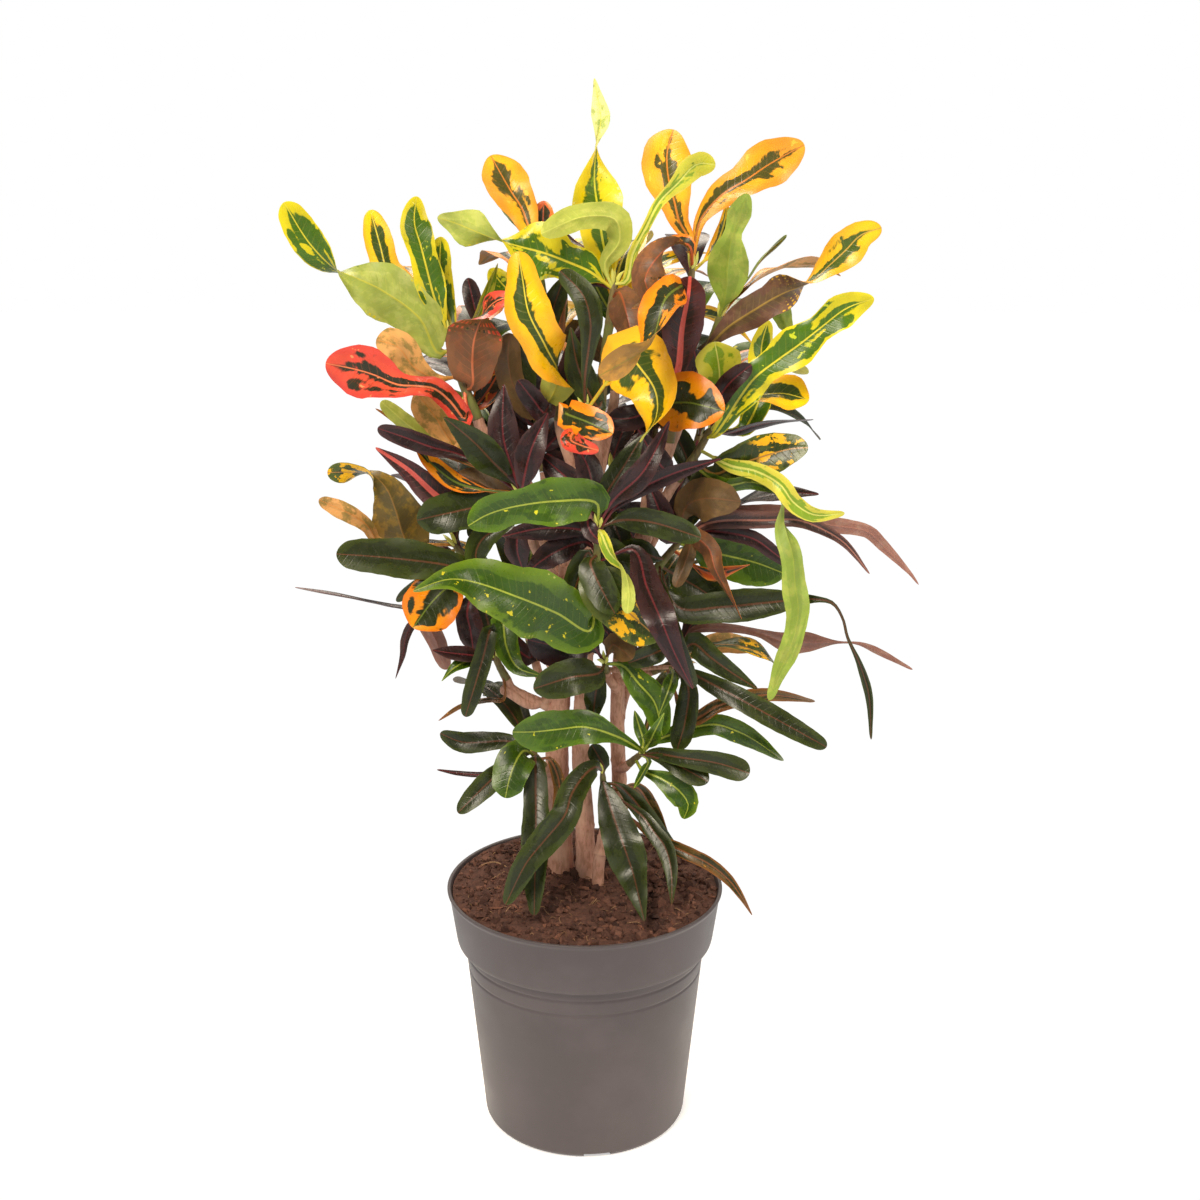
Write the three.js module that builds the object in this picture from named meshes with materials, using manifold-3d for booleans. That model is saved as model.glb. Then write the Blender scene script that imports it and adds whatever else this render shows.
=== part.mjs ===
import * as THREE from "three";
import { mergeVertices } from "three/addons/utils/BufferGeometryUtils.js";
import Module from "manifold-3d";

// A croton in its nursery pot, standing on z = 0 with the pot's axis on z, front towards -y. Millimetres.

const POT_FACETS = 26;
const RIM_HEIGHT = 189.5;
const RIM_RADIUS = 105;
const WALL = 1.8;
const FLOOR = 3;
const FOOT_RADIUS = 78.2;
const COLLAR_FOOT = 144.7;
const COLLAR_RADIUS = 98.4;
const NECK_RADIUS = 92;
const GROOVES = [126, 138];
const GROOVE_DEPTH = 0.8;
const SLOT_COUNT = 4;
const SLOT_WIDTH = 21;
const SLOT_BEARING = 0.125;
const SLOT_HEIGHT = 3.8;
const SOIL_EDGE = 186.4;
const SOIL_MOUND = 6;
const SOIL_SLOPE = 1.6;
const SEAT_GAP = 0.3;
const TRUNK_SIDES = 7;
const STEM_SIDES = 5;

// The blades are laid along lines of sight from an eye in front of the plant.
const EYE_DISTANCE = 1174;
const EYE_HEIGHT = 743;

const THICKNESS = 0.9;
const PETIOLE = 1.5;
const WIDENING = 1.07;
const RIPPLING = 1.5;
const SWAY = 24;
const SEGMENT_LENGTH = 38;
const MOST_SEGMENTS = 5;
const SHORT_PETIOLE = 14;
const QUICK_TURN = 62;
const SHORTEST_EDGE = 0.02;
const CLEARANCE = 3.3;
const STEM_CLEARANCE = 3.4;
const BENDS = [0, -8, 8, -16, 16, -26, 26, -38, 38, -52, 52, -68, 68, -86, 86];

// Half widths of a blade at even steps from where it opens to its tip, the widest being 1.
const FORMS = {
  strap: [0.15, 0.62, 0.86, 1, 0.97, 0.86, 0.55],
  spoon: [0.12, 0.26, 0.5, 0.8, 1, 0.97, 0.6],
  lance: [0.14, 0.56, 0.9, 1, 0.84, 0.52, 0.1],
  oval: [0.15, 0.66, 0.93, 1, 0.96, 0.82, 0.5],
  taper: [0.55, 0.95, 1, 0.9, 0.7, 0.42, 0.12],
  bottle: [0.3, 0.85, 1, 0.92, 0.5, 0.5, 0.36],
  paddle: [0.2, 0.45, 0.44, 0.38, 0.74, 1, 0.74],
  fan: [0.3, 0.5, 0.62, 0.76, 0.9, 1, 0.95],
  ribbon: [0.45, 0.75, 0.88, 1, 0.9, 0.72, 0.32],
  tailed: [0.6, 1, 0.95, 0.2, 0.1, 0.3, 0.1],
  lobed: [0.3, 0.42, 0.36, 1, 0.12, 0.3, 0.12],
  pinched: [0.25, 0.75, 1, 0.8, 0.22, 0.36, 0.06],
  racket: [0.42, 0.36, 0.34, 0.36, 0.5, 1, 0.9],
  double: [0.25, 0.8, 1, 0.88, 0.46, 0.66, 0.36],
  leafy: [0.25, 0.78, 1, 0.95, 0.76, 0.46, 0.12],
  sabre: [0.5, 0.95, 1, 0.9, 0.84, 0.76, 0.46],
};

const COLOURS = {
  yellow: "#c9b545",
  orange: "#d58a4e",
  red: "#c8503a",
  ember: "#8a4a35",
  green: "#4f7a22",
  dark: "#2c4425",
  lime: "#94b040",
  olive: "#7a6a34",
  maroon: "#4a2c33",
  rimmed: "#9a5c2c",
  blotched: "#6a8a2a",
  spotted: "#a8902a",
  mauve: "#7a5c5e",
  banded: "#5e3234",
  golden: "#d0c040",
  bronze: "#8a6a48",
  edged: "#8a9e2c",
};
const POT_COLOUR = "#6b6562";
const SOIL_COLOUR = "#4b3028";
const BARK_COLOUR = "#7d6151";

// Each trunk: name, axis points, radius at foot and top, then its branches: the shoot that sits on the
// branch and the branch's points up to that shoot's seat.
const TRUNKS = [
  ["trunk_left", [-16, 22, 140, -20, 20, 230, -21, 16, 300, -15, 12, 380, -12, 11, 440], 11, 6.6, [
    ["shoot_left_high", [-9, 11, 425, -14, 9, 455, -42, 5, 500]],
    ["shoot_left_mid", [-12, 12, 395, -22, 2, 428]],
    ["shoot_left_low", [-15, 14, 345, -36, 20, 375]],
    ["shoot_left_knob", [-16, 15, 320, -34, 10, 332]],
    ["shoot_low_left", [-18, 17, 262, -25, 9, 274]],
    ["shoot_back_left", [-11, 12, 405, -30, 42, 445]],
    ["shoot_back_low_left", [-17, 17, 305, -28, 36, 325]],
    ["shoot_inner_left", [-9, 11, 430, -20, 24, 470]],
  ]],
  ["trunk_middle", [2, 7, 140, 0, 8, 230, -3, 8, 300, 1, 9, 380, 4, 6, 480], 8, 5, [
    ["shoot_top", [4, 6, 468, 7, 4, 510]],
    ["shoot_top_left", [3, 7, 450, -6, 10, 500]],
    ["shoot_centre", [3, 7, 470, 3, -4, 500]],
    ["shoot_front_mid", [1, 9, 372, 3, -2, 392]],
    ["shoot_back_middle", [2, 8, 420, 4, 45, 470]],
    ["shoot_back_top", [4, 6, 474, 14, 20, 522]],
    ["shoot_back_low_middle", [-1, 9, 322, 0, 32, 342]],
    ["shoot_inner_middle", [2, 8, 425, 8, 22, 447]],
  ]],
  ["trunk_right", [30, 36, 140, 28, 30, 230, 25, 20, 300, 25, 15, 350, 32, 12, 410, 44, 8, 470], 6.4, 4.4, [
    ["shoot_top_right", [42, 9, 458, 52, 6, 495]],
    ["shoot_right_high", [43, 8, 462, 62, 14, 525]],
    ["shoot_right_mid", [38, 10, 440, 53, 0, 480]],
    ["shoot_right_low", [29, 13, 385, 37, 5, 412]],
    ["shoot_right_under", [25, 15, 348, 38, 9, 352]],
    ["shoot_stub_mid", [25, 16, 340, 19, 6, 350]],
    ["shoot_low_right", [26, 23, 275, 30, 14, 278]],
    ["shoot_back_right", [36, 11, 430, 62, 42, 472]],
    ["shoot_back_low_right", [25, 18, 318, 33, 40, 334]],
    ["shoot_inner_right", [41, 10, 452, 46, 22, 495]],
  ]],
  ["trunk_front", [12, -9, 150, 10, -9, 195, 14, -9, 235], 5.4, 4, [
    ["shoot_low_front", [12, -9, 218, 15, -7, 242]],
  ]],
];

// Each shoot: name, trunk, stem points, radius at foot and top, how many more blades it carries by rule,
// the bearing they spread round and how far to each side, in degrees, then the blades that the front shows.
// Each blade: name, form, width, wave, colour, roll along it in degrees (0 shows the upper face to the
// eye), depth behind the middle plane along it, and its midrib's points (x, z) seen on that plane.
const SHOOTS = [
  ["shoot_centre", "trunk_middle", [2, -12, 530, 1, -20, 545, 0, -27, 561], 3.4, 2.2, 1, 90, 80, [
    ["big_curl", "leafy", 40, 0.14, "yellow", [0, 8, 16, 50, 100], [-48, -74, -92],
      [30, 590, 41, 581, 50, 566, 50, 548, 39, 531]],
    ["dark_spoon", "spoon", 17, 0.06, "dark", [0, 0, 10], [-32, -42, -46],
      [0, 575, 3, 600, 4, 616, -1, 634, -17, 651]],
    ["small_disc", "oval", 22, 0.12, "rimmed", [0, 0], [-42, -60, -68],
      [-14, 552, 3, 545, 20, 537]],
    ["red_flap", "oval", 13, 0.08, "red", [0, 0], [-60, -70, -72],
      [-10, 534, -1, 528, 10, 525]],
  ]],
  ["shoot_top", "trunk_middle", [10, 2, 550, 15, 0, 598, 21, -2, 646], 4.4, 2.4, 4, 75, 110, [
    ["tall", "pinched", 32, 0.14, "golden", [15, 0, 0, 50, 170, 180], [0, -6, 6],
      [17, 654, 13, 668, 9, 693, 7, 708, 7, 721, 8, 735, 11, 750, 9, 764, 6.5, 778]],
    ["ribbon", "strap", 18, 0.1, "lime", [180, 186, 175], [-6, -22, -34],
      [14, 655, 24, 671, 20, 686, -3, 687, -30, 676]],
    ["reach", "racket", 17, 0.06, "lime", [0, 5, 10], [-8, -22, -30],
      [29, 644, 33, 662, 42, 680, 51, 697, 64, 710, 76, 722, 89, 722]],
    ["wavy", "double", 32, 0.34, "edged", [0, 0, 0, 10, 120, 180, 180], [-6, -20, -24],
      [4, 650, -12, 657, -28, 663, -43, 667, -62, 673, -78, 679, -88, 683, -101, 687]],
    ["plum", "lance", 15, 0.08, "maroon", [0, 10], [5, 12, 18],
      [6, 644, 0, 652, -8, 664, -14, 678]],
    ["bent", "oval", 24, 0.1, "ember", [180, 200], [-12, -26, -34],
      [24, 636, 30, 620, 35, 598]],
    ["top_low", "lance", 19, 0.08, "dark", [0, 0], [-6, -4, -2], [10, 556, -4, 582, -10, 612]],
    ["top_side", "lance", 20, 0.08, "maroon", [0, 0], [0, 4, 8], [18, 586, 36, 604, 56, 632]],
  ]],
  ["shoot_top_right", "trunk_right", [60, 5, 530, 70, 6, 595, 75, 6, 656], 4.0, 2.2, 3, 70, 100, [
    ["yellow_spoon", "spoon", 32, 0.1, "orange", [0, 0, 12], [6, 8, 16],
      [72, 672, 65, 684, 61, 699, 57, 714, 56, 730, 60, 745]],
    ["orange_strap", "spoon", 28, 0.12, "orange", [0, -8, 18], [8, 12, 22],
      [77, 677, 81, 688, 95, 703, 110, 712, 125, 722, 149, 735]],
    ["corkscrew", "strap", 21, 0.12, "ember", [0, 70, 150, 200, 250], [-8, -34, -48],
      [72, 668, 60, 669, 49, 659, 42, 645, 46, 632, 33, 625]],
    ["red_rib", "spoon", 27, 0.08, "banded", [0, 0, 5], [-14, -26, -32],
      [62, 570, 66, 585, 68, 612, 72, 635, 73, 647]],
    ["rimmed_bent", "strap", 26, 0.1, "rimmed", [0, 10, 70, 150], [-26, -72, -80],
      [66, 640, 55, 630, 45, 600, 30, 590, 10, 578]],
    ["back_tip", "lance", 9, 0.05, "yellow", [0, 0], [24, 28, 30],
      [88, 664, 95, 680, 98, 699]],
    ["disc", "oval", 37, 0.1, "rimmed", [0, 0, 5], [-28, -54, -62],
      [60, 560, 76, 559, 99, 553]],
  ]],
  ["shoot_right_high", "trunk_right", [85, 18, 585, 91, 19, 603, 97, 19, 622], 3.3, 2.2, 2, 70, 80, [
    ["two_lobes", "double", 26, 0.08, "green", [180, 180, 195], [12, 4, 0],
      [98, 636, 99, 655, 101, 672, 106, 688, 111, 703]],
    ["edge_on", "ribbon", 13, 0.06, "green", [78, 84], [20, 22, 24],
      [104, 634, 113, 645, 122, 659, 139, 675]],
    ["big_twist", "strap", 25, 0.14, "bronze", [180, 180, 185, 290, 350, 360], [10, -16, -26],
      [88, 600, 100, 612, 120, 625, 140, 637, 158, 645, 167, 653, 180, 665, 190, 675, 204, 680]],
  ]],
  ["shoot_left_high", "trunk_left", [-76, 0, 548, -88, -2, 580, -97, -4, 611], 4.0, 2.2, 3, 100, 90, [
    ["far_twist", "double", 35, 0.14, "edged", [180, 180, 190, 330, 360], [-8, -16, -24],
      [-103, 594, -115, 618, -140, 637, -160, 646, -172, 651, -190, 670, -206, 697]],
    ["behind_twist", "strap", 20, 0.1, "yellow", [0, 0, 20], [8, 14, 20],
      [-105, 606, -128, 640, -137, 652, -141, 668, -147, 692]],
    ["green_strap", "strap", 20, 0.22, "edged", [0, 10, -5], [-6, -8, -4],
      [-97, 612, -101, 622, -105, 634, -109, 651, -113, 668, -117, 684, -115, 701]],
    ["olive_back", "strap", 15, 0.14, "edged", [0, 5, -5], [2, 10, 14],
      [-93, 612, -96, 624, -98, 640, -100, 655, -99, 674]],
    ["amber", "strap", 15, 0.08, "orange", [0, 10], [10, 22, 28],
      [-104, 596, -115, 607, -127, 621]],
    ["pale_spoon", "spoon", 25, 0.08, "orange", [180, 185], [-10, -22, -32],
      [-101, 576, -110, 578, -121, 585, -131, 598, -146, 603]],
    ["red_paddle", "paddle", 33, 0.12, "red", [0, 5, 0], [-10, -26, -36],
      [-85, 548, -95, 560, -106, 569, -118, 571, -132, 572, -149, 579, -163, 583, -182, 587]],
    ["lime_edge", "strap", 13, 0.08, "lime", [180, 170], [10, 14, 14],
      [-104, 530, -122, 541, -144, 560]],
    ["amber_back", "spoon", 22, 0.1, "orange", [180, 190], [0, 2, -4],
      [-90, 525, -98, 535, -105, 547, -119, 567]],
    ["brown_fold", "leafy", 36, 0.1, "red", [180, 180, 190, 320, 360], [-10, -20, -26],
      [-79, 572, -79, 588, -77, 605, -72, 620, -62, 630, -49, 634]],
    ["under_brown", "lance", 18, 0.06, "ember", [0, 0], [8, 14, 18], [-78, 556, -62, 578, -52, 604]],
    ["violet_spoon", "spoon", 12, 0.05, "maroon", [0, 0], [6, 10, 14],
      [-82, 600, -74, 612, -77, 627, -81, 646]],
    ["edge_lime", "ribbon", 12, 0.06, "lime", [62, 70], [0, 6, 8],
      [-78, 615, -70, 630, -60, 656]],
  ]],
  ["shoot_top_left", "trunk_middle", [-18, 12, 545, -25, 15, 600, -32, 16, 655], 4.0, 2.2, 3, 95, 100, [
    ["orange_spoon", "spoon", 29, 0.1, "orange", [0, 0, 14], [15, 20, 28],
      [-32, 664, -39, 682, -43, 693, -50, 704, -57, 716, -64, 728]],
    ["small_dark", "oval", 17, 0.06, "ember", [0, 10], [22, 30, 34],
      [-30, 664, -29, 680, -28, 698]],
    ["yellow_twist", "strap", 29, 0.14, "yellow", [180, 180, 70, 10, 0, 0], [8, -50, -44],
      [-26, 560, -18, 578, -28, 600, -39, 622, -43, 645, -46, 664]],
    ["brown_back", "strap", 19, 0.08, "olive", [180, 185], [12, 10, 6],
      [-36, 554, -50, 570, -54, 590, -52, 608]],
    ["plum_low", "oval", 15, 0.06, "maroon", [0, 5], [-4, -8, -10],
      [-28, 552, -37, 562, -47, 575]],
    ["pink_fold", "lance", 17, 0.1, "ember", [150, 60], [9, 6, 0],
      [-20, 603, -17, 614, -12, 632]],
    ["left_plum", "lance", 20, 0.08, "maroon", [0, 0], [16, 18, 20], [-19, 566, -6, 590, 4, 622]],
    ["left_green", "strap", 17, 0.1, "edged", [0, 0], [22, 22, 22], [-32, 616, -50, 634, -66, 652]],
    ["shaded_rise", "lance", 20, 0.08, "dark", [0, 0], [24, 26, 28], [-26, 602, -22, 624, -14, 648]],
  ]],
  ["shoot_right_mid", "trunk_right", [66, -6, 505, 79, -11, 525, 90, -14, 546], 3.6, 2.2, 1, 60, 60, [
    ["long_green", "strap", 23, 0.28, "edged", [0, 0, 0, 12, 45], [-20, -36, -44],
      [92, 536, 100, 547, 109, 562, 120, 577, 135, 589, 150, 600, 165, 612, 182, 625, 201, 632]],
    ["green_behind", "strap", 18, 0.14, "edged", [0, 5], [6, 18, 24],
      [112, 540, 121, 555, 125, 570, 124, 585, 124, 600, 128, 617]],
    ["pale_end", "spoon", 29, 0.08, "lime", [0, 5], [2, -10, -16],
      [92, 560, 95, 578, 91, 602]],
    ["near_black", "oval", 14, 0.05, "maroon", [0, 0], [-26, -36, -40],
      [94, 560, 102, 573, 117, 586]],
    ["thin_purple", "ribbon", 11, 0.05, "maroon", [58, 64], [-6, 0, 6],
      [105, 538, 122, 543, 140, 546, 162, 547]],
    ["yellow_patch", "oval", 27, 0.1, "spotted", [0, 0, 10], [-20, -32, -38],
      [92, 508, 106, 513, 125, 520, 146, 526, 159, 527]],
    ["striped", "ribbon", 13, 0.06, "lime", [0, 20, 10], [-26, -46, -54],
      [104, 514, 122, 510, 140, 500, 150, 487, 165, 478, 187, 479]],
    ["dark_side", "lance", 17, 0.06, "maroon", [0, 0], [-16, -20, -22], [62, 508, 50, 520, 38, 540]],
    ["hanging", "ribbon", 18, 0.1, "green", [20, 70, 150, 180, 180], [-28, -62, -76],
      [100, 500, 120, 502, 140, 492, 143, 470, 150, 448, 153, 425, 156, 405, 152, 380, 144, 360, 137, 337]],
  ]],
  ["shoot_left_mid", "trunk_left", [-38, -12, 466, -42, -15, 484, -47, -17, 502], 3.6, 2.2, 2, 110, 70, [
    ["olive_tip", "lance", 11, 0.05, "olive", [0, 10], [4, 10, 14],
      [-96, 524, -125, 541, -148, 555]],
    ["violet_round", "spoon", 13, 0.05, "maroon", [0, 5], [-20, -32, -38],
      [-75, 515, -92, 523, -108, 527, -127, 534, -147, 541]],
    ["dark_lance", "lance", 21, 0.08, "dark", [0, 0], [-24, -38, -46],
      [-54, 505, -66, 517, -80, 532, -100, 549]],
    ["orange_edge", "lance", 13, 0.06, "rimmed", [0, 15], [-14, -20, -26],
      [-88, 500, -109, 515, -117, 526, -125, 540]],
    ["pink_rib", "lance", 18, 0.06, "banded", [0, 0], [-6, 0, 4],
      [-88, 482, -105, 491, -126, 511, -149, 527]],
    ["olive_under", "oval", 19, 0.08, "olive", [180, 180], [2, 8, 12],
      [-58, 492, -72, 500, -90, 509]],
    ["green_round", "oval", 28, 0.06, "dark", [0, -5], [-10, -16, -20],
      [-74, 484, -95, 480, -121, 474]],
    ["grey_hanging", "lance", 17, 0.06, "dark", [0, 10], [-4, -8, -10],
      [-58, 470, -74, 460, -79, 446, -69, 428]],
    ["plum_drop", "lance", 17, 0.06, "maroon", [0, 0], [-6, -2, 2], [-47, 468, -49, 452, -44, 434]],
    ["plum_rise", "lance", 21, 0.06, "maroon", [0, 0], [-24, -20, -12], [-50, 506, -58, 536, -57, 572]],
    ["plum_lean", "lance", 19, 0.06, "maroon", [0, 0], [-24, -22, -16], [-44, 502, -38, 526, -26, 552]],
  ]],
  ["shoot_left_low", "trunk_left", [-74, 22, 416, -86, 22, 436, -98, 20, 454], 3.8, 2.2, 3, 120, 70, [
    ["long_dark", "strap", 27, 0.06, "dark", [0, 0, 5], [-8, -28, -40],
      [-86, 437, -102, 441, -122, 444, -150, 447, -180, 449]],
    ["folded_tip", "double", 37, 0.08, "spotted", [180, 180, 180, 185, 300, 350], [24, 4, -12],
      [-122, 445, -131, 463, -136, 482, -142, 497, -153, 507, -168, 509, -184, 509]],
    ["pink_curl", "spoon", 12, 0.08, "orange", [180, 195, 165], [10, 0, -8],
      [-148, 458, -157, 470, -168, 478, -180, 484, -191, 489]],
    ["thin_far", "lance", 11, 0.05, "maroon", [66, 74], [22, 17, 10],
      [-120, 409, -138, 409, -152, 412, -180, 418, -211, 424]],
    ["round_rim", "oval", 38, 0.08, "rimmed", [0, 0], [-2, -20, -30],
      [-100, 424, -112, 412, -126, 393]],
    ["hanging_plum", "strap", 14, 0.04, "mauve", [180, 180], [15, 16, 16],
      [-114, 402, -108, 380, -102, 361]],
    ["small_hang", "lance", 7, 0.03, "maroon", [150, 160], [26, 26, 26],
      [-126, 396, -132, 384, -134, 372, -140, 354]],
    ["red_vein", "oval", 18, 0.05, "maroon", [0, 0], [4, 6, 6],
      [-86, 406, -84, 392, -82, 376]],
  ]],
  ["shoot_right_low", "trunk_right", [48, 0, 432, 59, -4, 448, 71, -8, 464], 3.6, 2.2, 1, 40, 60, [
    ["far_pink", "lance", 12, 0.06, "mauve", [180, 190, 170], [-6, 4, 12],
      [95, 480, 120, 481, 150, 478, 175, 471, 203, 466, 215, 456, 236, 435, 243, 426]],
    ["long_thin", "taper", 11, 0.04, "mauve", [0, 20], [-20, -30, -32],
      [90, 472, 132, 474, 154, 474, 176, 465, 190, 455, 207, 434]],
    ["purple_bend", "strap", 11, 0.05, "maroon", [0, 0], [-14, -20, -22],
      [84, 466, 120, 461, 138, 449, 149, 440]],
    ["bright_broad", "oval", 33, 0.08, "green", [0, 10, 20], [-6, 0, 6],
      [84, 452, 105, 447, 125, 442, 146, 434]],
    ["olive_wide", "oval", 28, 0.08, "olive", [180, 180, 195], [-12, -40, -50],
      [72, 482, 88, 490, 112, 488]],
    ["hinged", "tailed", 21, 0.04, "dark", [0, 0, 0, 30], [-20, -44, -44],
      [68, 409, 100, 409, 130, 412, 150, 414, 168, 415, 181, 412, 189, 400, 193, 386, 203, 365, 211, 340,
        214, 306]],
    ["brown_arch", "taper", 14, 0.08, "ember", [180, 200, 250, 290], [-30, -50, -60],
      [80, 461, 90, 453, 95, 438, 103, 423, 115, 400]],
    ["small_ear", "lance", 10, 0.04, "ember", [30, 40], [-16, -26, -30],
      [90, 434, 104, 437, 120, 441]],
    ["olive_short", "strap", 11, 0.06, "olive", [180, 190], [-24, -32, -36],
      [76, 456, 72, 440, 66, 424]],
    ["grey_wide", "oval", 26, 0.05, "dark", [0, 10], [4, 6, 8],
      [68, 432, 82, 424, 101, 411]],
    ["over_stem", "lance", 17, 0.05, "maroon", [0, 0], [-18, -18, -16], [60, 460, 54, 480, 44, 504]],
    ["behind_olive", "strap", 17, 0.05, "dark", [0, 0], [-2, 2, 6], [70, 468, 80, 488, 84, 512]],
    ["dark_across", "lance", 17, 0.05, "dark", [0, 0], [-12, -12, -10], [52, 446, 36, 452, 18, 446]],
    ["silvery", "strap", 15, 0.05, "dark", [20, 30], [-30, -62, -68],
      [56, 420, 63, 396, 72, 371, 81, 347]],
  ]],
  ["shoot_front_mid", "trunk_middle", [5, -12, 410, 8, -34, 440, 9, -42, 482], 3.8, 2.0, 0, 90, 40, [
    ["glossy", "sabre", 30, 0.14, "green", [0, -8, 0], [-50, -72, -86],
      [8, 487, -20, 488, -50, 484, -70, 478, -84, 470]],
    ["largest", "leafy", 44, 0.1, "blotched", [0, 0, 5, 30], [-44, -80, -96],
      [4, 391, -20, 404, -50, 417, -80, 428, -100, 430, -125, 421]],
    ["dark_small", "oval", 21, 0.05, "dark", [0, 5], [-54, -64, -70],
      [4, 442, 11, 425, 22, 404]],
    ["pale_hook", "strap", 12, 0.06, "lime", [0, 50, 130, 180], [-58, -76, -80],
      [12, 464, 18, 450, 28, 437, 32, 420, 31, 404]],
    ["blotch", "oval", 34, 0.08, "spotted", [0, 0], [-50, -68, -76],
      [3, 434, 20, 416, 36, 401, 55, 384]],
    ["red_short", "lance", 11, 0.04, "maroon", [0, 0], [-46, -50, -52],
      [2, 474, 4, 466, 14, 455]],
    ["steep_dark", "lance", 21, 0.05, "maroon", [0, 0, 10], [-24, -50, -56],
      [35, 452, 45, 425, 56, 399, 66, 374, 80, 346]],
    ["right_oval", "oval", 18, 0.05, "dark", [0, -5], [-34, -30, -28],
      [26, 474, 50, 472, 84, 461]],
    ["left_under", "lance", 16, 0.06, "maroon", [0, 10], [-26, -20, -16], [0, 466, -30, 468, -60, 462]],
    ["dark_under", "lance", 19, 0.06, "dark", [0, 0], [-24, -18, -14], [2, 468, -14, 458, -24, 438]],
    ["rise_green", "lance", 17, 0.06, "dark", [0, 0], [-44, -38, -34], [14, 490, 27, 512, 42, 537]],
    ["rise_black", "lance", 16, 0.06, "maroon", [0, 0], [-36, -26, -18], [20, 488, 42, 510, 60, 546]],
    ["side_plum", "lance", 12, 0.06, "maroon", [0, 0], [-38, -30, -22], [26, 488, 58, 506, 97, 519]],
    ["rise_left", "lance", 17, 0.06, "maroon", [0, 0], [-41, -34, -26], [1, 492, -14, 506, -34, 524]],
    ["rise_middle", "lance", 17, 0.06, "maroon", [0, 0], [-40, -34, -28], [6, 494, 2, 514, -10, 534]],
    ["fall_left", "lance", 19, 0.05, "maroon", [0, 0], [-20, -14, -10], [0, 458, -22, 450, -44, 434]],
    ["fall_middle", "lance", 20, 0.05, "dark", [0, 0], [-34, -30, -28], [2, 450, -4, 432, -12, 408]],
    ["fall_right", "oval", 20, 0.05, "dark", [0, 0], [-26, -18, -12], [16, 456, 26, 440, 36, 420]],
  ]],
  ["shoot_stub_mid", "trunk_right", [16, 0, 360, 15, -7, 366, 14, -14, 373], 2.8, 2.0, 0, 90, 40, [
    ["red_line", "oval", 25, 0.06, "dark", [0, 0, 8], [-28, -48, -58],
      [10, 358, -10, 355, -38, 346]],
    ["green_yellow", "strap", 20, 0.08, "green", [0, 10], [-14, -20, -22],
      [28, 364, 40, 350, 52, 335, 58, 309]],
    ["olive_bract", "oval", 17, 0.04, "olive", [180, 180], [-16, -28, -38],
      [20, 380, 27, 377, 35, 369]],
    ["maroon_wide", "oval", 28, 0.06, "maroon", [0, 0], [-20, -34, -40],
      [4, 380, -15, 378, -42, 384]],
    ["stub_drop", "lance", 15, 0.05, "dark", [0, 0], [-12, -16, -18], [12, 358, 8, 342, 6, 318]],
  ]],
  ["shoot_right_under", "trunk_right", [50, 5, 358, 61, 3, 363, 71, 0, 373], 3.2, 2.0, 2, 30, 60, [
    ["orange_line", "taper", 17, 0.06, "dark", [0, 10], [-14, -26, -30],
      [80, 381, 92, 371, 108, 359, 128, 346]],
    ["long_lance", "strap", 16, 0.05, "dark", [0, 0], [-18, -40, -50],
      [80, 358, 110, 341, 150, 318, 181, 300]],
    ["waisted", "lobed", 16, 0.05, "mauve", [180, 180, 180, 170], [-4, 2, 8],
      [80, 391, 104, 393, 128, 389, 148, 382, 160, 382, 174, 382, 187, 382, 202, 381, 218, 374, 242, 361]],
    ["brown_short", "oval", 15, 0.05, "orange", [180, 180], [13, 20, 22],
      [79, 374, 100, 382, 126, 378]],
    ["olive_low", "ribbon", 11, 0.05, "olive", [0, 0, 30], [2, 8, 12],
      [78, 322, 100, 333, 130, 341, 150, 340, 171, 336]],
    ["hanging_dark", "strap", 17, 0.04, "dark", [10, 0], [-10, -20, -24],
      [76, 350, 75, 322, 69, 297]],
    ["inner_dark", "oval", 15, 0.04, "dark", [0, 0], [-10, -18, -20],
      [58, 376, 48, 372, 32, 366]],
    ["small_green", "lance", 10, 0.04, "green", [0, 0], [-8, -14, -16],
      [65, 358, 62, 345, 55, 325]],
  ]],
  ["shoot_low_right", "trunk_right", [34, 8, 284, 39, 2, 291, 44, -4, 298], 3.0, 2.0, 1, 70, 60, [
    ["bright_left", "spoon", 27, 0.12, "green", [0, 0, -6], [-10, -34, -46],
      [40, 299, 25, 308, 0, 316, -20, 314, -38, 312, -54, 312]],
    ["bright_right", "strap", 16, 0.08, "green", [0, 0, 20, 50], [-8, -20, -26],
      [50, 303, 65, 310, 95, 318, 115, 312, 129, 304, 149, 289]],
    ["blunt_end", "fan", 17, 0.04, "dark", [0, 0], [-10, -28, -38],
      [52, 295, 70, 292, 100, 287, 124, 279]],
    ["dark_round", "spoon", 17, 0.04, "dark", [0, 0], [-18, -34, -42],
      [52, 292, 65, 288, 80, 280, 93, 272]],
    ["curled_spoon", "spoon", 20, 0.08, "blotched", [0, 0, 8, 25], [-10, -26, -36],
      [44, 281, 57, 275, 70, 266, 78, 254, 75, 242]],
    ["edge_small", "lance", 10, 0.04, "green", [48, 52], [-14, -20, -22],
      [48, 289, 44, 280, 37, 267]],
    ["upright", "lance", 9, 0.04, "green", [0, 0], [-4, 0, 2],
      [44, 304, 41, 315, 37, 329]],
    ["upright_green", "lance", 12, 0.05, "green", [0, 5], [-10, -14, -18],
      [48, 303, 52, 312, 59, 327]],
  ]],
  ["shoot_low_left", "trunk_left", [-31, 3, 284, -36, -1, 292, -42, -5, 300], 3.0, 2.0, 2, 120, 60, [
    ["grey_strap", "strap", 15, 0.08, "dark", [0, 15, 0], [-4, 4, 10],
      [-50, 302, -60, 305, -76, 304, -92, 304, -108, 311]],
    ["shiny_oval", "strap", 16, 0.05, "dark", [0, 10], [-10, -20, -26],
      [-52, 290, -68, 276, -82, 262, -96, 247]],
    ["bright_oval", "oval", 27, 0.05, "green", [0, 10], [-14, -30, -36],
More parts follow.
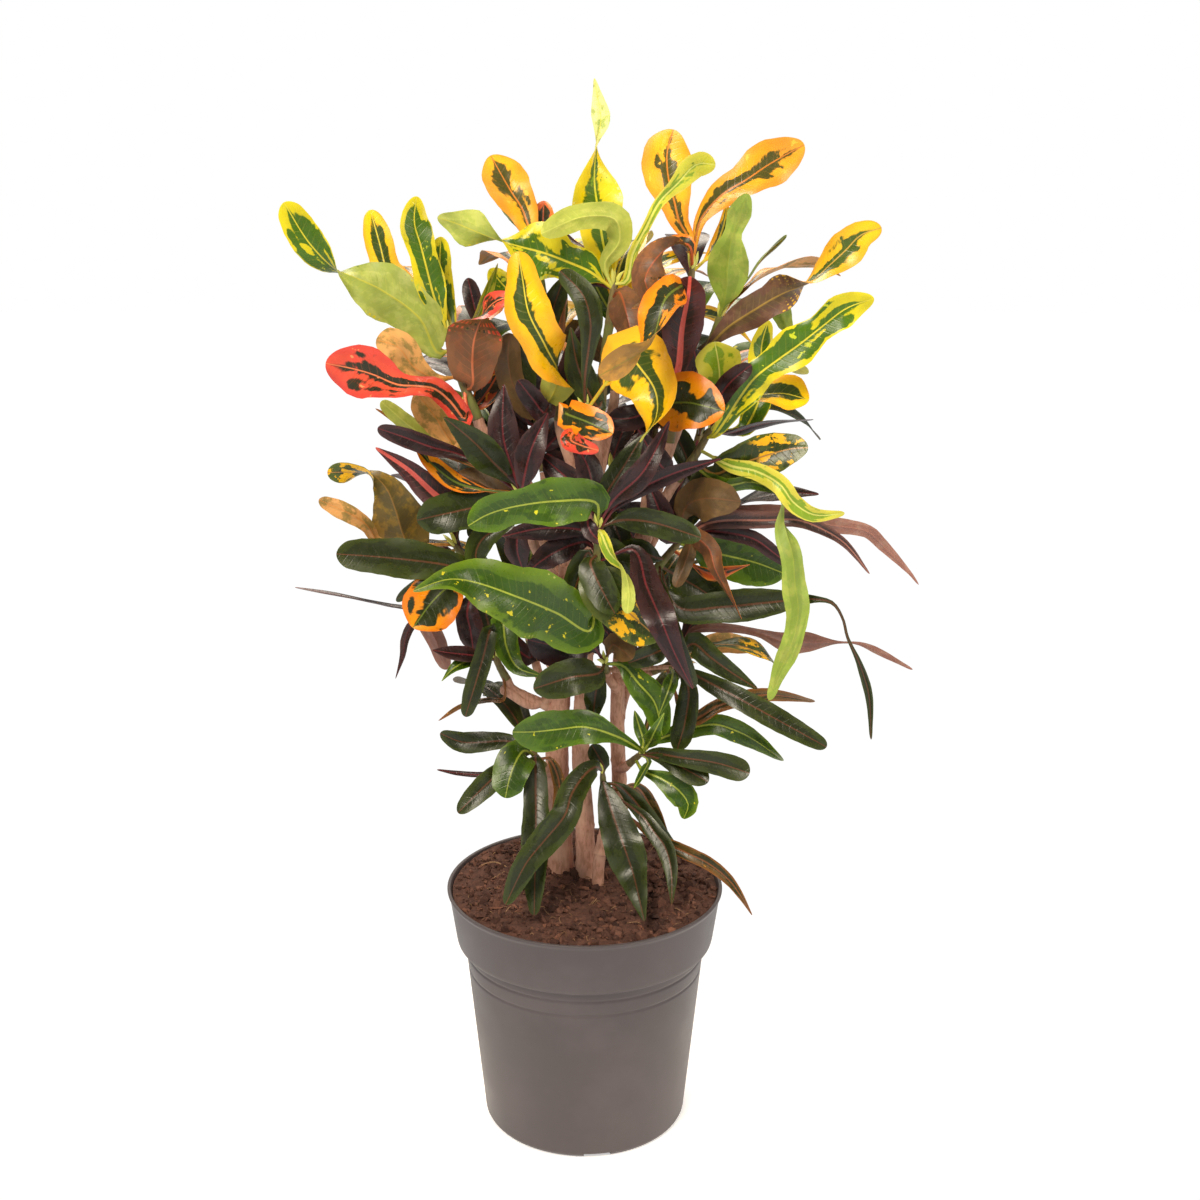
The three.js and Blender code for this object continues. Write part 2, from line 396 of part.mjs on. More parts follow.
      [-46, 297, -53, 286, -57, 274, -60, 259]],
    ["needle", "ribbon", 5, 0.02, "maroon", [50, 50], [0, 4, 6],
      [-52, 284, -75, 278, -95, 279, -111, 282]],
    ["shiny_long", "ribbon", 20, 0.05, "dark", [0, 0, 0], [-16, -44, -74],
      [-37, 290, -37, 262, -37, 235, -38, 202, -39, 162]],
    ["grey_thin", "lance", 9, 0.04, "olive", [0, 0], [-10, -14, -18],
      [-26, 290, -19, 268, -25, 244]],
  ]],
  ["shoot_left_knob", "trunk_left", [-58, 5, 352, -63, 4, 362, -68, 2, 374], 3.3, 2.1, 2, 130, 60, [
    ["green_hook", "taper", 18, 0.05, "green", [0, 0], [-2, -16, -28],
      [-60, 398, -58, 380, -50, 363, -32, 356]],
    ["olive_strap", "strap", 14, 0.05, "dark", [0, 0], [-12, -16, -18],
      [-69, 392, -75, 370, -81, 350, -89, 324]],
    ["red_stripe", "lance", 13, 0.04, "maroon", [30, 40], [-4, -20, -26],
      [-74, 370, -82, 372, -100, 374, -112, 376]],
    ["green_thin", "lance", 9, 0.04, "green", [20, 30], [4, 0, -2],
      [-76, 370, -90, 366, -98, 361, -106, 352]],
    ["olive_line", "lance", 8, 0.03, "olive", [50, 55], [2, 6, 8],
      [-60, 338, -72, 337, -92, 332, -109, 321]],
  ]],
  ["shoot_low_front", "trunk_front", [15, -6, 258, 14, -7, 272, 13, -9, 287], 3.0, 2.0, 0, 90, 40, [
    ["left_drop", "ribbon", 21, 0.05, "dark", [0, 0], [-14, -36, -56],
      [8, 284, 0, 278, -10, 262, -15, 245, -30, 225, -45, 205, -61, 171]],
    ["front_drop", "lance", 27, 0.06, "dark", [0, 0], [-14, -50, -80],
      [14, 272, 20, 250, 29, 222, 36, 200, 41, 180, 46, 157]],
    ["right_drop", "lance", 13, 0.04, "dark", [0, 0], [-12, 0, 10],
      [24, 270, 35, 260, 50, 241, 69, 222]],
    ["behind_drop", "lance", 11, 0.04, "olive", [0, 10], [4, 14, 22],
      [38, 268, 50, 252, 63, 231]],
    ["curved_drop", "lance", 13, 0.05, "dark", [0, 0], [-10, -28, -52],
      [42, 246, 52, 232, 61, 219, 66, 200, 67, 171]],
    ["over_rim", "lance", 10, 0.04, "olive", [0, 20], [-6, -14, -22],
      [52, 227, 68, 219, 80, 213, 95, 205, 110, 192, 120, 178, 129, 162]],
    ["thin_drop", "lance", 9, 0.03, "dark", [0, 0], [-18, -44, -62],
      [34, 228, 40, 204, 44, 186, 46, 166]],
    ["small_dark", "oval", 13, 0.04, "dark", [0, 0], [-10, -8, -4],
      [14, 285, 10, 293, 5, 302]],
  ]],
  ["shoot_inner_left", "trunk_left", [-30, 34, 503, -33, 38, 522, -36, 41, 545], 3.4, 2.2, 6, 90, 180, [
    ["inner_out", "lance", 17, 0.06, "maroon", [0, 10], [30, 30, 30], [-36, 520, -52, 535, -72, 541]],
    ["inner_in", "lance", 16, 0.06, "maroon", [0, 0], [28, 22, 15], [-28, 526, -15, 541, -2, 562]],
    ["inner_down", "strap", 15, 0.06, "maroon", [0, 20], [25, 18, 10], [-26, 512, -13, 496, -5, 468]],
    ["inner_up", "lance", 15, 0.06, "maroon", [0, 0], [35, 30, 28], [-40, 545, -49, 566, -61, 592]],
    ["inner_plumb", "lance", 18, 0.06, "maroon", [0, 0], [34, 26, 20], [-40, 524, -50, 542, -54, 568]],
    ["inner_flat", "strap", 16, 0.06, "maroon", [0, 0], [30, 22, 18], [-40, 512, -56, 502, -76, 490]],
    ["inner_across", "lance", 17, 0.06, "maroon", [0, 0], [26, 18, 12], [-26, 522, -12, 512, 4, 508]],
  ]],
  ["shoot_inner_right", "trunk_right", [50, 32, 525, 51, 36, 545, 52, 40, 566], 3.4, 2.2, 5, 90, 180, [
    ["inner_low", "lance", 16, 0.06, "maroon", [0, 0], [25, 20, 15], [46, 541, 34, 521, 19, 497]],
    ["inner_side", "lance", 17, 0.06, "dark", [0, 0], [26, 22, 20], [57, 545, 70, 526, 79, 499]],
    ["inner_high", "lance", 15, 0.06, "maroon", [0, 10], [25, 20, 10], [44, 560, 30, 576, 13, 592]],
    ["inner_drop", "strap", 15, 0.06, "dark", [0, 0], [20, 15, 12], [52, 536, 51, 512, 44, 484]],
    ["inner_olive", "oval", 17, 0.06, "olive", [180, 180], [26, 20, 14], [56, 544, 65, 534, 76, 522]],
    ["inner_wide", "strap", 18, 0.06, "maroon", [0, 0], [28, 22, 14], [46, 552, 32, 548, 16, 548]],
  ]],
  ["shoot_inner_middle", "trunk_middle", [13, 30, 468, 17, 34, 487, 20, 37, 508], 3.4, 2.2, 5, 90, 180, [
    ["inner_left", "lance", 16, 0.06, "dark", [0, 0], [30, 44, 52], [8, 489, -9, 492, -31, 480]],
    ["inner_rise", "lance", 15, 0.06, "maroon", [0, 0], [28, 22, 15], [22, 501, 32, 517, 38, 541]],
    ["inner_right", "strap", 15, 0.06, "maroon", [0, 0], [24, 20, 18], [18, 480, 34, 463, 45, 439]],
    ["inner_tip", "lance", 14, 0.06, "maroon", [0, 0], [25, 20, 12], [12, 496, 2, 513, -9, 532]],
    ["inner_front", "lance", 17, 0.06, "dark", [0, 0], [20, 12, 6], [18, 478, 26, 458, 30, 432]],
    ["inner_reach", "strap", 17, 0.06, "maroon", [0, 0], [28, 24, 20], [24, 482, 44, 478, 66, 468]],
  ]],
  ["shoot_back_left", "trunk_left", [-55, 72, 480, -61, 82, 500, -66, 90, 524], 3.6, 2.2, 7, 125, 95, [
    ["back_rise", "lance", 19, 0.08, "maroon", [0, 0], [60, 50, 44], [-54, 516, -58, 542, -68, 572]],
    ["back_low", "strap", 18, 0.08, "dark", [0, 0], [56, 44, 36], [-50, 500, -62, 484, -84, 462]],
    ["back_side", "lance", 17, 0.08, "olive", [180, 180], [64, 56, 50], [-62, 520, -82, 536, -98, 556]],
  ]],
  ["shoot_back_middle", "trunk_middle", [5, 70, 508, 6, 80, 530, 6, 88, 556], 3.8, 2.2, 7, 90, 100, [
    ["back_rise", "lance", 19, 0.08, "dark", [0, 0], [66, 54, 46], [6, 540, -6, 566, -12, 598]],
    ["back_right", "strap", 18, 0.08, "maroon", [0, 0], [60, 46, 40], [8, 520, 28, 528, 50, 520]],
    ["back_left", "strap", 18, 0.08, "maroon", [0, 0], [60, 46, 40], [0, 516, -20, 530, -44, 536]],
    ["back_low", "lance", 19, 0.08, "dark", [0, 0], [56, 44, 36], [4, 500, 8, 478, 2, 450]],
  ]],
  ["shoot_back_right", "trunk_right", [82, 66, 508, 88, 76, 528, 92, 84, 550], 3.6, 2.2, 7, 78, 85, [
    ["back_rise", "lance", 18, 0.08, "dark", [0, 0], [60, 52, 46], [82, 544, 74, 566, 62, 590]],
    ["back_low", "strap", 18, 0.08, "maroon", [0, 0], [56, 46, 40], [74, 512, 66, 492, 62, 462]],
  ]],
  ["shoot_back_top", "trunk_middle", [22, 36, 562, 25, 46, 590, 27, 54, 622], 3.6, 2.2, 6, 85, 100, [
    ["back_rise", "lance", 18, 0.08, "green", [0, 0], [44, 40, 36], [22, 616, 8, 640, -4, 668]],
    ["back_left", "strap", 19, 0.08, "olive", [180, 180], [38, 30, 24], [16, 590, -2, 606, -20, 612]],
    ["back_right", "lance", 19, 0.08, "maroon", [0, 0], [38, 30, 24], [28, 596, 42, 614, 52, 640]],
    ["back_drop", "strap", 18, 0.08, "dark", [0, 0], [34, 28, 22], [18, 574, 2, 568, -16, 556]],
  ]],
  ["shoot_back_low_left", "trunk_left", [-38, 52, 350, -44, 64, 368, -50, 76, 388], 3.4, 2.2, 6, 125, 80, [
    ["back_rise", "lance", 18, 0.08, "dark", [0, 0], [46, 38, 32], [-38, 388, -34, 412, -40, 438]],
    ["back_side", "strap", 17, 0.08, "maroon", [0, 0], [46, 40, 36], [-40, 370, -58, 382, -80, 388]],
  ]],
  ["shoot_back_low_right", "trunk_right", [42, 56, 352, 48, 66, 370, 54, 76, 390], 3.4, 2.2, 6, 60, 80, [
    ["back_rise", "lance", 18, 0.08, "dark", [0, 0], [50, 42, 36], [48, 392, 52, 414, 62, 436]],
    ["back_side", "strap", 17, 0.08, "maroon", [0, 0], [46, 40, 34], [38, 372, 20, 386, 4, 404]],
  ]],
  ["shoot_back_low_middle", "trunk_middle", [0, 50, 366, 0, 62, 386, 1, 72, 410], 3.4, 2.2, 5, 90, 75, [
    ["back_rise", "lance", 18, 0.08, "maroon", [0, 0], [46, 38, 30], [0, 408, 6, 432, 14, 458]],
    ["back_left", "strap", 18, 0.08, "dark", [0, 0], [40, 32, 26], [-6, 388, -22, 402, -36, 424]],
  ]],
];

const wasm = await Module();
wasm.setup();

const RADIANS = Math.PI / 180;

// Repeatable random numbers from 0 to 1.
function randomSource(seed) {
  let state = seed >>> 0;
  return () => {
    state = (state + 0x6d2b79f5) >>> 0;
    let mixed = Math.imul(state ^ (state >>> 15), 1 | state);
    mixed = (mixed + Math.imul(mixed ^ (mixed >>> 7), 61 | mixed)) ^ mixed;
    return ((mixed ^ (mixed >>> 14)) >>> 0) / 4294967296;
  };
}

// A list's value at a share of the way along it, eased between its entries.
function along(list, share) {
  const place = Math.min(Math.max(share, 0), 1) * (list.length - 1);
  const low = Math.min(Math.floor(place), list.length - 2);
  const part = place - low;
  return list[low] + (list[low + 1] - list[low]) * part * part * (3 - 2 * part);
}

function points3(flat) {
  const found = [];
  for (let i = 0; i < flat.length; i += 3) {
    found.push(new THREE.Vector3(flat[i], flat[i + 1], flat[i + 2]));
  }
  return found;
}

// The point at a depth behind the middle plane that the eye sees at (x, z) on that plane.
function seen(x, z, depth) {
  const scale = (EYE_DISTANCE + depth) / EYE_DISTANCE;
  return new THREE.Vector3(x * scale, depth, EYE_HEIGHT + (z - EYE_HEIGHT) * scale);
}

// A smooth curve through points, read by the distance along its chords.
class Path {
  constructor(points) {
    this.points = points;
    this.marks = [0];
    for (let i = 1; i < points.length; i++) {
      this.marks.push(this.marks[i - 1] + points[i].distanceTo(points[i - 1]));
    }
    this.length = this.marks[points.length - 1];
    this.slopes = points.map((point, i) => {
      const before = Math.max(i - 1, 0);
      const after = Math.min(i + 1, points.length - 1);
      return points[after].clone().sub(points[before]).divideScalar(this.marks[after] - this.marks[before]);
    });
  }

  at(distance) {
    let i = 0;
    while (i < this.points.length - 2 && distance > this.marks[i + 1]) i++;
    const span = this.marks[i + 1] - this.marks[i];
    const u = (distance - this.marks[i]) / span;
    return new THREE.Vector3()
      .addScaledVector(this.points[i], 2 * u ** 3 - 3 * u ** 2 + 1)
      .addScaledVector(this.slopes[i], (u ** 3 - 2 * u ** 2 + u) * span)
      .addScaledVector(this.points[i + 1], 3 * u ** 2 - 2 * u ** 3)
      .addScaledVector(this.slopes[i + 1], (u ** 3 - u ** 2) * span);
  }

  heading(distance) {
    const low = Math.max(distance - 0.5, 0);
    const high = Math.min(distance + 0.5, this.length);
    return this.at(high).sub(this.at(low)).normalize();
  }
}

// A closed mesh's triangles as a solid that can be joined and cut.
function solidOf(geometry) {
  const bare = geometry.clone();
  bare.deleteAttribute("normal");
  bare.deleteAttribute("uv");
  const merged = mergeVertices(bare, 1e-4);
  return new wasm.Manifold(
    new wasm.Mesh({
      numProp: 3,
      vertProperties: new Float32Array(merged.attributes.position.array),
      triVerts: new Uint32Array(merged.index.array),
    }),
  );
}

// A joined solid without edges too short to matter and without the slivers that hold no volume.
function withoutSlivers(joined) {
  const solid = joined.simplify(SHORTEST_EDGE);
  const bodies = solid.decompose().filter((body) => body.volume() > 0.01);
  return bodies.length === 1 ? bodies[0] : solid;
}

function geometryOf(solid) {
  const mesh = solid.getMesh();
  const geometry = new THREE.BufferGeometry();
  geometry.setAttribute("position", new THREE.BufferAttribute(mesh.vertProperties, 3));
  geometry.setIndex(new THREE.BufferAttribute(mesh.triVerts, 1));
  geometry.computeVertexNormals();
  return geometry;
}

// A round stem: a cylinder's vertices laid along a path, tapering from one radius to another.
function stemSolid(path, startRadius, endRadius, sides) {
  const steps = Math.max(2, Math.round(path.length / 42));
  const geometry = new THREE.CylinderGeometry(1, 1, 1, sides, steps);
  const position = geometry.attributes.position;
  for (let i = 0; i < position.count; i++) {
    const share = position.getY(i) + 0.5;
    const centre = path.at(share * path.length);
    const heading = path.heading(share * path.length);
    const across = new THREE.Vector3(0, 1, 0).cross(heading).normalize();
    const other = heading.clone().cross(across);
    const radius = startRadius + (endRadius - startRadius) * share;
    centre.addScaledVector(other, position.getX(i) * radius);
    centre.addScaledVector(across, position.getZ(i) * radius);
    position.setXYZ(i, centre.x, centre.y, centre.z);
  }
  return solidOf(geometry);
}

// One blade: its midrib path, where it opens, its outline, and how it is turned.
class Blade {
  constructor({ points, form, width, wave, rolls, phase, facing, most = MOST_SEGMENTS }) {
    this.path = new Path(points);
    this.opening = 0.5 * this.path.marks[1];
    this.shape = FORMS[form];
    this.half = (WIDENING * width) / 2;
    this.wave = RIPPLING * wave;
    this.rolls = rolls;
    this.phase = phase;
    this.facing = facing;
    this.most = most;
    this.spread = this.path.length - this.opening;
    this.round = Math.min(0.3, (0.9 * this.half * this.shape[6]) / this.spread + 0.02);
    this.ripples = (this.spread / 100) * 2.3 * 2 * Math.PI;
  }

  halfWidth(distance) {
    if (distance <= this.opening) return PETIOLE;
    const share = (distance - this.opening) / this.spread;
    const past = Math.max(0, (share - 1 + this.round) / this.round);
    const body = this.half * along(this.shape, share) * Math.sqrt(Math.max(0, 1 - past * past));
    const frill = 1 + 0.4 * this.wave * Math.sin(this.ripples * share + this.phase);
    return Math.max(PETIOLE * (1 - past), body * frill, 0.4);
  }

  // The directions across the blade and out of its upper face.
  frame(distance) {
    const centre = this.path.at(distance);
    const heading = this.path.heading(distance);
    const facing = this.facing(centre, heading);
    const up = facing.addScaledVector(heading, -facing.dot(heading)).normalize();
    const side = heading.clone().cross(up);
    const share = Math.max(0, distance - this.opening) / this.spread;
    const sway = SWAY * share * Math.sin(this.phase + 4.4 * share);
    const roll = (along(this.rolls, share) + sway) * RADIANS;
    const turnedUp = up.clone().multiplyScalar(Math.cos(roll)).addScaledVector(side, Math.sin(roll));
    const turnedSide = side.multiplyScalar(Math.cos(roll)).addScaledVector(up, -Math.sin(roll));
    return { centre, side: turnedSide, up: turnedUp, share };
  }

  // The middle surface's point at a distance along and -1 to 1 across.
  surface(distance, across) {
    const { centre, side, up, share } = this.frame(distance);
    const half = this.halfWidth(distance);
    const fade = Math.sin(Math.PI * Math.min(1, share * 1.6)) ** 2;
    const ripple = Math.sin(this.ripples * share + this.phase + (across > 0 ? 1.9 : 0));
    const lift = half * this.wave * ripple * across * across * Math.max(fade, 0.35);
    return centre.addScaledVector(side, half * across).addScaledVector(up, lift);
  }

  samples() {
    if (!this.sampled) {
      this.sampled = [];
      const steps = Math.max(3, Math.ceil(this.path.length / 5.5));
      for (let i = 2; i <= steps; i++) {
        const distance = (this.path.length * i) / steps;
        const parts = Math.max(1, Math.ceil(this.halfWidth(distance) / 2.8));
        for (let j = 0; j <= parts; j++) {
          this.sampled.push({ at: this.surface(distance, (2 * j) / parts - 1), reach: i / steps });
        }
      }
    }
    return this.sampled;
  }

  // The distances of the rings: even steps, and one more wherever the blade turns over quickly.
  stations() {
    const segments = Math.min(this.most, Math.max(3, Math.round(this.spread / SEGMENT_LENGTH)));
    const blunt = this.shape[6] > 0.3;
    const last = this.path.length - (blunt ? 0.45 * this.spread * this.round : 0);
    const stations = this.opening > SHORT_PETIOLE ? [0, this.opening] : [0];
    for (let i = 1; i <= segments; i++) {
      stations.push(this.opening + ((last - this.opening) * i) / segments);
    }
    if (blunt) stations.push(this.path.length);
    let i = 1;
    while (i < stations.length) {
      const [before, after] = [stations[i - 1], stations[i]];
      const turn = this.frame(before).up.angleTo(this.frame(after).up);
      const quick = turn > QUICK_TURN * RADIANS && after - before > 4;
      if (quick) stations.splice(i, 0, (before + after) / 2);
      else i++;
    }
    return stations;
  }

  // A thin solid: rings of points across the blade, joined alike on the upper and the lower face.
  solid() {
    const stations = this.stations();
    const flat = [];
    for (const distance of stations) {
      const { up } = this.frame(distance);
      const left = this.surface(distance, -1);
      const right = this.surface(distance, 1);
      for (const [edge, face] of [[left, 0.5], [right, 0.5], [right, -0.5], [left, -0.5]]) {
        const point = edge.clone().addScaledVector(up, face * THICKNESS);
        flat.push(point.x, point.y, point.z);
      }
    }
    // Each ring holds the upper left, upper right, lower right and lower left points.
    const triangles = [];
    const quad = (a, b, c, d) => triangles.push(a, b, c, a, c, d);
    const end = (stations.length - 1) * 4;
    quad(0, 3, 2, 1);
    quad(end, end + 1, end + 2, end + 3);
    for (let here = 0; here < end; here += 4) {
      const next = here + 4;
      quad(here, here + 1, next + 1, next);
      quad(here + 1, here + 2, next + 2, next + 1);
      quad(here + 3, next + 3, next + 2, here + 2);
      quad(here, next, next + 3, here + 3);
    }
    return new wasm.Manifold(
      new wasm.Mesh({
        numProp: 3,
        vertProperties: new Float32Array(flat),
        triVerts: new Uint32Array(triangles),
      }),
    );
  }
}

const EYE = new THREE.Vector3(0, -EYE_DISTANCE, EYE_HEIGHT);
const stems = new Map(SHOOTS.map(([name, , flat]) => [name, new Path(points3(flat))]));
const blades = new Map(SHOOTS.map(([name]) => [name, []]));

// The trunks' axes and their branches', each branch's end squared to the shoot that sits on it.
const limbs = TRUNKS.map(([name, axis, footRadius, topRadius, branches]) => {
  const parts = [{ path: new Path(points3(axis)), start: footRadius, end: topRadius }];
  for (const [shoot, way] of branches) {
    const stem = stems.get(shoot);
    const heading = stem.heading(0);
    const seat = stem.at(0);
    const radius = SHOOTS.find(([other]) => other === shoot)[3];
    const points = [
      ...points3(way),
      seat.clone().addScaledVector(heading, -9),
      seat.clone().addScaledVector(heading, -SEAT_GAP),
    ];
    parts.push({ path: new Path(points), start: Math.max(radius, radius * 0.6 + 1.9), end: radius });
  }
  return { name, parts };
});

// Round spots along every trunk, branch and stem that a blade keeps clear of.
const spots = [];
function addSpots(owner, path, start, end) {
  const steps = Math.ceil(path.length / 4);
  for (let i = 0; i <= steps; i++) {
    const at = path.at((path.length * i) / steps);
    spots.push({ owner, at, radius: start + ((end - start) * i) / steps });
  }
}
for (const { name, parts } of limbs) {
  for (const { path, start, end } of parts) addSpots(name, path, start, end);
}
for (const [name, , , start, end] of SHOOTS) addSpots(name, stems.get(name), start, end);

// How high a blade has to stay over the soil and the rim.
function ground(radius) {
  if (radius > RIM_RADIUS + 7) return 0;
  return radius > 96 ? RIM_HEIGHT + 4 : SOIL_EDGE + SOIL_MOUND + 3;
}

// Whether a blade keeps clear of the soil, of the other stems and of the blades laid before it.
function isClear(blade, shoot, trunk) {
  const box = new THREE.Box3().setFromPoints(blade.samples().map((sample) => sample.at));
  blade.box = box.clone().expandByScalar(2 * CLEARANCE);
  for (const { at } of blade.samples()) {
    if (at.z < ground(Math.hypot(at.x, at.y))) return false;
  }
  for (const { owner, at, radius } of spots) {
    if (owner === shoot || !blade.box.containsPoint(at)) continue;
    const limit = radius + (owner === trunk ? 0.6 * STEM_CLEARANCE : STEM_CLEARANCE);
    if (blade.samples().some((sample) => sample.at.distanceTo(at) < limit)) return false;
  }
  for (const [owner, laid] of blades) {
    const same = owner === shoot;
    const limit = same ? CLEARANCE : 2 * CLEARANCE;
    for (const other of laid) {
      if (!other.box.intersectsBox(box)) continue;
      const near = same ? other.samples().filter((sample) => sample.reach > 0.4) : other.samples();
      const own = same ? blade.samples().filter((sample) => sample.reach > 0.4) : blade.samples();
      if (own.some((mine) => near.some((sample) => sample.at.distanceTo(mine.at) < limit))) return false;
    }
  }
  return true;
}

// The place on a shoot's stem that a blade seen from a point grows from, no two leaving it at one height.
function rootOn(stem, point, phase) {
  let best = 0;
  for (let i = 0; i <= 40; i++) {
    const distance = (stem.length * i) / 40;
    if (stem.at(distance).distanceTo(point) < stem.at(best).distanceTo(point)) best = distance;
  }
  const nearest = Math.min(Math.max(best, 0.3 * stem.length + 4), stem.length - 1);
  return stem.at(nearest - 8 * ((0.618 * phase) % 1));
}

// A blade of the front, bent towards the eye or away from it where it would meet another.
function layShown(row, shoot, trunk, phase) {
  const [, form, width, wave, , rolls, depths, flat] = row;
  const stem = stems.get(shoot);
  const count = flat.length / 2;
  for (const bend of BENDS) {
    const points = [];
    for (let i = 0; i < count; i++) {
      const depth = along(depths, i / (count - 1)) + bend * Math.min(1, 0.3 + (1.4 * i) / (count - 1));
      points.push(seen(flat[2 * i], flat[2 * i + 1], depth));
    }
    points.unshift(rootOn(stem, points[0], phase));
    const facing = (centre) => EYE.clone().sub(centre).normalize();
    const blade = new Blade({ points, form, width, wave, rolls, phase, facing });
    if (isClear(blade, shoot, trunk)) return blade;
  }
  return undefined;
}

// A blade by rule: it leaves the stem at a bearing, rises, arches over and droops.
function drawnBlade(stem, share, bearing, reach, random) {
  const rise = 12 + 48 * share + 22 * random();
  const droop = 50 + 55 * random();
  const length = (92 + 52 * random()) * (1.08 - 0.3 * share) * reach;
  const drift = 50 * (random() - 0.5);
  const turn = 60 * (random() - 0.5);
  const form = ["strap", "spoon", "lance", "oval", "strap"][Math.floor(5 * random())];
  const width = 17 + 13 * random();
  const phase = 6.28 * random();
  const points = [stem.at(share * stem.length)];
  const steps = 5;
  for (let i = 0; i < steps; i++) {
    const part = (i + 0.5) / steps;
    const pitch = (rise - droop * part ** 1.3) * RADIANS;
    const yaw = (bearing + drift * part) * RADIANS;
    const step = new THREE.Vector3(
      Math.cos(pitch) * Math.cos(yaw),
      Math.cos(pitch) * Math.sin(yaw),
      Math.sin(pitch),
    );
    points.push(points[i].clone().addScaledVector(step, length / steps));
  }
  const yaw = bearing * RADIANS;
  const flatSide = new THREE.Vector3(Math.sin(yaw), -Math.cos(yaw), 0);
  const facing = (centre, heading) => flatSide.clone().cross(heading);
  return new Blade({ points, form, width, wave: 0.12, rolls: [0, 0.4 * turn, turn], phase, facing, most: 3 });
}

let phase = 0;
for (const [shoot, trunk, , , , , , , rows] of SHOOTS) {
  for (const row of rows) {
    phase += 2.4;
    const blade = layShown(row, shoot, trunk, phase);
    if (blade) blades.get(shoot).push(blade);
  }
}
const random = randomSource(41);
for (const [shoot, trunk, , , , more, centre, spread] of SHOOTS) {
  const stem = stems.get(shoot);
  for (let i = 0; i < more; i++) {
    const share = 0.3 + (0.68 * (i + 0.5)) / more;
    for (let attempt = 0; attempt < 40; attempt++) {
      const bearing = centre + spread * (2 * ((i * 0.618 + attempt * 0.377) % 1) - 1);
      const blade = drawnBlade(stem, share, bearing, 1 - 0.011 * attempt, random);
      if (isClear(blade, shoot, trunk)) {
        blades.get(shoot).push(blade);
        break;
      }
    }
  }
}

const plant = new THREE.Group();

function addPiece(name, solid, colour, roughness) {
  const material = new THREE.MeshStandardMaterial({ color: colour, roughness, metalness: 0 });
  const mesh = new THREE.Mesh(geometryOf(solid), material);
  mesh.name = name;
  plant.add(mesh);
}

function lathe(profile) {
  return solidOf(new THREE.LatheGeometry(profile.map(([r, z]) => new THREE.Vector2(r, z)), POT_FACETS)
    .rotateX(Math.PI / 2));
}

// The pot's outer radius between its foot and its collar.
function wallRadius(z) {
  return FOOT_RADIUS + ((NECK_RADIUS - FOOT_RADIUS) * (z - 4)) / (COLLAR_FOOT - 4);
}

const grooves = GROOVES.flatMap((z) => [
  [wallRadius(z - 1.6), z - 1.6],
  [wallRadius(z) - GROOVE_DEPTH, z],
  [wallRadius(z + 1.6), z + 1.6],
]);
const potProfile = [
  [0, 0],
  [FOOT_RADIUS - 5, 0],
  [FOOT_RADIUS - 1.4, 1.2],
  [FOOT_RADIUS, 4],
  ...grooves,
  [NECK_RADIUS, COLLAR_FOOT],
  [COLLAR_RADIUS - 0.7, COLLAR_FOOT + 3],
  [COLLAR_RADIUS, COLLAR_FOOT + 5.5],
  [RIM_RADIUS - 1.6, RIM_HEIGHT - 4],
  [RIM_RADIUS, RIM_HEIGHT - 1.6],
  [RIM_RADIUS, RIM_HEIGHT],
  [RIM_RADIUS - 2.6, RIM_HEIGHT],
  [RIM_RADIUS - 3.6, RIM_HEIGHT - 4],
  [COLLAR_RADIUS - 2, COLLAR_FOOT + 5.5],
  [NECK_RADIUS - WALL, COLLAR_FOOT],
  [FOOT_RADIUS - WALL, 6],
  [FOOT_RADIUS - 4, FLOOR],
  [0, FLOOR],
];
let pot = lathe(potProfile);
for (let i = 0; i < SLOT_COUNT; i++) {
  const slot = new THREE.BoxGeometry(SLOT_WIDTH, 16, 2 * SLOT_HEIGHT);
  slot.translate(0, -(FOOT_RADIUS + 1), 0);
  slot.rotateZ((2 * Math.PI * i) / SLOT_COUNT + SLOT_BEARING);
  pot = pot.subtract(solidOf(slot));
}
addPiece("pot", pot, POT_COLOUR, 0.55);

const soilProfile = [
  [0, FLOOR + SEAT_GAP],
  [FOOT_RADIUS - 4.6, FLOOR + SEAT_GAP],
  [FOOT_RADIUS - WALL - 0.5, 6.3],
  [NECK_RADIUS - WALL - 0.5, COLLAR_FOOT + 0.4],
  [COLLAR_RADIUS - 2.6, COLLAR_FOOT + 5.7],
  [RIM_RADIUS - 4.6, SOIL_EDGE],
  [72, SOIL_EDGE + 0.5 * SOIL_MOUND],
  [40, SOIL_EDGE + 0.85 * SOIL_MOUND],
  [0, SOIL_EDGE + SOIL_MOUND],
];
const soilGeometry = new THREE.LatheGeometry(
  soilProfile.map(([r, z]) => new THREE.Vector2(r, z)),
  POT_FACETS,
).rotateX(Math.PI / 2);
const soilPosition = soilGeometry.attributes.position;
for (let i = 0; i < soilPosition.count; i++) {
  const x = soilPosition.getX(i);
  const y = soilPosition.getY(i);
  const z = soilPosition.getZ(i);
  if (z < SOIL_EDGE - 1) continue;
  const inner = Math.min(1, (RIM_RADIUS - 5 - Math.hypot(x, y)) / 14);
  const lumps = 0.8 * inner * Math.sin(x / 9 + 1) * Math.sin(y / 11 + 2);
  soilPosition.setZ(i, z + (SOIL_SLOPE * y) / 100 + lumps);
}
let soil = solidOf(soilGeometry);
for (const { parts } of limbs) {
  const { path, start, end } = parts[0];
  const down = path.heading(0);
  const hole = new Path([path.points[0].clone().addScaledVector(down, -SEAT_GAP), ...path.points.slice(1)]);
  soil = soil.subtract(stemSolid(hole, start + 0.5, end + 0.5, TRUNK_SIDES));
}
addPiece("soil", soil, SOIL_COLOUR, 0.95);

for (const { name, parts } of limbs) {
  const solids = parts.map(({ path, start, end }, i) => {
    return stemSolid(path, start, end, i ? STEM_SIDES : TRUNK_SIDES);
  });
  addPiece(name, wasm.Manifold.union(solids), BARK_COLOUR, 0.85);
}

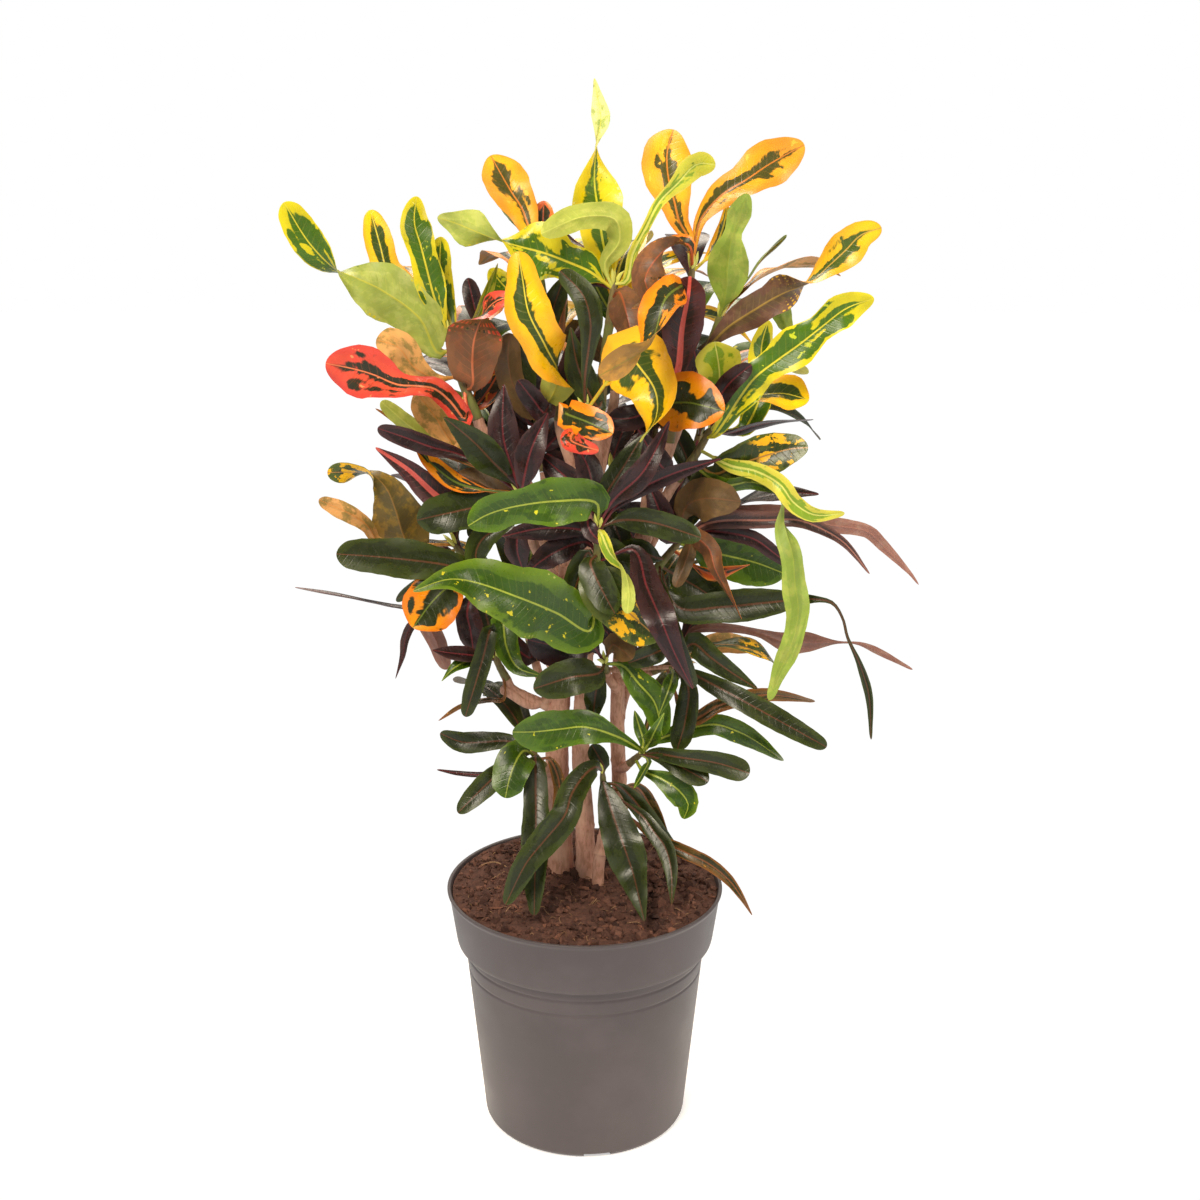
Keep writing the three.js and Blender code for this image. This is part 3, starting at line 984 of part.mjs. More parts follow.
for (const [shoot, , , start, end, , , , rows] of SHOOTS) {
  const stem = stemSolid(stems.get(shoot), start, end, STEM_SIDES);
  const solids = blades.get(shoot).map((blade) => blade.solid());
  const colour = new THREE.Color(0, 0, 0);
  const names = rows.length ? rows.map((row) => row[4]) : ["dark", "maroon", "yellow"];
  for (const name of names) colour.add(new THREE.Color(COLOURS[name]).multiplyScalar(1 / names.length));
  addPiece(shoot, withoutSlivers(wasm.Manifold.union([stem, ...solids])), colour, 0.4);
}

export default plant;
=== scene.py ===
"""A croton in its nursery pot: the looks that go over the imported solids.

Every length in the tables is in millimetres, in the frame of the solids: +Z up along the pot's axis,
front towards -Y. The leaves are laid by the same table and the same rule as the solids' blades, so each
fine leaf lies where its plain blade is. Meshes are written in metres.
"""

import logging
import math
from dataclasses import dataclass
from enum import Enum
from typing import Any, Callable, Sequence

import bpy
import numpy as np
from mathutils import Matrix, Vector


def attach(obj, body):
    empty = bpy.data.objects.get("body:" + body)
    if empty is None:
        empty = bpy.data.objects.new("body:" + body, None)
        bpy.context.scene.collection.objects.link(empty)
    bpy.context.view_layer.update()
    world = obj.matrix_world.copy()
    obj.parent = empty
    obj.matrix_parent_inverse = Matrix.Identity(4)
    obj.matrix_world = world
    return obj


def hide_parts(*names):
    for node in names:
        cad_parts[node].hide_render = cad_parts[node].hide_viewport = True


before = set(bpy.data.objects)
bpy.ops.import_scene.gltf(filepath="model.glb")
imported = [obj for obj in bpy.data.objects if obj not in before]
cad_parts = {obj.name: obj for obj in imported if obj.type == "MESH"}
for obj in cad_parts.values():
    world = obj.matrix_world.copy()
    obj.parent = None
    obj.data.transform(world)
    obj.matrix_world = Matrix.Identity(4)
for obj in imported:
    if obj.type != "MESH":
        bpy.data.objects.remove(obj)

Array = np.ndarray
Socket = bpy.types.NodeSocket
Facing = Callable[[Array, Array], Array]
Reader = Callable[[Sequence[float], Array], Array]
Draw = Callable[[], float]

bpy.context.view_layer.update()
log = logging.getLogger("croton")

MM = 0.001

# The camera: the eye's place, the degrees it looks down, its lens, its shift and the width of its sensor.
EYE = np.array([0.0, -1174.0, 743.0])
LENS_PITCH = 15.64
LENS = 50.1
LENS_SHIFT = 0.0127
SENSOR = 36.0

# The pot's rim; the soil's height at its edge, its mound and its climb in 100 mm; and the gap between a
# branch's end and the shoot on it.
RIM_HEIGHT = 189.5
RIM_RADIUS = 105.0
SOIL_EDGE = 186.4
SOIL_MOUND = 6.0
SOIL_SLOPE = 1.6
SEAT_GAP = 0.3

# Blades: half the petiole's width, what the rows' widths and waves are multiplied by, the slow sway in
# degrees, and the ripples in 100 mm.
PETIOLE = 1.5
WIDENING = 1.07
RIPPLING = 1.5
SWAY = 24.0
RIPPLES = 2.3

# How a blade finds its place: the steps between its samples along and across, how far samples keep apart
# in one shoot (twice that between shoots) and from stems, the steps between the stems' round spots, and
# the share near the root that is let off.
SAMPLE_STEP = 5.5
SAMPLE_WIDTH = 2.8
CLEARANCE = 3.3
STEM_CLEARANCE = 3.4
SPOT_STEP = 4
LET_OFF = 0.4

# Where the soil gives way to the rim, and the room over the soil, over the rim and beside the pot.
SOIL_REACH = 96
SOIL_ROOM = 3
RIM_ROOM = 4
POT_ROOM = 7

# What each blade's phase adds to the last one's, the bends tried in turn, in millimetres, the tries of a
# blade by rule, and the golden share, which spreads turns evenly.
PHASE_STEP = 2.4
BENDS = [0, -8, 8, -16, 16, -26, 26, -38, 38, -52, 52, -68, 68, -86, 86]
TRIES = 40
GOLDEN = 0.618

# The heights from which a shoot has the colours of the crown's middle and of its top.
MIDDLE_FROM = 440
TOP_FROM = 530

def linear(code: str) -> tuple[float, float, float, float]:
    """A colour such as #a0b0c0 as linear red, green, blue and 1: ((c + 0.055) / 1.055) to the power 2.4."""
    values = [int(code[i : i + 2], 16) / 255 for i in (1, 3, 5)]
    red, green, blue = (v / 12.92 if v <= 0.04045 else ((v + 0.055) / 1.055) ** 2.4 for v in values)
    return red, green, blue, 1.0


def add_node(
    tree: bpy.types.NodeTree,
    kind: str,
    settings: dict[str, Any] | None = None,
    inputs: dict[int | str, Any] | None = None,
) -> bpy.types.Node:
    """Adds a node with its settings, its inputs' values and its links.

    Args:
        tree: the material's nodes.
        kind: the node's type.
        settings: properties by name.
        inputs: values, or the sockets to link from, by input.

    Returns:
        The node.
    """
    node = tree.nodes.new(kind)
    for name, value in (settings or {}).items():
        setattr(node, name, value)
    for key, value in (inputs or {}).items():
        if isinstance(value, Socket):
            tree.links.new(value, node.inputs[key])
        else:
            node.inputs[key].default_value = value
    return node


class Board:
    """A new material's nodes, with the few sums that patterns are made of."""

    def __init__(self, name: str) -> None:
        """Makes an empty material.

        Args:
            name: its name.
        """
        self.material = bpy.data.materials.new(name)
        self.material.use_nodes = True
        self.tree = self.material.node_tree
        self.tree.nodes.clear()

    def add(self, kind: str, settings: dict[str, Any] | None = None, **inputs: Any) -> bpy.types.Node:
        """Adds a node; an input's name is written with underscores, or i0, i1 for its number."""
        known = {
            int(key[1:]) if key[0] == "i" and key[1:].isdigit() else key.replace("_", " "): value
            for key, value in inputs.items()
        }
        return add_node(self.tree, kind, settings, known)

    def sum(self, operation: str, first: Any, second: Any = 0.0, third: Any = 0.0) -> Socket:
        """A sum of two or three numbers."""
        node = self.add("ShaderNodeMath", {"operation": operation}, i0=first, i1=second, i2=third)
        return node.outputs[0]

    def step(self, value: Any, start: Any, end: Any, low: float = 0.0, high: float = 1.0) -> Socket:
        """Eases from low to high as the value goes from start to end."""
        kind = {"interpolation_type": "SMOOTHSTEP"}
        node = self.add("ShaderNodeMapRange", kind, i0=value, i1=start, i2=end, i3=low, i4=high)
        return node.outputs[0]

    def mix(self, share: Any, first: Any, second: Any, blend: str = "MIX") -> Socket:
        """Mixes two colours, each a socket or a code such as #a0b0c0."""
        first, second = (linear(held) if isinstance(held, str) else held for held in (first, second))
        kind = {"data_type": "RGBA", "blend_type": blend, "clamp_factor": True}
        return self.add("ShaderNodeMix", kind, i0=share, i6=first, i7=second).outputs[2]

    def noise(self, vector: Any, scale: float, detail: float = 2.0, roughness: float = 0.5) -> Socket:
        """Soft noise from 0 to 1."""
        inputs = {"Vector": vector, "Scale": scale, "Detail": detail, "Roughness": roughness}
        return self.add("ShaderNodeTexNoise", None, **inputs).outputs[0]

    def vector(self, x: Any, y: Any, z: Any) -> Socket:
        """Three numbers as one vector."""
        return self.add("ShaderNodeCombineXYZ", None, X=x, Y=y, Z=z).outputs[0]

    def read(self, name: str, output: str) -> Socket:
        """One of the piece's own attributes, as the output of that name."""
        return self.add("ShaderNodeAttribute", {"attribute_name": name}).outputs[output]

    def split(self, name: str) -> list[Socket]:
        """The three numbers of one of the piece's own attributes."""
        return list(self.add("ShaderNodeSeparateXYZ", None, i0=self.read(name, "Vector")).outputs)

    def object_place(self) -> Socket:
        """Places in the piece's own axes, in metres."""
        return self.add("ShaderNodeTexCoord").outputs["Object"]

    def stretch(self, place: Socket, height: float) -> Socket:
        """Places with their height multiplied, so that a pattern on them grows or shrinks upwards."""
        return self.add("ShaderNodeMapping", None, Vector=place, Scale=(1.0, 1.0, height)).outputs[0]

    def finish(self, bump: Any, depth: float, **inputs: Any) -> bpy.types.Material:
        """Closes the material: a surface with its inputs, and a height that bends its light.

        Args:
            bump: the height's socket, from 0 to 1.
            depth: what 1 stands for, in millimetres.
            inputs: the surface's inputs, by name.

        Returns:
            The material.
        """
        normal = self.add("ShaderNodeBump", None, Height=bump, Distance=depth * MM).outputs[0]
        shader = self.add("ShaderNodeBsdfPrincipled", None, Normal=normal, **inputs)
        self.add("ShaderNodeOutputMaterial", None, Surface=shader.outputs[0])
        return self.material


class LeafBoard(Board):
    """A leaf material's nodes, with what its patterns share: its places, its own number and its side veins.

    Side veins leave the midrib at even steps and lean towards the tip.
    """

    vein_step = 5.5
    vein_lean = 0.66

    def __init__(self, name: str) -> None:
        """Reads the leaf's attributes and draws its side veins.

        Args:
            name: the material's name.
        """
        super().__init__(name)
        self.span = self.split("span")
        self.place = self.split("place")
        self.under = self.read("under", "Fac")
        self.out = self.sum("ABSOLUTE", self.place[0])
        self.out_mm = self.sum("ABSOLUTE", self.span[0])
        self.seed = self.sum("MULTIPLY", self.span[2], 37.0)
        self.climb = self.sum("MULTIPLY_ADD", self.out_mm, -self.vein_lean, self.span[1])
        beat = self.sum("PINGPONG", self.sum("DIVIDE", self.climb, self.vein_step), 0.5)
        vein = self.step(beat, 0.0, 0.11, 1.0, 0.0)
        self.veins = self.sum("MULTIPLY", vein, self.step(self.out, 0.95, 0.3))
        self.blots = self.spots(7, 10, 3.0, 0.65)

    def spots(self, wide: float, long: float, detail: float = 2.0, roughness: float = 0.5) -> Socket:
        """Noise with spots so many millimetres wide across the leaf and long along it."""
        across, run = self.sum("DIVIDE", self.span[0], wide), self.sum("DIVIDE", self.span[1], long)
        return self.noise(self.vector(across, run, self.seed), 1.0, detail, roughness)


@dataclass(frozen=True)
class LeafFinish:
    """A croton leaf: waxy and glossy over thick tissue, green combed out of the midrib into bright margins.

    The cuticle gives a clear highlight, softened by the tissue that bulges between the side veins.
    """

    margin: str
    centre: str
    rib: str
    rim: str
    patch: str
    under: str
    under_patch: str
    centre_width: float = 0.5
    comb: float = 0.45
    patches: float = 0.0
    patch_from: float = -1.0
    veins: float = 0.1
    rim_width: float = 1.0
    rib_width: float = 0.9
    gloss: float = 0.29

    def _core(self, board: LeafBoard) -> Socket:
        """Where the centre's colour is: from the midrib along the veins, more here and less there.

        Args:
            board: the material's nodes.

        Returns:
            1 in the centre and 0 outside it, with a soft ragged border between.
        """
        far, along_leaf = board.place[0], board.place[1]
        row = board.sum("DIVIDE", board.climb, 9.0)
        teeth = board.noise(board.vector(row, far, board.seed), 1.0, 4.0, 0.6)
        slow = board.noise(board.vector(along_leaf, board.sum("MULTIPLY", far, 0.45), board.seed), 4.0, 1.0)
        wide = 1.5 * self.centre_width
        width = board.sum("MULTIPLY_ADD", board.step(slow, 0.3, 0.7), wide, 0.25 * self.centre_width)
        limit = board.sum("MULTIPLY_ADD", board.sum("SUBTRACT", teeth, 0.5), 2.6 * self.comb, width)
        limit = board.sum("MULTIPLY", limit, board.step(along_leaf, 1.0, 0.8))
        return board.step(board.sum("SUBTRACT", board.out, limit), 0.09, -0.07)

    def _rib(self, board: LeafBoard) -> Socket:
        """Where the midrib is: it narrows towards the tip by six tenths of its width."""
        slim = board.sum("MULTIPLY_ADD", board.place[1], -0.6 * self.rib_width, self.rib_width)
        return board.step(board.sum("SUBTRACT", board.out_mm, slim), 0.2, -0.25)

    def _upper(self, board: LeafBoard, core: Socket, rib: Socket) -> Socket:
        """The upper face's colour: margin, centre, patches, veins, rim and midrib, each over the last.

        The margin warms to the rim's colour outwards, and in places along the leaf.

        Args:
            board: the material's nodes.
            core: where the centre is.
            rib: where the midrib is.

        Returns:
            The colour.
        """
        drift = board.spots(30, 60)
        outwards = board.step(board.out, 0.45, 1.0)
        warm = board.sum("MULTIPLY_ADD", outwards, 0.3, board.sum("SUBTRACT", drift, 0.35))
        colour = board.mix(board.step(warm, 0.05, 0.5, 0.0, 0.75), self.margin, self.rim)
        colour = board.mix(core, colour, self.centre)
        if self.patches > 0:
            limit = 0.72 - 0.3 * self.patches
            patch = board.step(board.blots, limit, limit + 0.03)
            if self.patch_from > 0:
                start = board.step(board.place[1], self.patch_from, self.patch_from + 0.1)
                patch = board.sum("MULTIPLY", patch, start)
            colour = board.mix(patch, colour, self.patch)
        colour = board.mix(board.sum("MULTIPLY", board.veins, self.veins), colour, self.rib)
        border = board.sum("SUBTRACT", board.place[2], board.out_mm)
        edge = board.step(border, self.rim_width, self.rim_width * 0.4, 0.0, 0.7)
        return board.mix(rib, board.mix(edge, colour, self.rim), self.rib)

    def _lower(self, board: LeafBoard, core: Socket, rib: Socket) -> Socket:
        """The under face's colour: its own two, with the centre, the midrib and the veins showing through.

        Args:
            board: the material's nodes.
            core: where the centre is.
            rib: where the midrib is.

        Returns:
            The colour.
        """
        back = board.mix(board.step(board.blots, 0.46, 0.62, 0.0, 0.8), self.under, self.under_patch)
        back = board.mix(board.sum("MULTIPLY", core, 0.2), back, self.centre)
        veins = board.sum("MULTIPLY", board.veins, 0.12)
        trace = board.sum("MAXIMUM", board.sum("MULTIPLY", rib, 0.5), veins)
        return board.mix(trace, back, self.rib)

    def make(self, name: str) -> bpy.types.Material:
        """Builds the material.

        Args:
            name: its name.

        Returns:
            The material.
        """
        board = LeafBoard(name)
        core, rib = self._core(board), self._rib(board)
        colour = board.mix(board.under, self._upper(board, core, rib), self._lower(board, core, rib))
        own_shade = board.noise(board.vector(board.seed, 0.5, 0.5), 1.0)
        mottle = board.step(board.spots(16, 16), 0.3, 0.7, 0.88, 1.1)
        shade = board.sum("MULTIPLY", board.step(own_shade, 0.3, 0.7, 0.76, 1.04), mottle)
        colour = board.mix(1.0, colour, board.vector(shade, shade, shade), "MULTIPLY")
        bulge = board.sum("MULTIPLY_ADD", board.veins, -0.22, 0.5)
        height = board.sum("MULTIPLY_ADD", board.spots(1.6, 1.6), 0.25, bulge)
        haze = board.step(board.blots, 0.3, 0.7, self.gloss - 0.05, self.gloss + 0.1)
        return board.finish(
            height,
            0.3,
            Base_Color=colour,
            Roughness=board.sum("MULTIPLY_ADD", board.under, 0.16, haze),
            IOR=1.42,
            Subsurface_Weight=0.12,
            Subsurface_Radius=(1.0, 0.8, 0.25),
            Subsurface_Scale=0.0012,
        )


class Palette(Enum):
    """The leaves' colours, in the order margin, centre, rib, rim, patch, under face and its patches."""

    YELLOW = LeafFinish(
        "#f8c408", "#3a4c10", "#d8c43c", "#f0a41a", "#8fa01c", "#bab84c", "#c8bb48",
        centre_width=0.38, comb=0.4,
    )
    GOLDEN = LeafFinish(
        "#ecd008", "#4f7018", "#d6d038", "#e4d440", "#789a1c", "#e4e08c", "#8ea644",
        centre_width=0.3, comb=0.46, patches=0.3,
    )
    ORANGE = LeafFinish(
        "#ffb820", "#54511c", "#d8842e", "#f49834", "#f6c43c", "#e0a45e", "#857636",
        centre_width=0.32, comb=0.5, patches=0.25,
    )
    RED = LeafFinish(
        "#ea5434", "#2e2a14", "#e87c4c", "#d64038", "#f69058", "#744c2e", "#88502e",
        centre_width=0.44, comb=0.5, patches=0.22,
    )
    EMBER = LeafFinish(
        "#cc5426", "#2f3017", "#c05a2a", "#ee861e", "#ea9a28", "#70492d", "#8e5a32",
        centre_width=0.55, comb=0.5, patches=0.25,
    )
    GREEN = LeafFinish(
        "#43600f", "#344f0a", "#98a43a", "#587614", "#ccc622", "#8ca23c", "#a2ac4a",
        centre_width=0.6, patches=0.14,
    )
    DARK = LeafFinish(
        "#313a10", "#262e0b", "#603c24", "#3a4613", "#4e5c1e", "#564a2c", "#645030",
        centre_width=0.6, veins=0.04,
    )
    LIME = LeafFinish(
        "#cccb3c", "#86a426", "#dcdc6c", "#dcd050", "#74901e", "#b2ba4e", "#c8cc5e", comb=0.5, patches=0.16
    )
    OLIVE = LeafFinish(
        "#5e4c22", "#363618", "#8a5632", "#905a28", "#bc8428", "#694e2a", "#7a5c32", patches=0.14
    )
    MAROON = LeafFinish(
        "#321d1d", "#251615", "#682629", "#3e2424", "#442826", "#452e2b", "#573934", veins=0.04
    )
    BANDED = LeafFinish(
        "#4a2624", "#34201c", "#dc6256", "#52292a", "#4c2624", "#452c2a", "#573834", rib_width=2.8
    )
    MAUVE = LeafFinish("#5c403a", "#42302c", "#a87060", "#724e46", "#6e4a44", "#96685a", "#a07c6c")
    RIMMED = LeafFinish(
        "#fe9c06", "#283010", "#6c7a2a", "#f47a14", "#e4ac16", "#9e7434", "#be8a38", patches=0.12
    )
    BLOTCHED = LeafFinish(
        "#486610", "#36540a", "#a4b03e", "#6a861a", "#d6ca1e", "#a4ae4c", "#b4bc58",
        centre_width=0.6, patches=0.28,
    )
    SPOTTED = LeafFinish(
        "#425216", "#323f12", "#b0803a", "#5a641c", "#f8ba08", "#685628", "#9a7828",
        patches=0.72, patch_from=0.5,
    )
    BRONZE = LeafFinish(
        "#f6c418", "#4a5e1a", "#c8a244", "#eca42a", "#ea9e1e", "#68493a", "#7c5a44",
        centre_width=0.4, comb=0.5, patches=0.12,
    )
    EDGED = LeafFinish(
        "#ccc010", "#466a0e", "#d6c834", "#dccc20", "#bcc422", "#a8b44e", "#bcc262",
        centre_width=0.8, comb=0.66, patches=0.24,
    )


@dataclass(frozen=True)
class BarkFinish:
    """Croton bark: dry and dull, split lengthwise, grey-tan over brown, greener where it is young."""

    ridge: str
    crack: str
    patch: str
    roughness: float = 0.78

    def make(self, name: str) -> bpy.types.Material:
        """Builds the material.

        Args:
            name: its name.

        Returns:
            The material.
        """
        board = Board(name)
        place = board.object_place()
        fibre = board.noise(board.stretch(place, 0.3), 520, 4.0, 0.55)
        blot = board.noise(place, 55, 3.0, 0.55)
        dots = board.noise(place, 420, 2.0, 0.5)
        colour = board.mix(board.step(fibre, 0.38, 0.56, 0.35, 1.0), self.crack, self.ridge)
        colour = board.mix(board.step(blot, 0.46, 0.66, 0.0, 0.75), colour, self.patch)
        colour = board.mix(board.step(dots, 0.64, 0.74, 0.0, 0.35), colour, self.crack)
        height = board.sum("MULTIPLY_ADD", dots, 0.3, fibre)
        return board.finish(height, 0.4, Base_Color=colour, Roughness=self.roughness, IOR=1.5)


@dataclass(frozen=True)
class PotFinish:
    """Moulded polypropylene, anthracite: satin, with the mould's fine grain, faint scuffs and pale dust."""

    base: str = "#4a4243"
    dust: str = "#695f60"
    roughness: float = 0.46

    def make(self, name: str) -> bpy.types.Material:
        """Builds the material.

        Args:
            name: its name.

        Returns:
            The material.
        """
        board = Board(name)
        place = board.object_place()
        cloud = board.noise(place, 14, 4.0, 0.6)
        scuff = board.noise(board.stretch(place, 6.0), 60, 5.0, 0.7)
        grain = board.noise(place, 2600, 1.0)
        colour = board.mix(board.step(cloud, 0.4, 0.75, 0.0, 0.35), self.base, self.dust)
        colour = board.mix(board.step(scuff, 0.62, 0.8, 0.0, 0.35), colour, self.dust)
        sheen = board.step(cloud, 0.3, 0.7, self.roughness - 0.06, self.roughness + 0.08)
        return board.finish(grain, 0.05, Base_Color=colour, Roughness=sheen, IOR=1.49)


@dataclass(frozen=True)
class PeatFinish:
    """Potting peat: dark red-brown fibre, matt and damp, each crumb a little lighter or darker."""

    low: str
    high: str
    roughness: float = 0.92

    def make(self, name: str) -> bpy.types.Material:
        """Builds the material.

        Args:
            name: its name.

        Returns:
            The material.
        """
        board = Board(name)
        place = board.object_place()
        own = board.split("span")[2]
        lump = board.noise(place, 160, 5.0, 0.7)
        fine = board.noise(place, 900, 3.0, 0.6)
        share = board.sum("ADD", board.sum("MULTIPLY_ADD", fine, 0.5, lump), own)
        colour = board.mix(board.step(share, 0.4, 1.5), self.low, self.high)
        return board.finish(share, 1.0, Base_Color=colour, Roughness=self.roughness, IOR=1.4)


class Form(Enum):
    """Outlines: half widths at even steps from where a blade opens to its tip, the widest being 1."""

    STRAP = (0.15, 0.62, 0.86, 1, 0.97, 0.86, 0.55)
    SPOON = (0.12, 0.26, 0.5, 0.8, 1, 0.97, 0.6)
    LANCE = (0.14, 0.56, 0.9, 1, 0.84, 0.52, 0.1)
    OVAL = (0.15, 0.66, 0.93, 1, 0.96, 0.82, 0.5)
    TAPER = (0.55, 0.95, 1, 0.9, 0.7, 0.42, 0.12)
    PADDLE = (0.2, 0.45, 0.44, 0.38, 0.74, 1, 0.74)
    FAN = (0.3, 0.5, 0.62, 0.76, 0.9, 1, 0.95)
    RIBBON = (0.45, 0.75, 0.88, 1, 0.9, 0.72, 0.32)
    TAILED = (0.6, 1, 0.95, 0.2, 0.1, 0.3, 0.1)
    LOBED = (0.3, 0.42, 0.36, 1, 0.12, 0.3, 0.12)
    PINCHED = (0.25, 0.75, 1, 0.8, 0.22, 0.36, 0.06)
    RACKET = (0.42, 0.36, 0.34, 0.36, 0.5, 1, 0.9)
    DOUBLE = (0.25, 0.8, 1, 0.88, 0.46, 0.66, 0.36)
    LEAFY = (0.25, 0.78, 1, 0.95, 0.76, 0.46, 0.12)
    SABRE = (0.5, 0.95, 1, 0.9, 0.84, 0.76, 0.46)


RULE_FORMS = (Form.STRAP, Form.SPOON, Form.LANCE, Form.OVAL, Form.STRAP)


@dataclass(frozen=True)
class TrunkRow:
    """A trunk: its axis, its radius at foot and top, and each branch's shoot with the way up to its seat."""

    name: str
    axis: list[float]
    foot: float
    top: float
    branches: list[tuple[str, list[float]]]


@dataclass(frozen=True)
class LeafRow:
    """A leaf with a place of its own: every one that the front shows, and some behind.

    Its depths, along it, lie behind the middle plane, and its midrib's points x, z are those seen on that
    plane. Its rolls, in degrees along it, are 0 where the upper face looks at the eye.
    """

    name: str
    form: Form
    width: float
    wave: float
    palette: Palette
    depths: list[float]
    midrib: list[float]
    rolls: Sequence[float] = (0, 0)


@dataclass(frozen=True)
class ShootRow:
    """A shoot: its trunk, its stem's points, and the stem's radius at foot and top.

    More blades stand on it by rule, round a bearing and spread to each side, in degrees.
    """

    name: str
    trunk: str
    stem: list[float]
    foot: float
    top: float
    more: int
    bearing: float
    spread: float
    leaves: list[LeafRow]


def leaf_row(name: str, form: str, width: float, wave: float, palette: str, *lists: list[float]) -> LeafRow:
    """A leaf's row, with its form and its palette found by their names."""
    return LeafRow(name, Form[form.upper()], width, wave, Palette[palette.upper()], *lists)


TRUNK_ROWS: list[list[Any]] = [
  ["trunk_left", [-16, 22, 140, -20, 20, 230, -21, 16, 300, -15, 12, 380, -12, 11, 440], 11, 6.6, [
    ["shoot_left_high", [-9, 11, 425, -14, 9, 455, -42, 5, 500]],
    ["shoot_left_mid", [-12, 12, 395, -22, 2, 428]],
    ["shoot_left_low", [-15, 14, 345, -36, 20, 375]],
    ["shoot_left_knob", [-16, 15, 320, -34, 10, 332]],
    ["shoot_low_left", [-18, 17, 262, -25, 9, 274]],
    ["shoot_back_left", [-11, 12, 405, -30, 42, 445]],
    ["shoot_back_low_left", [-17, 17, 305, -28, 36, 325]],
    ["shoot_inner_left", [-9, 11, 430, -20, 24, 470]],
  ]],
  ["trunk_middle", [2, 7, 140, 0, 8, 230, -3, 8, 300, 1, 9, 380, 4, 6, 480], 8, 5, [
    ["shoot_top", [4, 6, 468, 7, 4, 510]],
    ["shoot_top_left", [3, 7, 450, -6, 10, 500]],
    ["shoot_centre", [3, 7, 470, 3, -4, 500]],
    ["shoot_front_mid", [1, 9, 372, 3, -2, 392]],
    ["shoot_back_middle", [2, 8, 420, 4, 45, 470]],
    ["shoot_back_top", [4, 6, 474, 14, 20, 522]],
    ["shoot_back_low_middle", [-1, 9, 322, 0, 32, 342]],
    ["shoot_inner_middle", [2, 8, 425, 8, 22, 447]],
  ]],
  ["trunk_right", [30, 36, 140, 28, 30, 230, 25, 20, 300, 25, 15, 350, 32, 12, 410, 44, 8, 470], 6.4, 4.4, [
    ["shoot_top_right", [42, 9, 458, 52, 6, 495]],
    ["shoot_right_high", [43, 8, 462, 62, 14, 525]],
    ["shoot_right_mid", [38, 10, 440, 53, 0, 480]],
    ["shoot_right_low", [29, 13, 385, 37, 5, 412]],
    ["shoot_right_under", [25, 15, 348, 38, 9, 352]],
    ["shoot_stub_mid", [25, 16, 340, 19, 6, 350]],
    ["shoot_low_right", [26, 23, 275, 30, 14, 278]],
    ["shoot_back_right", [36, 11, 430, 62, 42, 472]],
    ["shoot_back_low_right", [25, 18, 318, 33, 40, 334]],
    ["shoot_inner_right", [41, 10, 452, 46, 22, 495]],
  ]],
  ["trunk_front", [12, -9, 150, 10, -9, 195, 14, -9, 235], 5.4, 4, [
    ["shoot_low_front", [12, -9, 218, 15, -7, 242]],
  ]],
]

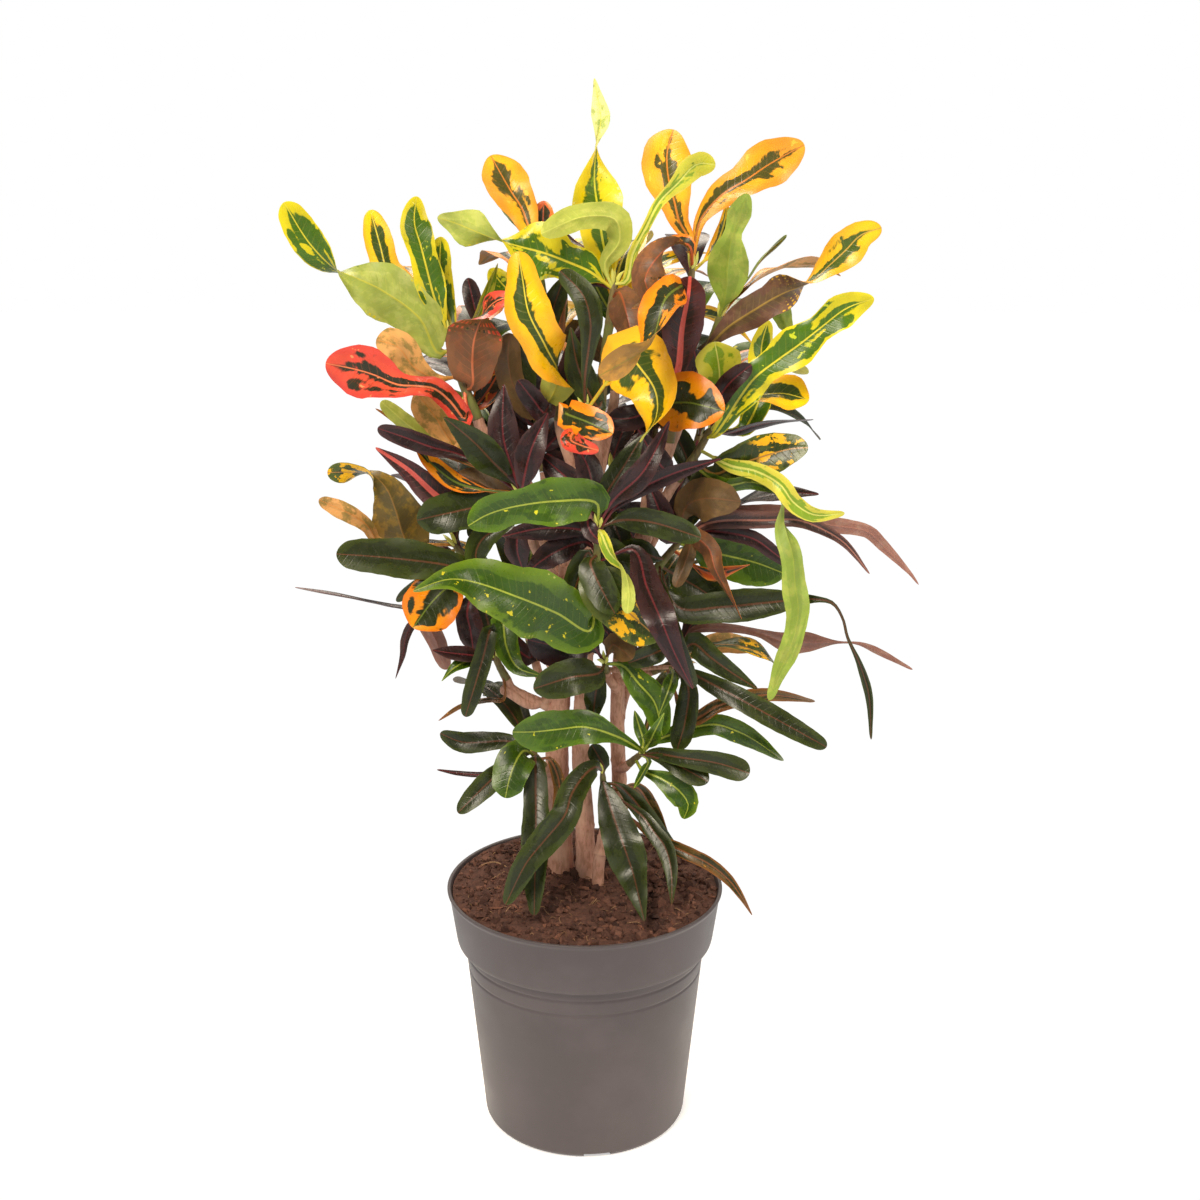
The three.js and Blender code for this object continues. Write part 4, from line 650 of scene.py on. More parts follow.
SHOOT_ROWS: list[list[Any]] = [
  ["shoot_centre", "trunk_middle", [2, -12, 530, 1, -20, 545, 0, -27, 561], 3.4, 2.2, 1, 90, 80, [
    ["big_curl", "leafy", 40, 0.14, "yellow", [-48, -74, -92],
      [30, 590, 41, 581, 50, 566, 50, 548, 39, 531], [0, 8, 16, 50, 100]],
    ["dark_spoon", "spoon", 17, 0.06, "dark", [-32, -42, -46],
      [0, 575, 3, 600, 4, 616, -1, 634, -17, 651], [0, 0, 10]],
    ["small_disc", "oval", 22, 0.12, "rimmed", [-42, -60, -68], [-14, 552, 3, 545, 20, 537]],
    ["red_flap", "oval", 13, 0.08, "red", [-60, -70, -72], [-10, 534, -1, 528, 10, 525]],
  ]],
  ["shoot_top", "trunk_middle", [10, 2, 550, 15, 0, 598, 21, -2, 646], 4.4, 2.4, 4, 75, 110, [
    ["tall", "pinched", 32, 0.14, "golden", [0, -6, 6],
      [17, 654, 13, 668, 9, 693, 7, 708, 7, 721, 8, 735, 11, 750, 9, 764, 6.5, 778], [15, 0, 0, 50, 170,
        180]],
    ["ribbon", "strap", 18, 0.1, "lime", [-6, -22, -34],
      [14, 655, 24, 671, 20, 686, -3, 687, -30, 676], [180, 186, 175]],
    ["reach", "racket", 17, 0.06, "lime", [-8, -22, -30],
      [29, 644, 33, 662, 42, 680, 51, 697, 64, 710, 76, 722, 89, 722], [0, 5, 10]],
    ["wavy", "double", 32, 0.34, "edged", [-6, -20, -24],
      [4, 650, -12, 657, -28, 663, -43, 667, -62, 673, -78, 679, -88, 683, -101, 687], [0, 0, 0, 10, 120,
        180, 180]],
    ["plum", "lance", 15, 0.08, "maroon", [5, 12, 18], [6, 644, 0, 652, -8, 664, -14, 678], [0, 10]],
    ["bent", "oval", 24, 0.1, "ember", [-12, -26, -34], [24, 636, 30, 620, 35, 598], [180, 200]],
    ["top_low", "lance", 19, 0.08, "dark", [-6, -4, -2], [10, 556, -4, 582, -10, 612]],
    ["top_side", "lance", 20, 0.08, "maroon", [0, 4, 8], [18, 586, 36, 604, 56, 632]],
  ]],
  ["shoot_top_right", "trunk_right", [60, 5, 530, 70, 6, 595, 75, 6, 656], 4.0, 2.2, 3, 70, 100, [
    ["yellow_spoon", "spoon", 32, 0.1, "orange", [6, 8, 16],
      [72, 672, 65, 684, 61, 699, 57, 714, 56, 730, 60, 745], [0, 0, 12]],
    ["orange_strap", "spoon", 28, 0.12, "orange", [8, 12, 22],
      [77, 677, 81, 688, 95, 703, 110, 712, 125, 722, 149, 735], [0, -8, 18]],
    ["corkscrew", "strap", 21, 0.12, "ember", [-8, -34, -48],
      [72, 668, 60, 669, 49, 659, 42, 645, 46, 632, 33, 625], [0, 70, 150, 200, 250]],
    ["red_rib", "spoon", 27, 0.08, "banded", [-14, -26, -32],
      [62, 570, 66, 585, 68, 612, 72, 635, 73, 647], [0, 0, 5]],
    ["rimmed_bent", "strap", 26, 0.1, "rimmed", [-26, -72, -80],
      [66, 640, 55, 630, 45, 600, 30, 590, 10, 578], [0, 10, 70, 150]],
    ["back_tip", "lance", 9, 0.05, "yellow", [24, 28, 30], [88, 664, 95, 680, 98, 699]],
    ["disc", "oval", 37, 0.1, "rimmed", [-28, -54, -62], [60, 560, 76, 559, 99, 553], [0, 0, 5]],
  ]],
  ["shoot_right_high", "trunk_right", [85, 18, 585, 91, 19, 603, 97, 19, 622], 3.3, 2.2, 2, 70, 80, [
    ["two_lobes", "double", 26, 0.08, "green", [12, 4, 0],
      [98, 636, 99, 655, 101, 672, 106, 688, 111, 703], [180, 180, 195]],
    ["edge_on", "ribbon", 13, 0.06, "green", [20, 22, 24],
      [104, 634, 113, 645, 122, 659, 139, 675], [78, 84]],
    ["big_twist", "strap", 25, 0.14, "bronze", [10, -16, -26],
      [88, 600, 100, 612, 120, 625, 140, 637, 158, 645, 167, 653, 180, 665, 190, 675, 204, 680], [180, 180,
        185, 290, 350, 360]],
  ]],
  ["shoot_left_high", "trunk_left", [-76, 0, 548, -88, -2, 580, -97, -4, 611], 4.0, 2.2, 3, 100, 90, [
    ["far_twist", "double", 35, 0.14, "edged", [-8, -16, -24],
      [-103, 594, -115, 618, -140, 637, -160, 646, -172, 651, -190, 670, -206, 697], [180, 180, 190, 330,
        360]],
    ["behind_twist", "strap", 20, 0.1, "yellow", [8, 14, 20],
      [-105, 606, -128, 640, -137, 652, -141, 668, -147, 692], [0, 0, 20]],
    ["green_strap", "strap", 20, 0.22, "edged", [-6, -8, -4],
      [-97, 612, -101, 622, -105, 634, -109, 651, -113, 668, -117, 684, -115, 701], [0, 10, -5]],
    ["olive_back", "strap", 15, 0.14, "edged", [2, 10, 14],
      [-93, 612, -96, 624, -98, 640, -100, 655, -99, 674], [0, 5, -5]],
    ["amber", "strap", 15, 0.08, "orange", [10, 22, 28], [-104, 596, -115, 607, -127, 621], [0, 10]],
    ["pale_spoon", "spoon", 25, 0.08, "orange", [-10, -22, -32],
      [-101, 576, -110, 578, -121, 585, -131, 598, -146, 603], [180, 185]],
    ["red_paddle", "paddle", 33, 0.12, "red", [-10, -26, -36],
      [-85, 548, -95, 560, -106, 569, -118, 571, -132, 572, -149, 579, -163, 583, -182, 587], [0, 5, 0]],
    ["lime_edge", "strap", 13, 0.08, "lime", [10, 14, 14], [-104, 530, -122, 541, -144, 560], [180, 170]],
    ["amber_back", "spoon", 22, 0.1, "orange", [0, 2, -4],
      [-90, 525, -98, 535, -105, 547, -119, 567], [180, 190]],
    ["brown_fold", "leafy", 36, 0.1, "red", [-10, -20, -26],
      [-79, 572, -79, 588, -77, 605, -72, 620, -62, 630, -49, 634], [180, 180, 190, 320, 360]],
    ["under_brown", "lance", 18, 0.06, "ember", [8, 14, 18], [-78, 556, -62, 578, -52, 604]],
    ["violet_spoon", "spoon", 12, 0.05, "maroon", [6, 10, 14], [-82, 600, -74, 612, -77, 627, -81, 646]],
    ["edge_lime", "ribbon", 12, 0.06, "lime", [0, 6, 8], [-78, 615, -70, 630, -60, 656], [62, 70]],
  ]],
  ["shoot_top_left", "trunk_middle", [-18, 12, 545, -25, 15, 600, -32, 16, 655], 4.0, 2.2, 3, 95, 100, [
    ["orange_spoon", "spoon", 29, 0.1, "orange", [15, 20, 28],
      [-32, 664, -39, 682, -43, 693, -50, 704, -57, 716, -64, 728], [0, 0, 14]],
    ["small_dark", "oval", 17, 0.06, "ember", [22, 30, 34], [-30, 664, -29, 680, -28, 698], [0, 10]],
    ["yellow_twist", "strap", 29, 0.14, "yellow", [8, -50, -44],
      [-26, 560, -18, 578, -28, 600, -39, 622, -43, 645, -46, 664], [180, 180, 70, 10, 0, 0]],
    ["brown_back", "strap", 19, 0.08, "olive", [12, 10, 6],
      [-36, 554, -50, 570, -54, 590, -52, 608], [180, 185]],
    ["plum_low", "oval", 15, 0.06, "maroon", [-4, -8, -10], [-28, 552, -37, 562, -47, 575], [0, 5]],
    ["pink_fold", "lance", 17, 0.1, "ember", [9, 6, 0], [-20, 603, -17, 614, -12, 632], [150, 60]],
    ["left_plum", "lance", 20, 0.08, "maroon", [16, 18, 20], [-19, 566, -6, 590, 4, 622]],
    ["left_green", "strap", 17, 0.1, "edged", [22, 22, 22], [-32, 616, -50, 634, -66, 652]],
    ["shaded_rise", "lance", 20, 0.08, "dark", [24, 26, 28], [-26, 602, -22, 624, -14, 648]],
  ]],
  ["shoot_right_mid", "trunk_right", [66, -6, 505, 79, -11, 525, 90, -14, 546], 3.6, 2.2, 1, 60, 60, [
    ["long_green", "strap", 23, 0.28, "edged", [-20, -36, -44],
      [92, 536, 100, 547, 109, 562, 120, 577, 135, 589, 150, 600, 165, 612, 182, 625, 201, 632], [0, 0, 0,
        12, 45]],
    ["green_behind", "strap", 18, 0.14, "edged", [6, 18, 24],
      [112, 540, 121, 555, 125, 570, 124, 585, 124, 600, 128, 617], [0, 5]],
    ["pale_end", "spoon", 29, 0.08, "lime", [2, -10, -16], [92, 560, 95, 578, 91, 602], [0, 5]],
    ["near_black", "oval", 14, 0.05, "maroon", [-26, -36, -40], [94, 560, 102, 573, 117, 586]],
    ["thin_purple", "ribbon", 11, 0.05, "maroon", [-6, 0, 6],
      [105, 538, 122, 543, 140, 546, 162, 547], [58, 64]],
    ["yellow_patch", "oval", 27, 0.1, "spotted", [-20, -32, -38],
      [92, 508, 106, 513, 125, 520, 146, 526, 159, 527], [0, 0, 10]],
    ["striped", "ribbon", 13, 0.06, "lime", [-26, -46, -54],
      [104, 514, 122, 510, 140, 500, 150, 487, 165, 478, 187, 479], [0, 20, 10]],
    ["dark_side", "lance", 17, 0.06, "maroon", [-16, -20, -22], [62, 508, 50, 520, 38, 540]],
    ["hanging", "ribbon", 18, 0.1, "green", [-28, -62, -76],
      [100, 500, 120, 502, 140, 492, 143, 470, 150, 448, 153, 425, 156, 405, 152, 380, 144, 360, 137, 337],
        [20, 70, 150, 180, 180]],
  ]],
  ["shoot_left_mid", "trunk_left", [-38, -12, 466, -42, -15, 484, -47, -17, 502], 3.6, 2.2, 2, 110, 70, [
    ["olive_tip", "lance", 11, 0.05, "olive", [4, 10, 14], [-96, 524, -125, 541, -148, 555], [0, 10]],
    ["violet_round", "spoon", 13, 0.05, "maroon", [-20, -32, -38],
      [-75, 515, -92, 523, -108, 527, -127, 534, -147, 541], [0, 5]],
    ["dark_lance", "lance", 21, 0.08, "dark", [-24, -38, -46], [-54, 505, -66, 517, -80, 532, -100, 549]],
    ["orange_edge", "lance", 13, 0.06, "rimmed", [-14, -20, -26],
      [-88, 500, -109, 515, -117, 526, -125, 540], [0, 15]],
    ["pink_rib", "lance", 18, 0.06, "banded", [-6, 0, 4], [-88, 482, -105, 491, -126, 511, -149, 527]],
    ["olive_under", "oval", 19, 0.08, "olive", [2, 8, 12], [-58, 492, -72, 500, -90, 509], [180, 180]],
    ["green_round", "oval", 28, 0.06, "dark", [-10, -16, -20], [-74, 484, -95, 480, -121, 474], [0, -5]],
    ["grey_hanging", "lance", 17, 0.06, "dark", [-4, -8, -10],
      [-58, 470, -74, 460, -79, 446, -69, 428], [0, 10]],
    ["plum_drop", "lance", 17, 0.06, "maroon", [-6, -2, 2], [-47, 468, -49, 452, -44, 434]],
    ["plum_rise", "lance", 21, 0.06, "maroon", [-24, -20, -12], [-50, 506, -58, 536, -57, 572]],
    ["plum_lean", "lance", 19, 0.06, "maroon", [-24, -22, -16], [-44, 502, -38, 526, -26, 552]],
  ]],
  ["shoot_left_low", "trunk_left", [-74, 22, 416, -86, 22, 436, -98, 20, 454], 3.8, 2.2, 3, 120, 70, [
    ["long_dark", "strap", 27, 0.06, "dark", [-8, -28, -40],
      [-86, 437, -102, 441, -122, 444, -150, 447, -180, 449], [0, 0, 5]],
    ["folded_tip", "double", 37, 0.08, "spotted", [24, 4, -12],
      [-122, 445, -131, 463, -136, 482, -142, 497, -153, 507, -168, 509, -184, 509], [180, 180, 180, 185,
        300, 350]],
    ["pink_curl", "spoon", 12, 0.08, "orange", [10, 0, -8],
      [-148, 458, -157, 470, -168, 478, -180, 484, -191, 489], [180, 195, 165]],
    ["thin_far", "lance", 11, 0.05, "maroon", [22, 17, 10],
      [-120, 409, -138, 409, -152, 412, -180, 418, -211, 424], [66, 74]],
    ["round_rim", "oval", 38, 0.08, "rimmed", [-2, -20, -30], [-100, 424, -112, 412, -126, 393]],
    ["hanging_plum", "strap", 14, 0.04, "mauve", [15, 16, 16], [-114, 402, -108, 380, -102, 361], [180, 180]],
    ["small_hang", "lance", 7, 0.03, "maroon", [26, 26, 26],
      [-126, 396, -132, 384, -134, 372, -140, 354], [150, 160]],
    ["red_vein", "oval", 18, 0.05, "maroon", [4, 6, 6], [-86, 406, -84, 392, -82, 376]],
  ]],
  ["shoot_right_low", "trunk_right", [48, 0, 432, 59, -4, 448, 71, -8, 464], 3.6, 2.2, 1, 40, 60, [
    ["far_pink", "lance", 12, 0.06, "mauve", [-6, 4, 12],
      [95, 480, 120, 481, 150, 478, 175, 471, 203, 466, 215, 456, 236, 435, 243, 426], [180, 190, 170]],
    ["long_thin", "taper", 11, 0.04, "mauve", [-20, -30, -32],
      [90, 472, 132, 474, 154, 474, 176, 465, 190, 455, 207, 434], [0, 20]],
    ["purple_bend", "strap", 11, 0.05, "maroon", [-14, -20, -22], [84, 466, 120, 461, 138, 449, 149, 440]],
    ["bright_broad", "oval", 33, 0.08, "green", [-6, 0, 6],
      [84, 452, 105, 447, 125, 442, 146, 434], [0, 10, 20]],
    ["olive_wide", "oval", 28, 0.08, "olive", [-12, -40, -50], [72, 482, 88, 490, 112, 488], [180, 180, 195]],
    ["hinged", "tailed", 21, 0.04, "dark", [-20, -44, -44],
      [68, 409, 100, 409, 130, 412, 150, 414, 168, 415, 181, 412, 189, 400, 193, 386, 203, 365, 211, 340,
        214, 306], [0, 0, 0, 30]],
    ["brown_arch", "taper", 14, 0.08, "ember", [-30, -50, -60],
      [80, 461, 90, 453, 95, 438, 103, 423, 115, 400], [180, 200, 250, 290]],
    ["small_ear", "lance", 10, 0.04, "ember", [-16, -26, -30], [90, 434, 104, 437, 120, 441], [30, 40]],
    ["olive_short", "strap", 11, 0.06, "olive", [-24, -32, -36], [76, 456, 72, 440, 66, 424], [180, 190]],
    ["grey_wide", "oval", 26, 0.05, "dark", [4, 6, 8], [68, 432, 82, 424, 101, 411], [0, 10]],
    ["over_stem", "lance", 17, 0.05, "maroon", [-18, -18, -16], [60, 460, 54, 480, 44, 504]],
    ["behind_olive", "strap", 17, 0.05, "dark", [-2, 2, 6], [70, 468, 80, 488, 84, 512]],
    ["dark_across", "lance", 17, 0.05, "dark", [-12, -12, -10], [52, 446, 36, 452, 18, 446]],
    ["silvery", "strap", 15, 0.05, "dark", [-30, -62, -68], [56, 420, 63, 396, 72, 371, 81, 347], [20, 30]],
  ]],
  ["shoot_front_mid", "trunk_middle", [5, -12, 410, 8, -34, 440, 9, -42, 482], 3.8, 2.0, 0, 90, 40, [
    ["glossy", "sabre", 30, 0.14, "green", [-50, -72, -86],
      [8, 487, -20, 488, -50, 484, -70, 478, -84, 470], [0, -8, 0]],
    ["largest", "leafy", 44, 0.1, "blotched", [-44, -80, -96],
      [4, 391, -20, 404, -50, 417, -80, 428, -100, 430, -125, 421], [0, 0, 5, 30]],
    ["dark_small", "oval", 21, 0.05, "dark", [-54, -64, -70], [4, 442, 11, 425, 22, 404], [0, 5]],
    ["pale_hook", "strap", 12, 0.06, "lime", [-58, -76, -80],
      [12, 464, 18, 450, 28, 437, 32, 420, 31, 404], [0, 50, 130, 180]],
    ["blotch", "oval", 34, 0.08, "spotted", [-50, -68, -76], [3, 434, 20, 416, 36, 401, 55, 384]],
    ["red_short", "lance", 11, 0.04, "maroon", [-46, -50, -52], [2, 474, 4, 466, 14, 455]],
    ["steep_dark", "lance", 21, 0.05, "maroon", [-24, -50, -56],
      [35, 452, 45, 425, 56, 399, 66, 374, 80, 346], [0, 0, 10]],
    ["right_oval", "oval", 18, 0.05, "dark", [-34, -30, -28], [26, 474, 50, 472, 84, 461], [0, -5]],
    ["left_under", "lance", 16, 0.06, "maroon", [-26, -20, -16], [0, 466, -30, 468, -60, 462], [0, 10]],
    ["dark_under", "lance", 19, 0.06, "dark", [-24, -18, -14], [2, 468, -14, 458, -24, 438]],
    ["rise_green", "lance", 17, 0.06, "dark", [-44, -38, -34], [14, 490, 27, 512, 42, 537]],
    ["rise_black", "lance", 16, 0.06, "maroon", [-36, -26, -18], [20, 488, 42, 510, 60, 546]],
    ["side_plum", "lance", 12, 0.06, "maroon", [-38, -30, -22], [26, 488, 58, 506, 97, 519]],
    ["rise_left", "lance", 17, 0.06, "maroon", [-41, -34, -26], [1, 492, -14, 506, -34, 524]],
    ["rise_middle", "lance", 17, 0.06, "maroon", [-40, -34, -28], [6, 494, 2, 514, -10, 534]],
    ["fall_left", "lance", 19, 0.05, "maroon", [-20, -14, -10], [0, 458, -22, 450, -44, 434]],
    ["fall_middle", "lance", 20, 0.05, "dark", [-34, -30, -28], [2, 450, -4, 432, -12, 408]],
    ["fall_right", "oval", 20, 0.05, "dark", [-26, -18, -12], [16, 456, 26, 440, 36, 420]],
  ]],
  ["shoot_stub_mid", "trunk_right", [16, 0, 360, 15, -7, 366, 14, -14, 373], 2.8, 2.0, 0, 90, 40, [
    ["red_line", "oval", 25, 0.06, "dark", [-28, -48, -58], [10, 358, -10, 355, -38, 346], [0, 0, 8]],
    ["green_yellow", "strap", 20, 0.08, "green", [-14, -20, -22],
      [28, 364, 40, 350, 52, 335, 58, 309], [0, 10]],
    ["olive_bract", "oval", 17, 0.04, "olive", [-16, -28, -38], [20, 380, 27, 377, 35, 369], [180, 180]],
    ["maroon_wide", "oval", 28, 0.06, "maroon", [-20, -34, -40], [4, 380, -15, 378, -42, 384]],
    ["stub_drop", "lance", 15, 0.05, "dark", [-12, -16, -18], [12, 358, 8, 342, 6, 318]],
  ]],
  ["shoot_right_under", "trunk_right", [50, 5, 358, 61, 3, 363, 71, 0, 373], 3.2, 2.0, 2, 30, 60, [
    ["orange_line", "taper", 17, 0.06, "dark", [-14, -26, -30],
      [80, 381, 92, 371, 108, 359, 128, 346], [0, 10]],
    ["long_lance", "strap", 16, 0.05, "dark", [-18, -40, -50], [80, 358, 110, 341, 150, 318, 181, 300]],
    ["waisted", "lobed", 16, 0.05, "mauve", [-4, 2, 8],
      [80, 391, 104, 393, 128, 389, 148, 382, 160, 382, 174, 382, 187, 382, 202, 381, 218, 374, 242, 361],
        [180, 180, 180, 170]],
    ["brown_short", "oval", 15, 0.05, "orange", [13, 20, 22], [79, 374, 100, 382, 126, 378], [180, 180]],
    ["olive_low", "ribbon", 11, 0.05, "olive", [2, 8, 12],
      [78, 322, 100, 333, 130, 341, 150, 340, 171, 336], [0, 0, 30]],
    ["hanging_dark", "strap", 17, 0.04, "dark", [-10, -20, -24], [76, 350, 75, 322, 69, 297], [10, 0]],
    ["inner_dark", "oval", 15, 0.04, "dark", [-10, -18, -20], [58, 376, 48, 372, 32, 366]],
    ["small_green", "lance", 10, 0.04, "green", [-8, -14, -16], [65, 358, 62, 345, 55, 325]],
  ]],
  ["shoot_low_right", "trunk_right", [34, 8, 284, 39, 2, 291, 44, -4, 298], 3.0, 2.0, 1, 70, 60, [
    ["bright_left", "spoon", 27, 0.12, "green", [-10, -34, -46],
      [40, 299, 25, 308, 0, 316, -20, 314, -38, 312, -54, 312], [0, 0, -6]],
    ["bright_right", "strap", 16, 0.08, "green", [-8, -20, -26],
      [50, 303, 65, 310, 95, 318, 115, 312, 129, 304, 149, 289], [0, 0, 20, 50]],
    ["blunt_end", "fan", 17, 0.04, "dark", [-10, -28, -38], [52, 295, 70, 292, 100, 287, 124, 279]],
    ["dark_round", "spoon", 17, 0.04, "dark", [-18, -34, -42], [52, 292, 65, 288, 80, 280, 93, 272]],
    ["curled_spoon", "spoon", 20, 0.08, "blotched", [-10, -26, -36],
      [44, 281, 57, 275, 70, 266, 78, 254, 75, 242], [0, 0, 8, 25]],
    ["edge_small", "lance", 10, 0.04, "green", [-14, -20, -22], [48, 289, 44, 280, 37, 267], [48, 52]],
    ["upright", "lance", 9, 0.04, "green", [-4, 0, 2], [44, 304, 41, 315, 37, 329]],
    ["upright_green", "lance", 12, 0.05, "green", [-10, -14, -18], [48, 303, 52, 312, 59, 327], [0, 5]],
  ]],
  ["shoot_low_left", "trunk_left", [-31, 3, 284, -36, -1, 292, -42, -5, 300], 3.0, 2.0, 2, 120, 60, [
    ["grey_strap", "strap", 15, 0.08, "dark", [-4, 4, 10],
      [-50, 302, -60, 305, -76, 304, -92, 304, -108, 311], [0, 15, 0]],
    ["shiny_oval", "strap", 16, 0.05, "dark", [-10, -20, -26],
      [-52, 290, -68, 276, -82, 262, -96, 247], [0, 10]],
    ["bright_oval", "oval", 27, 0.05, "green", [-14, -30, -36],
      [-46, 297, -53, 286, -57, 274, -60, 259], [0, 10]],
    ["needle", "ribbon", 5, 0.02, "maroon", [0, 4, 6], [-52, 284, -75, 278, -95, 279, -111, 282], [50, 50]],
    ["shiny_long", "ribbon", 20, 0.05, "dark", [-16, -44, -74],
      [-37, 290, -37, 262, -37, 235, -38, 202, -39, 162], [0, 0, 0]],
    ["grey_thin", "lance", 9, 0.04, "olive", [-10, -14, -18], [-26, 290, -19, 268, -25, 244]],
  ]],
  ["shoot_left_knob", "trunk_left", [-58, 5, 352, -63, 4, 362, -68, 2, 374], 3.3, 2.1, 2, 130, 60, [
    ["green_hook", "taper", 18, 0.05, "green", [-2, -16, -28], [-60, 398, -58, 380, -50, 363, -32, 356]],
    ["olive_strap", "strap", 14, 0.05, "dark", [-12, -16, -18], [-69, 392, -75, 370, -81, 350, -89, 324]],
    ["red_stripe", "lance", 13, 0.04, "maroon", [-4, -20, -26],
      [-74, 370, -82, 372, -100, 374, -112, 376], [30, 40]],
    ["green_thin", "lance", 9, 0.04, "green", [4, 0, -2],
      [-76, 370, -90, 366, -98, 361, -106, 352], [20, 30]],
    ["olive_line", "lance", 8, 0.03, "olive", [2, 6, 8], [-60, 338, -72, 337, -92, 332, -109, 321], [50, 55]],
  ]],
  ["shoot_low_front", "trunk_front", [15, -6, 258, 14, -7, 272, 13, -9, 287], 3.0, 2.0, 0, 90, 40, [
    ["left_drop", "ribbon", 21, 0.05, "dark", [-14, -36, -56],
      [8, 284, 0, 278, -10, 262, -15, 245, -30, 225, -45, 205, -61, 171]],
    ["front_drop", "lance", 27, 0.06, "dark", [-14, -50, -80],
      [14, 272, 20, 250, 29, 222, 36, 200, 41, 180, 46, 157]],
    ["right_drop", "lance", 13, 0.04, "dark", [-12, 0, 10], [24, 270, 35, 260, 50, 241, 69, 222]],
    ["behind_drop", "lance", 11, 0.04, "olive", [4, 14, 22], [38, 268, 50, 252, 63, 231], [0, 10]],
    ["curved_drop", "lance", 13, 0.05, "dark", [-10, -28, -52],
      [42, 246, 52, 232, 61, 219, 66, 200, 67, 171]],
    ["over_rim", "lance", 10, 0.04, "olive", [-6, -14, -22],
      [52, 227, 68, 219, 80, 213, 95, 205, 110, 192, 120, 178, 129, 162], [0, 20]],
    ["thin_drop", "lance", 9, 0.03, "dark", [-18, -44, -62], [34, 228, 40, 204, 44, 186, 46, 166]],
    ["small_dark", "oval", 13, 0.04, "dark", [-10, -8, -4], [14, 285, 10, 293, 5, 302]],
  ]],
  ["shoot_inner_left", "trunk_left", [-30, 34, 503, -33, 38, 522, -36, 41, 545], 3.4, 2.2, 6, 90, 180, [
    ["inner_out", "lance", 17, 0.06, "maroon", [30, 30, 30], [-36, 520, -52, 535, -72, 541], [0, 10]],
    ["inner_in", "lance", 16, 0.06, "maroon", [28, 22, 15], [-28, 526, -15, 541, -2, 562]],
    ["inner_down", "strap", 15, 0.06, "maroon", [25, 18, 10], [-26, 512, -13, 496, -5, 468], [0, 20]],
    ["inner_up", "lance", 15, 0.06, "maroon", [35, 30, 28], [-40, 545, -49, 566, -61, 592]],
    ["inner_plumb", "lance", 18, 0.06, "maroon", [34, 26, 20], [-40, 524, -50, 542, -54, 568]],
    ["inner_flat", "strap", 16, 0.06, "maroon", [30, 22, 18], [-40, 512, -56, 502, -76, 490]],
    ["inner_across", "lance", 17, 0.06, "maroon", [26, 18, 12], [-26, 522, -12, 512, 4, 508]],
  ]],
  ["shoot_inner_right", "trunk_right", [50, 32, 525, 51, 36, 545, 52, 40, 566], 3.4, 2.2, 5, 90, 180, [
    ["inner_low", "lance", 16, 0.06, "maroon", [25, 20, 15], [46, 541, 34, 521, 19, 497]],
    ["inner_side", "lance", 17, 0.06, "dark", [26, 22, 20], [57, 545, 70, 526, 79, 499]],
    ["inner_high", "lance", 15, 0.06, "maroon", [25, 20, 10], [44, 560, 30, 576, 13, 592], [0, 10]],
    ["inner_drop", "strap", 15, 0.06, "dark", [20, 15, 12], [52, 536, 51, 512, 44, 484]],
    ["inner_olive", "oval", 17, 0.06, "olive", [26, 20, 14], [56, 544, 65, 534, 76, 522], [180, 180]],
    ["inner_wide", "strap", 18, 0.06, "maroon", [28, 22, 14], [46, 552, 32, 548, 16, 548]],
  ]],
  ["shoot_inner_middle", "trunk_middle", [13, 30, 468, 17, 34, 487, 20, 37, 508], 3.4, 2.2, 5, 90, 180, [
    ["inner_left", "lance", 16, 0.06, "dark", [30, 44, 52], [8, 489, -9, 492, -31, 480]],
    ["inner_rise", "lance", 15, 0.06, "maroon", [28, 22, 15], [22, 501, 32, 517, 38, 541]],
    ["inner_right", "strap", 15, 0.06, "maroon", [24, 20, 18], [18, 480, 34, 463, 45, 439]],
    ["inner_tip", "lance", 14, 0.06, "maroon", [25, 20, 12], [12, 496, 2, 513, -9, 532]],
    ["inner_front", "lance", 17, 0.06, "dark", [20, 12, 6], [18, 478, 26, 458, 30, 432]],
    ["inner_reach", "strap", 17, 0.06, "maroon", [28, 24, 20], [24, 482, 44, 478, 66, 468]],
  ]],
  ["shoot_back_left", "trunk_left", [-55, 72, 480, -61, 82, 500, -66, 90, 524], 3.6, 2.2, 7, 125, 95, [
    ["back_rise", "lance", 19, 0.08, "maroon", [60, 50, 44], [-54, 516, -58, 542, -68, 572]],
    ["back_low", "strap", 18, 0.08, "dark", [56, 44, 36], [-50, 500, -62, 484, -84, 462]],
    ["back_side", "lance", 17, 0.08, "olive", [64, 56, 50], [-62, 520, -82, 536, -98, 556], [180, 180]],
  ]],
  ["shoot_back_middle", "trunk_middle", [5, 70, 508, 6, 80, 530, 6, 88, 556], 3.8, 2.2, 7, 90, 100, [
    ["back_rise", "lance", 19, 0.08, "dark", [66, 54, 46], [6, 540, -6, 566, -12, 598]],
    ["back_right", "strap", 18, 0.08, "maroon", [60, 46, 40], [8, 520, 28, 528, 50, 520]],
    ["back_left", "strap", 18, 0.08, "maroon", [60, 46, 40], [0, 516, -20, 530, -44, 536]],
    ["back_low", "lance", 19, 0.08, "dark", [56, 44, 36], [4, 500, 8, 478, 2, 450]],
  ]],
  ["shoot_back_right", "trunk_right", [82, 66, 508, 88, 76, 528, 92, 84, 550], 3.6, 2.2, 7, 78, 85, [
    ["back_rise", "lance", 18, 0.08, "dark", [60, 52, 46], [82, 544, 74, 566, 62, 590]],
    ["back_low", "strap", 18, 0.08, "maroon", [56, 46, 40], [74, 512, 66, 492, 62, 462]],
  ]],
  ["shoot_back_top", "trunk_middle", [22, 36, 562, 25, 46, 590, 27, 54, 622], 3.6, 2.2, 6, 85, 100, [
    ["back_rise", "lance", 18, 0.08, "green", [44, 40, 36], [22, 616, 8, 640, -4, 668]],
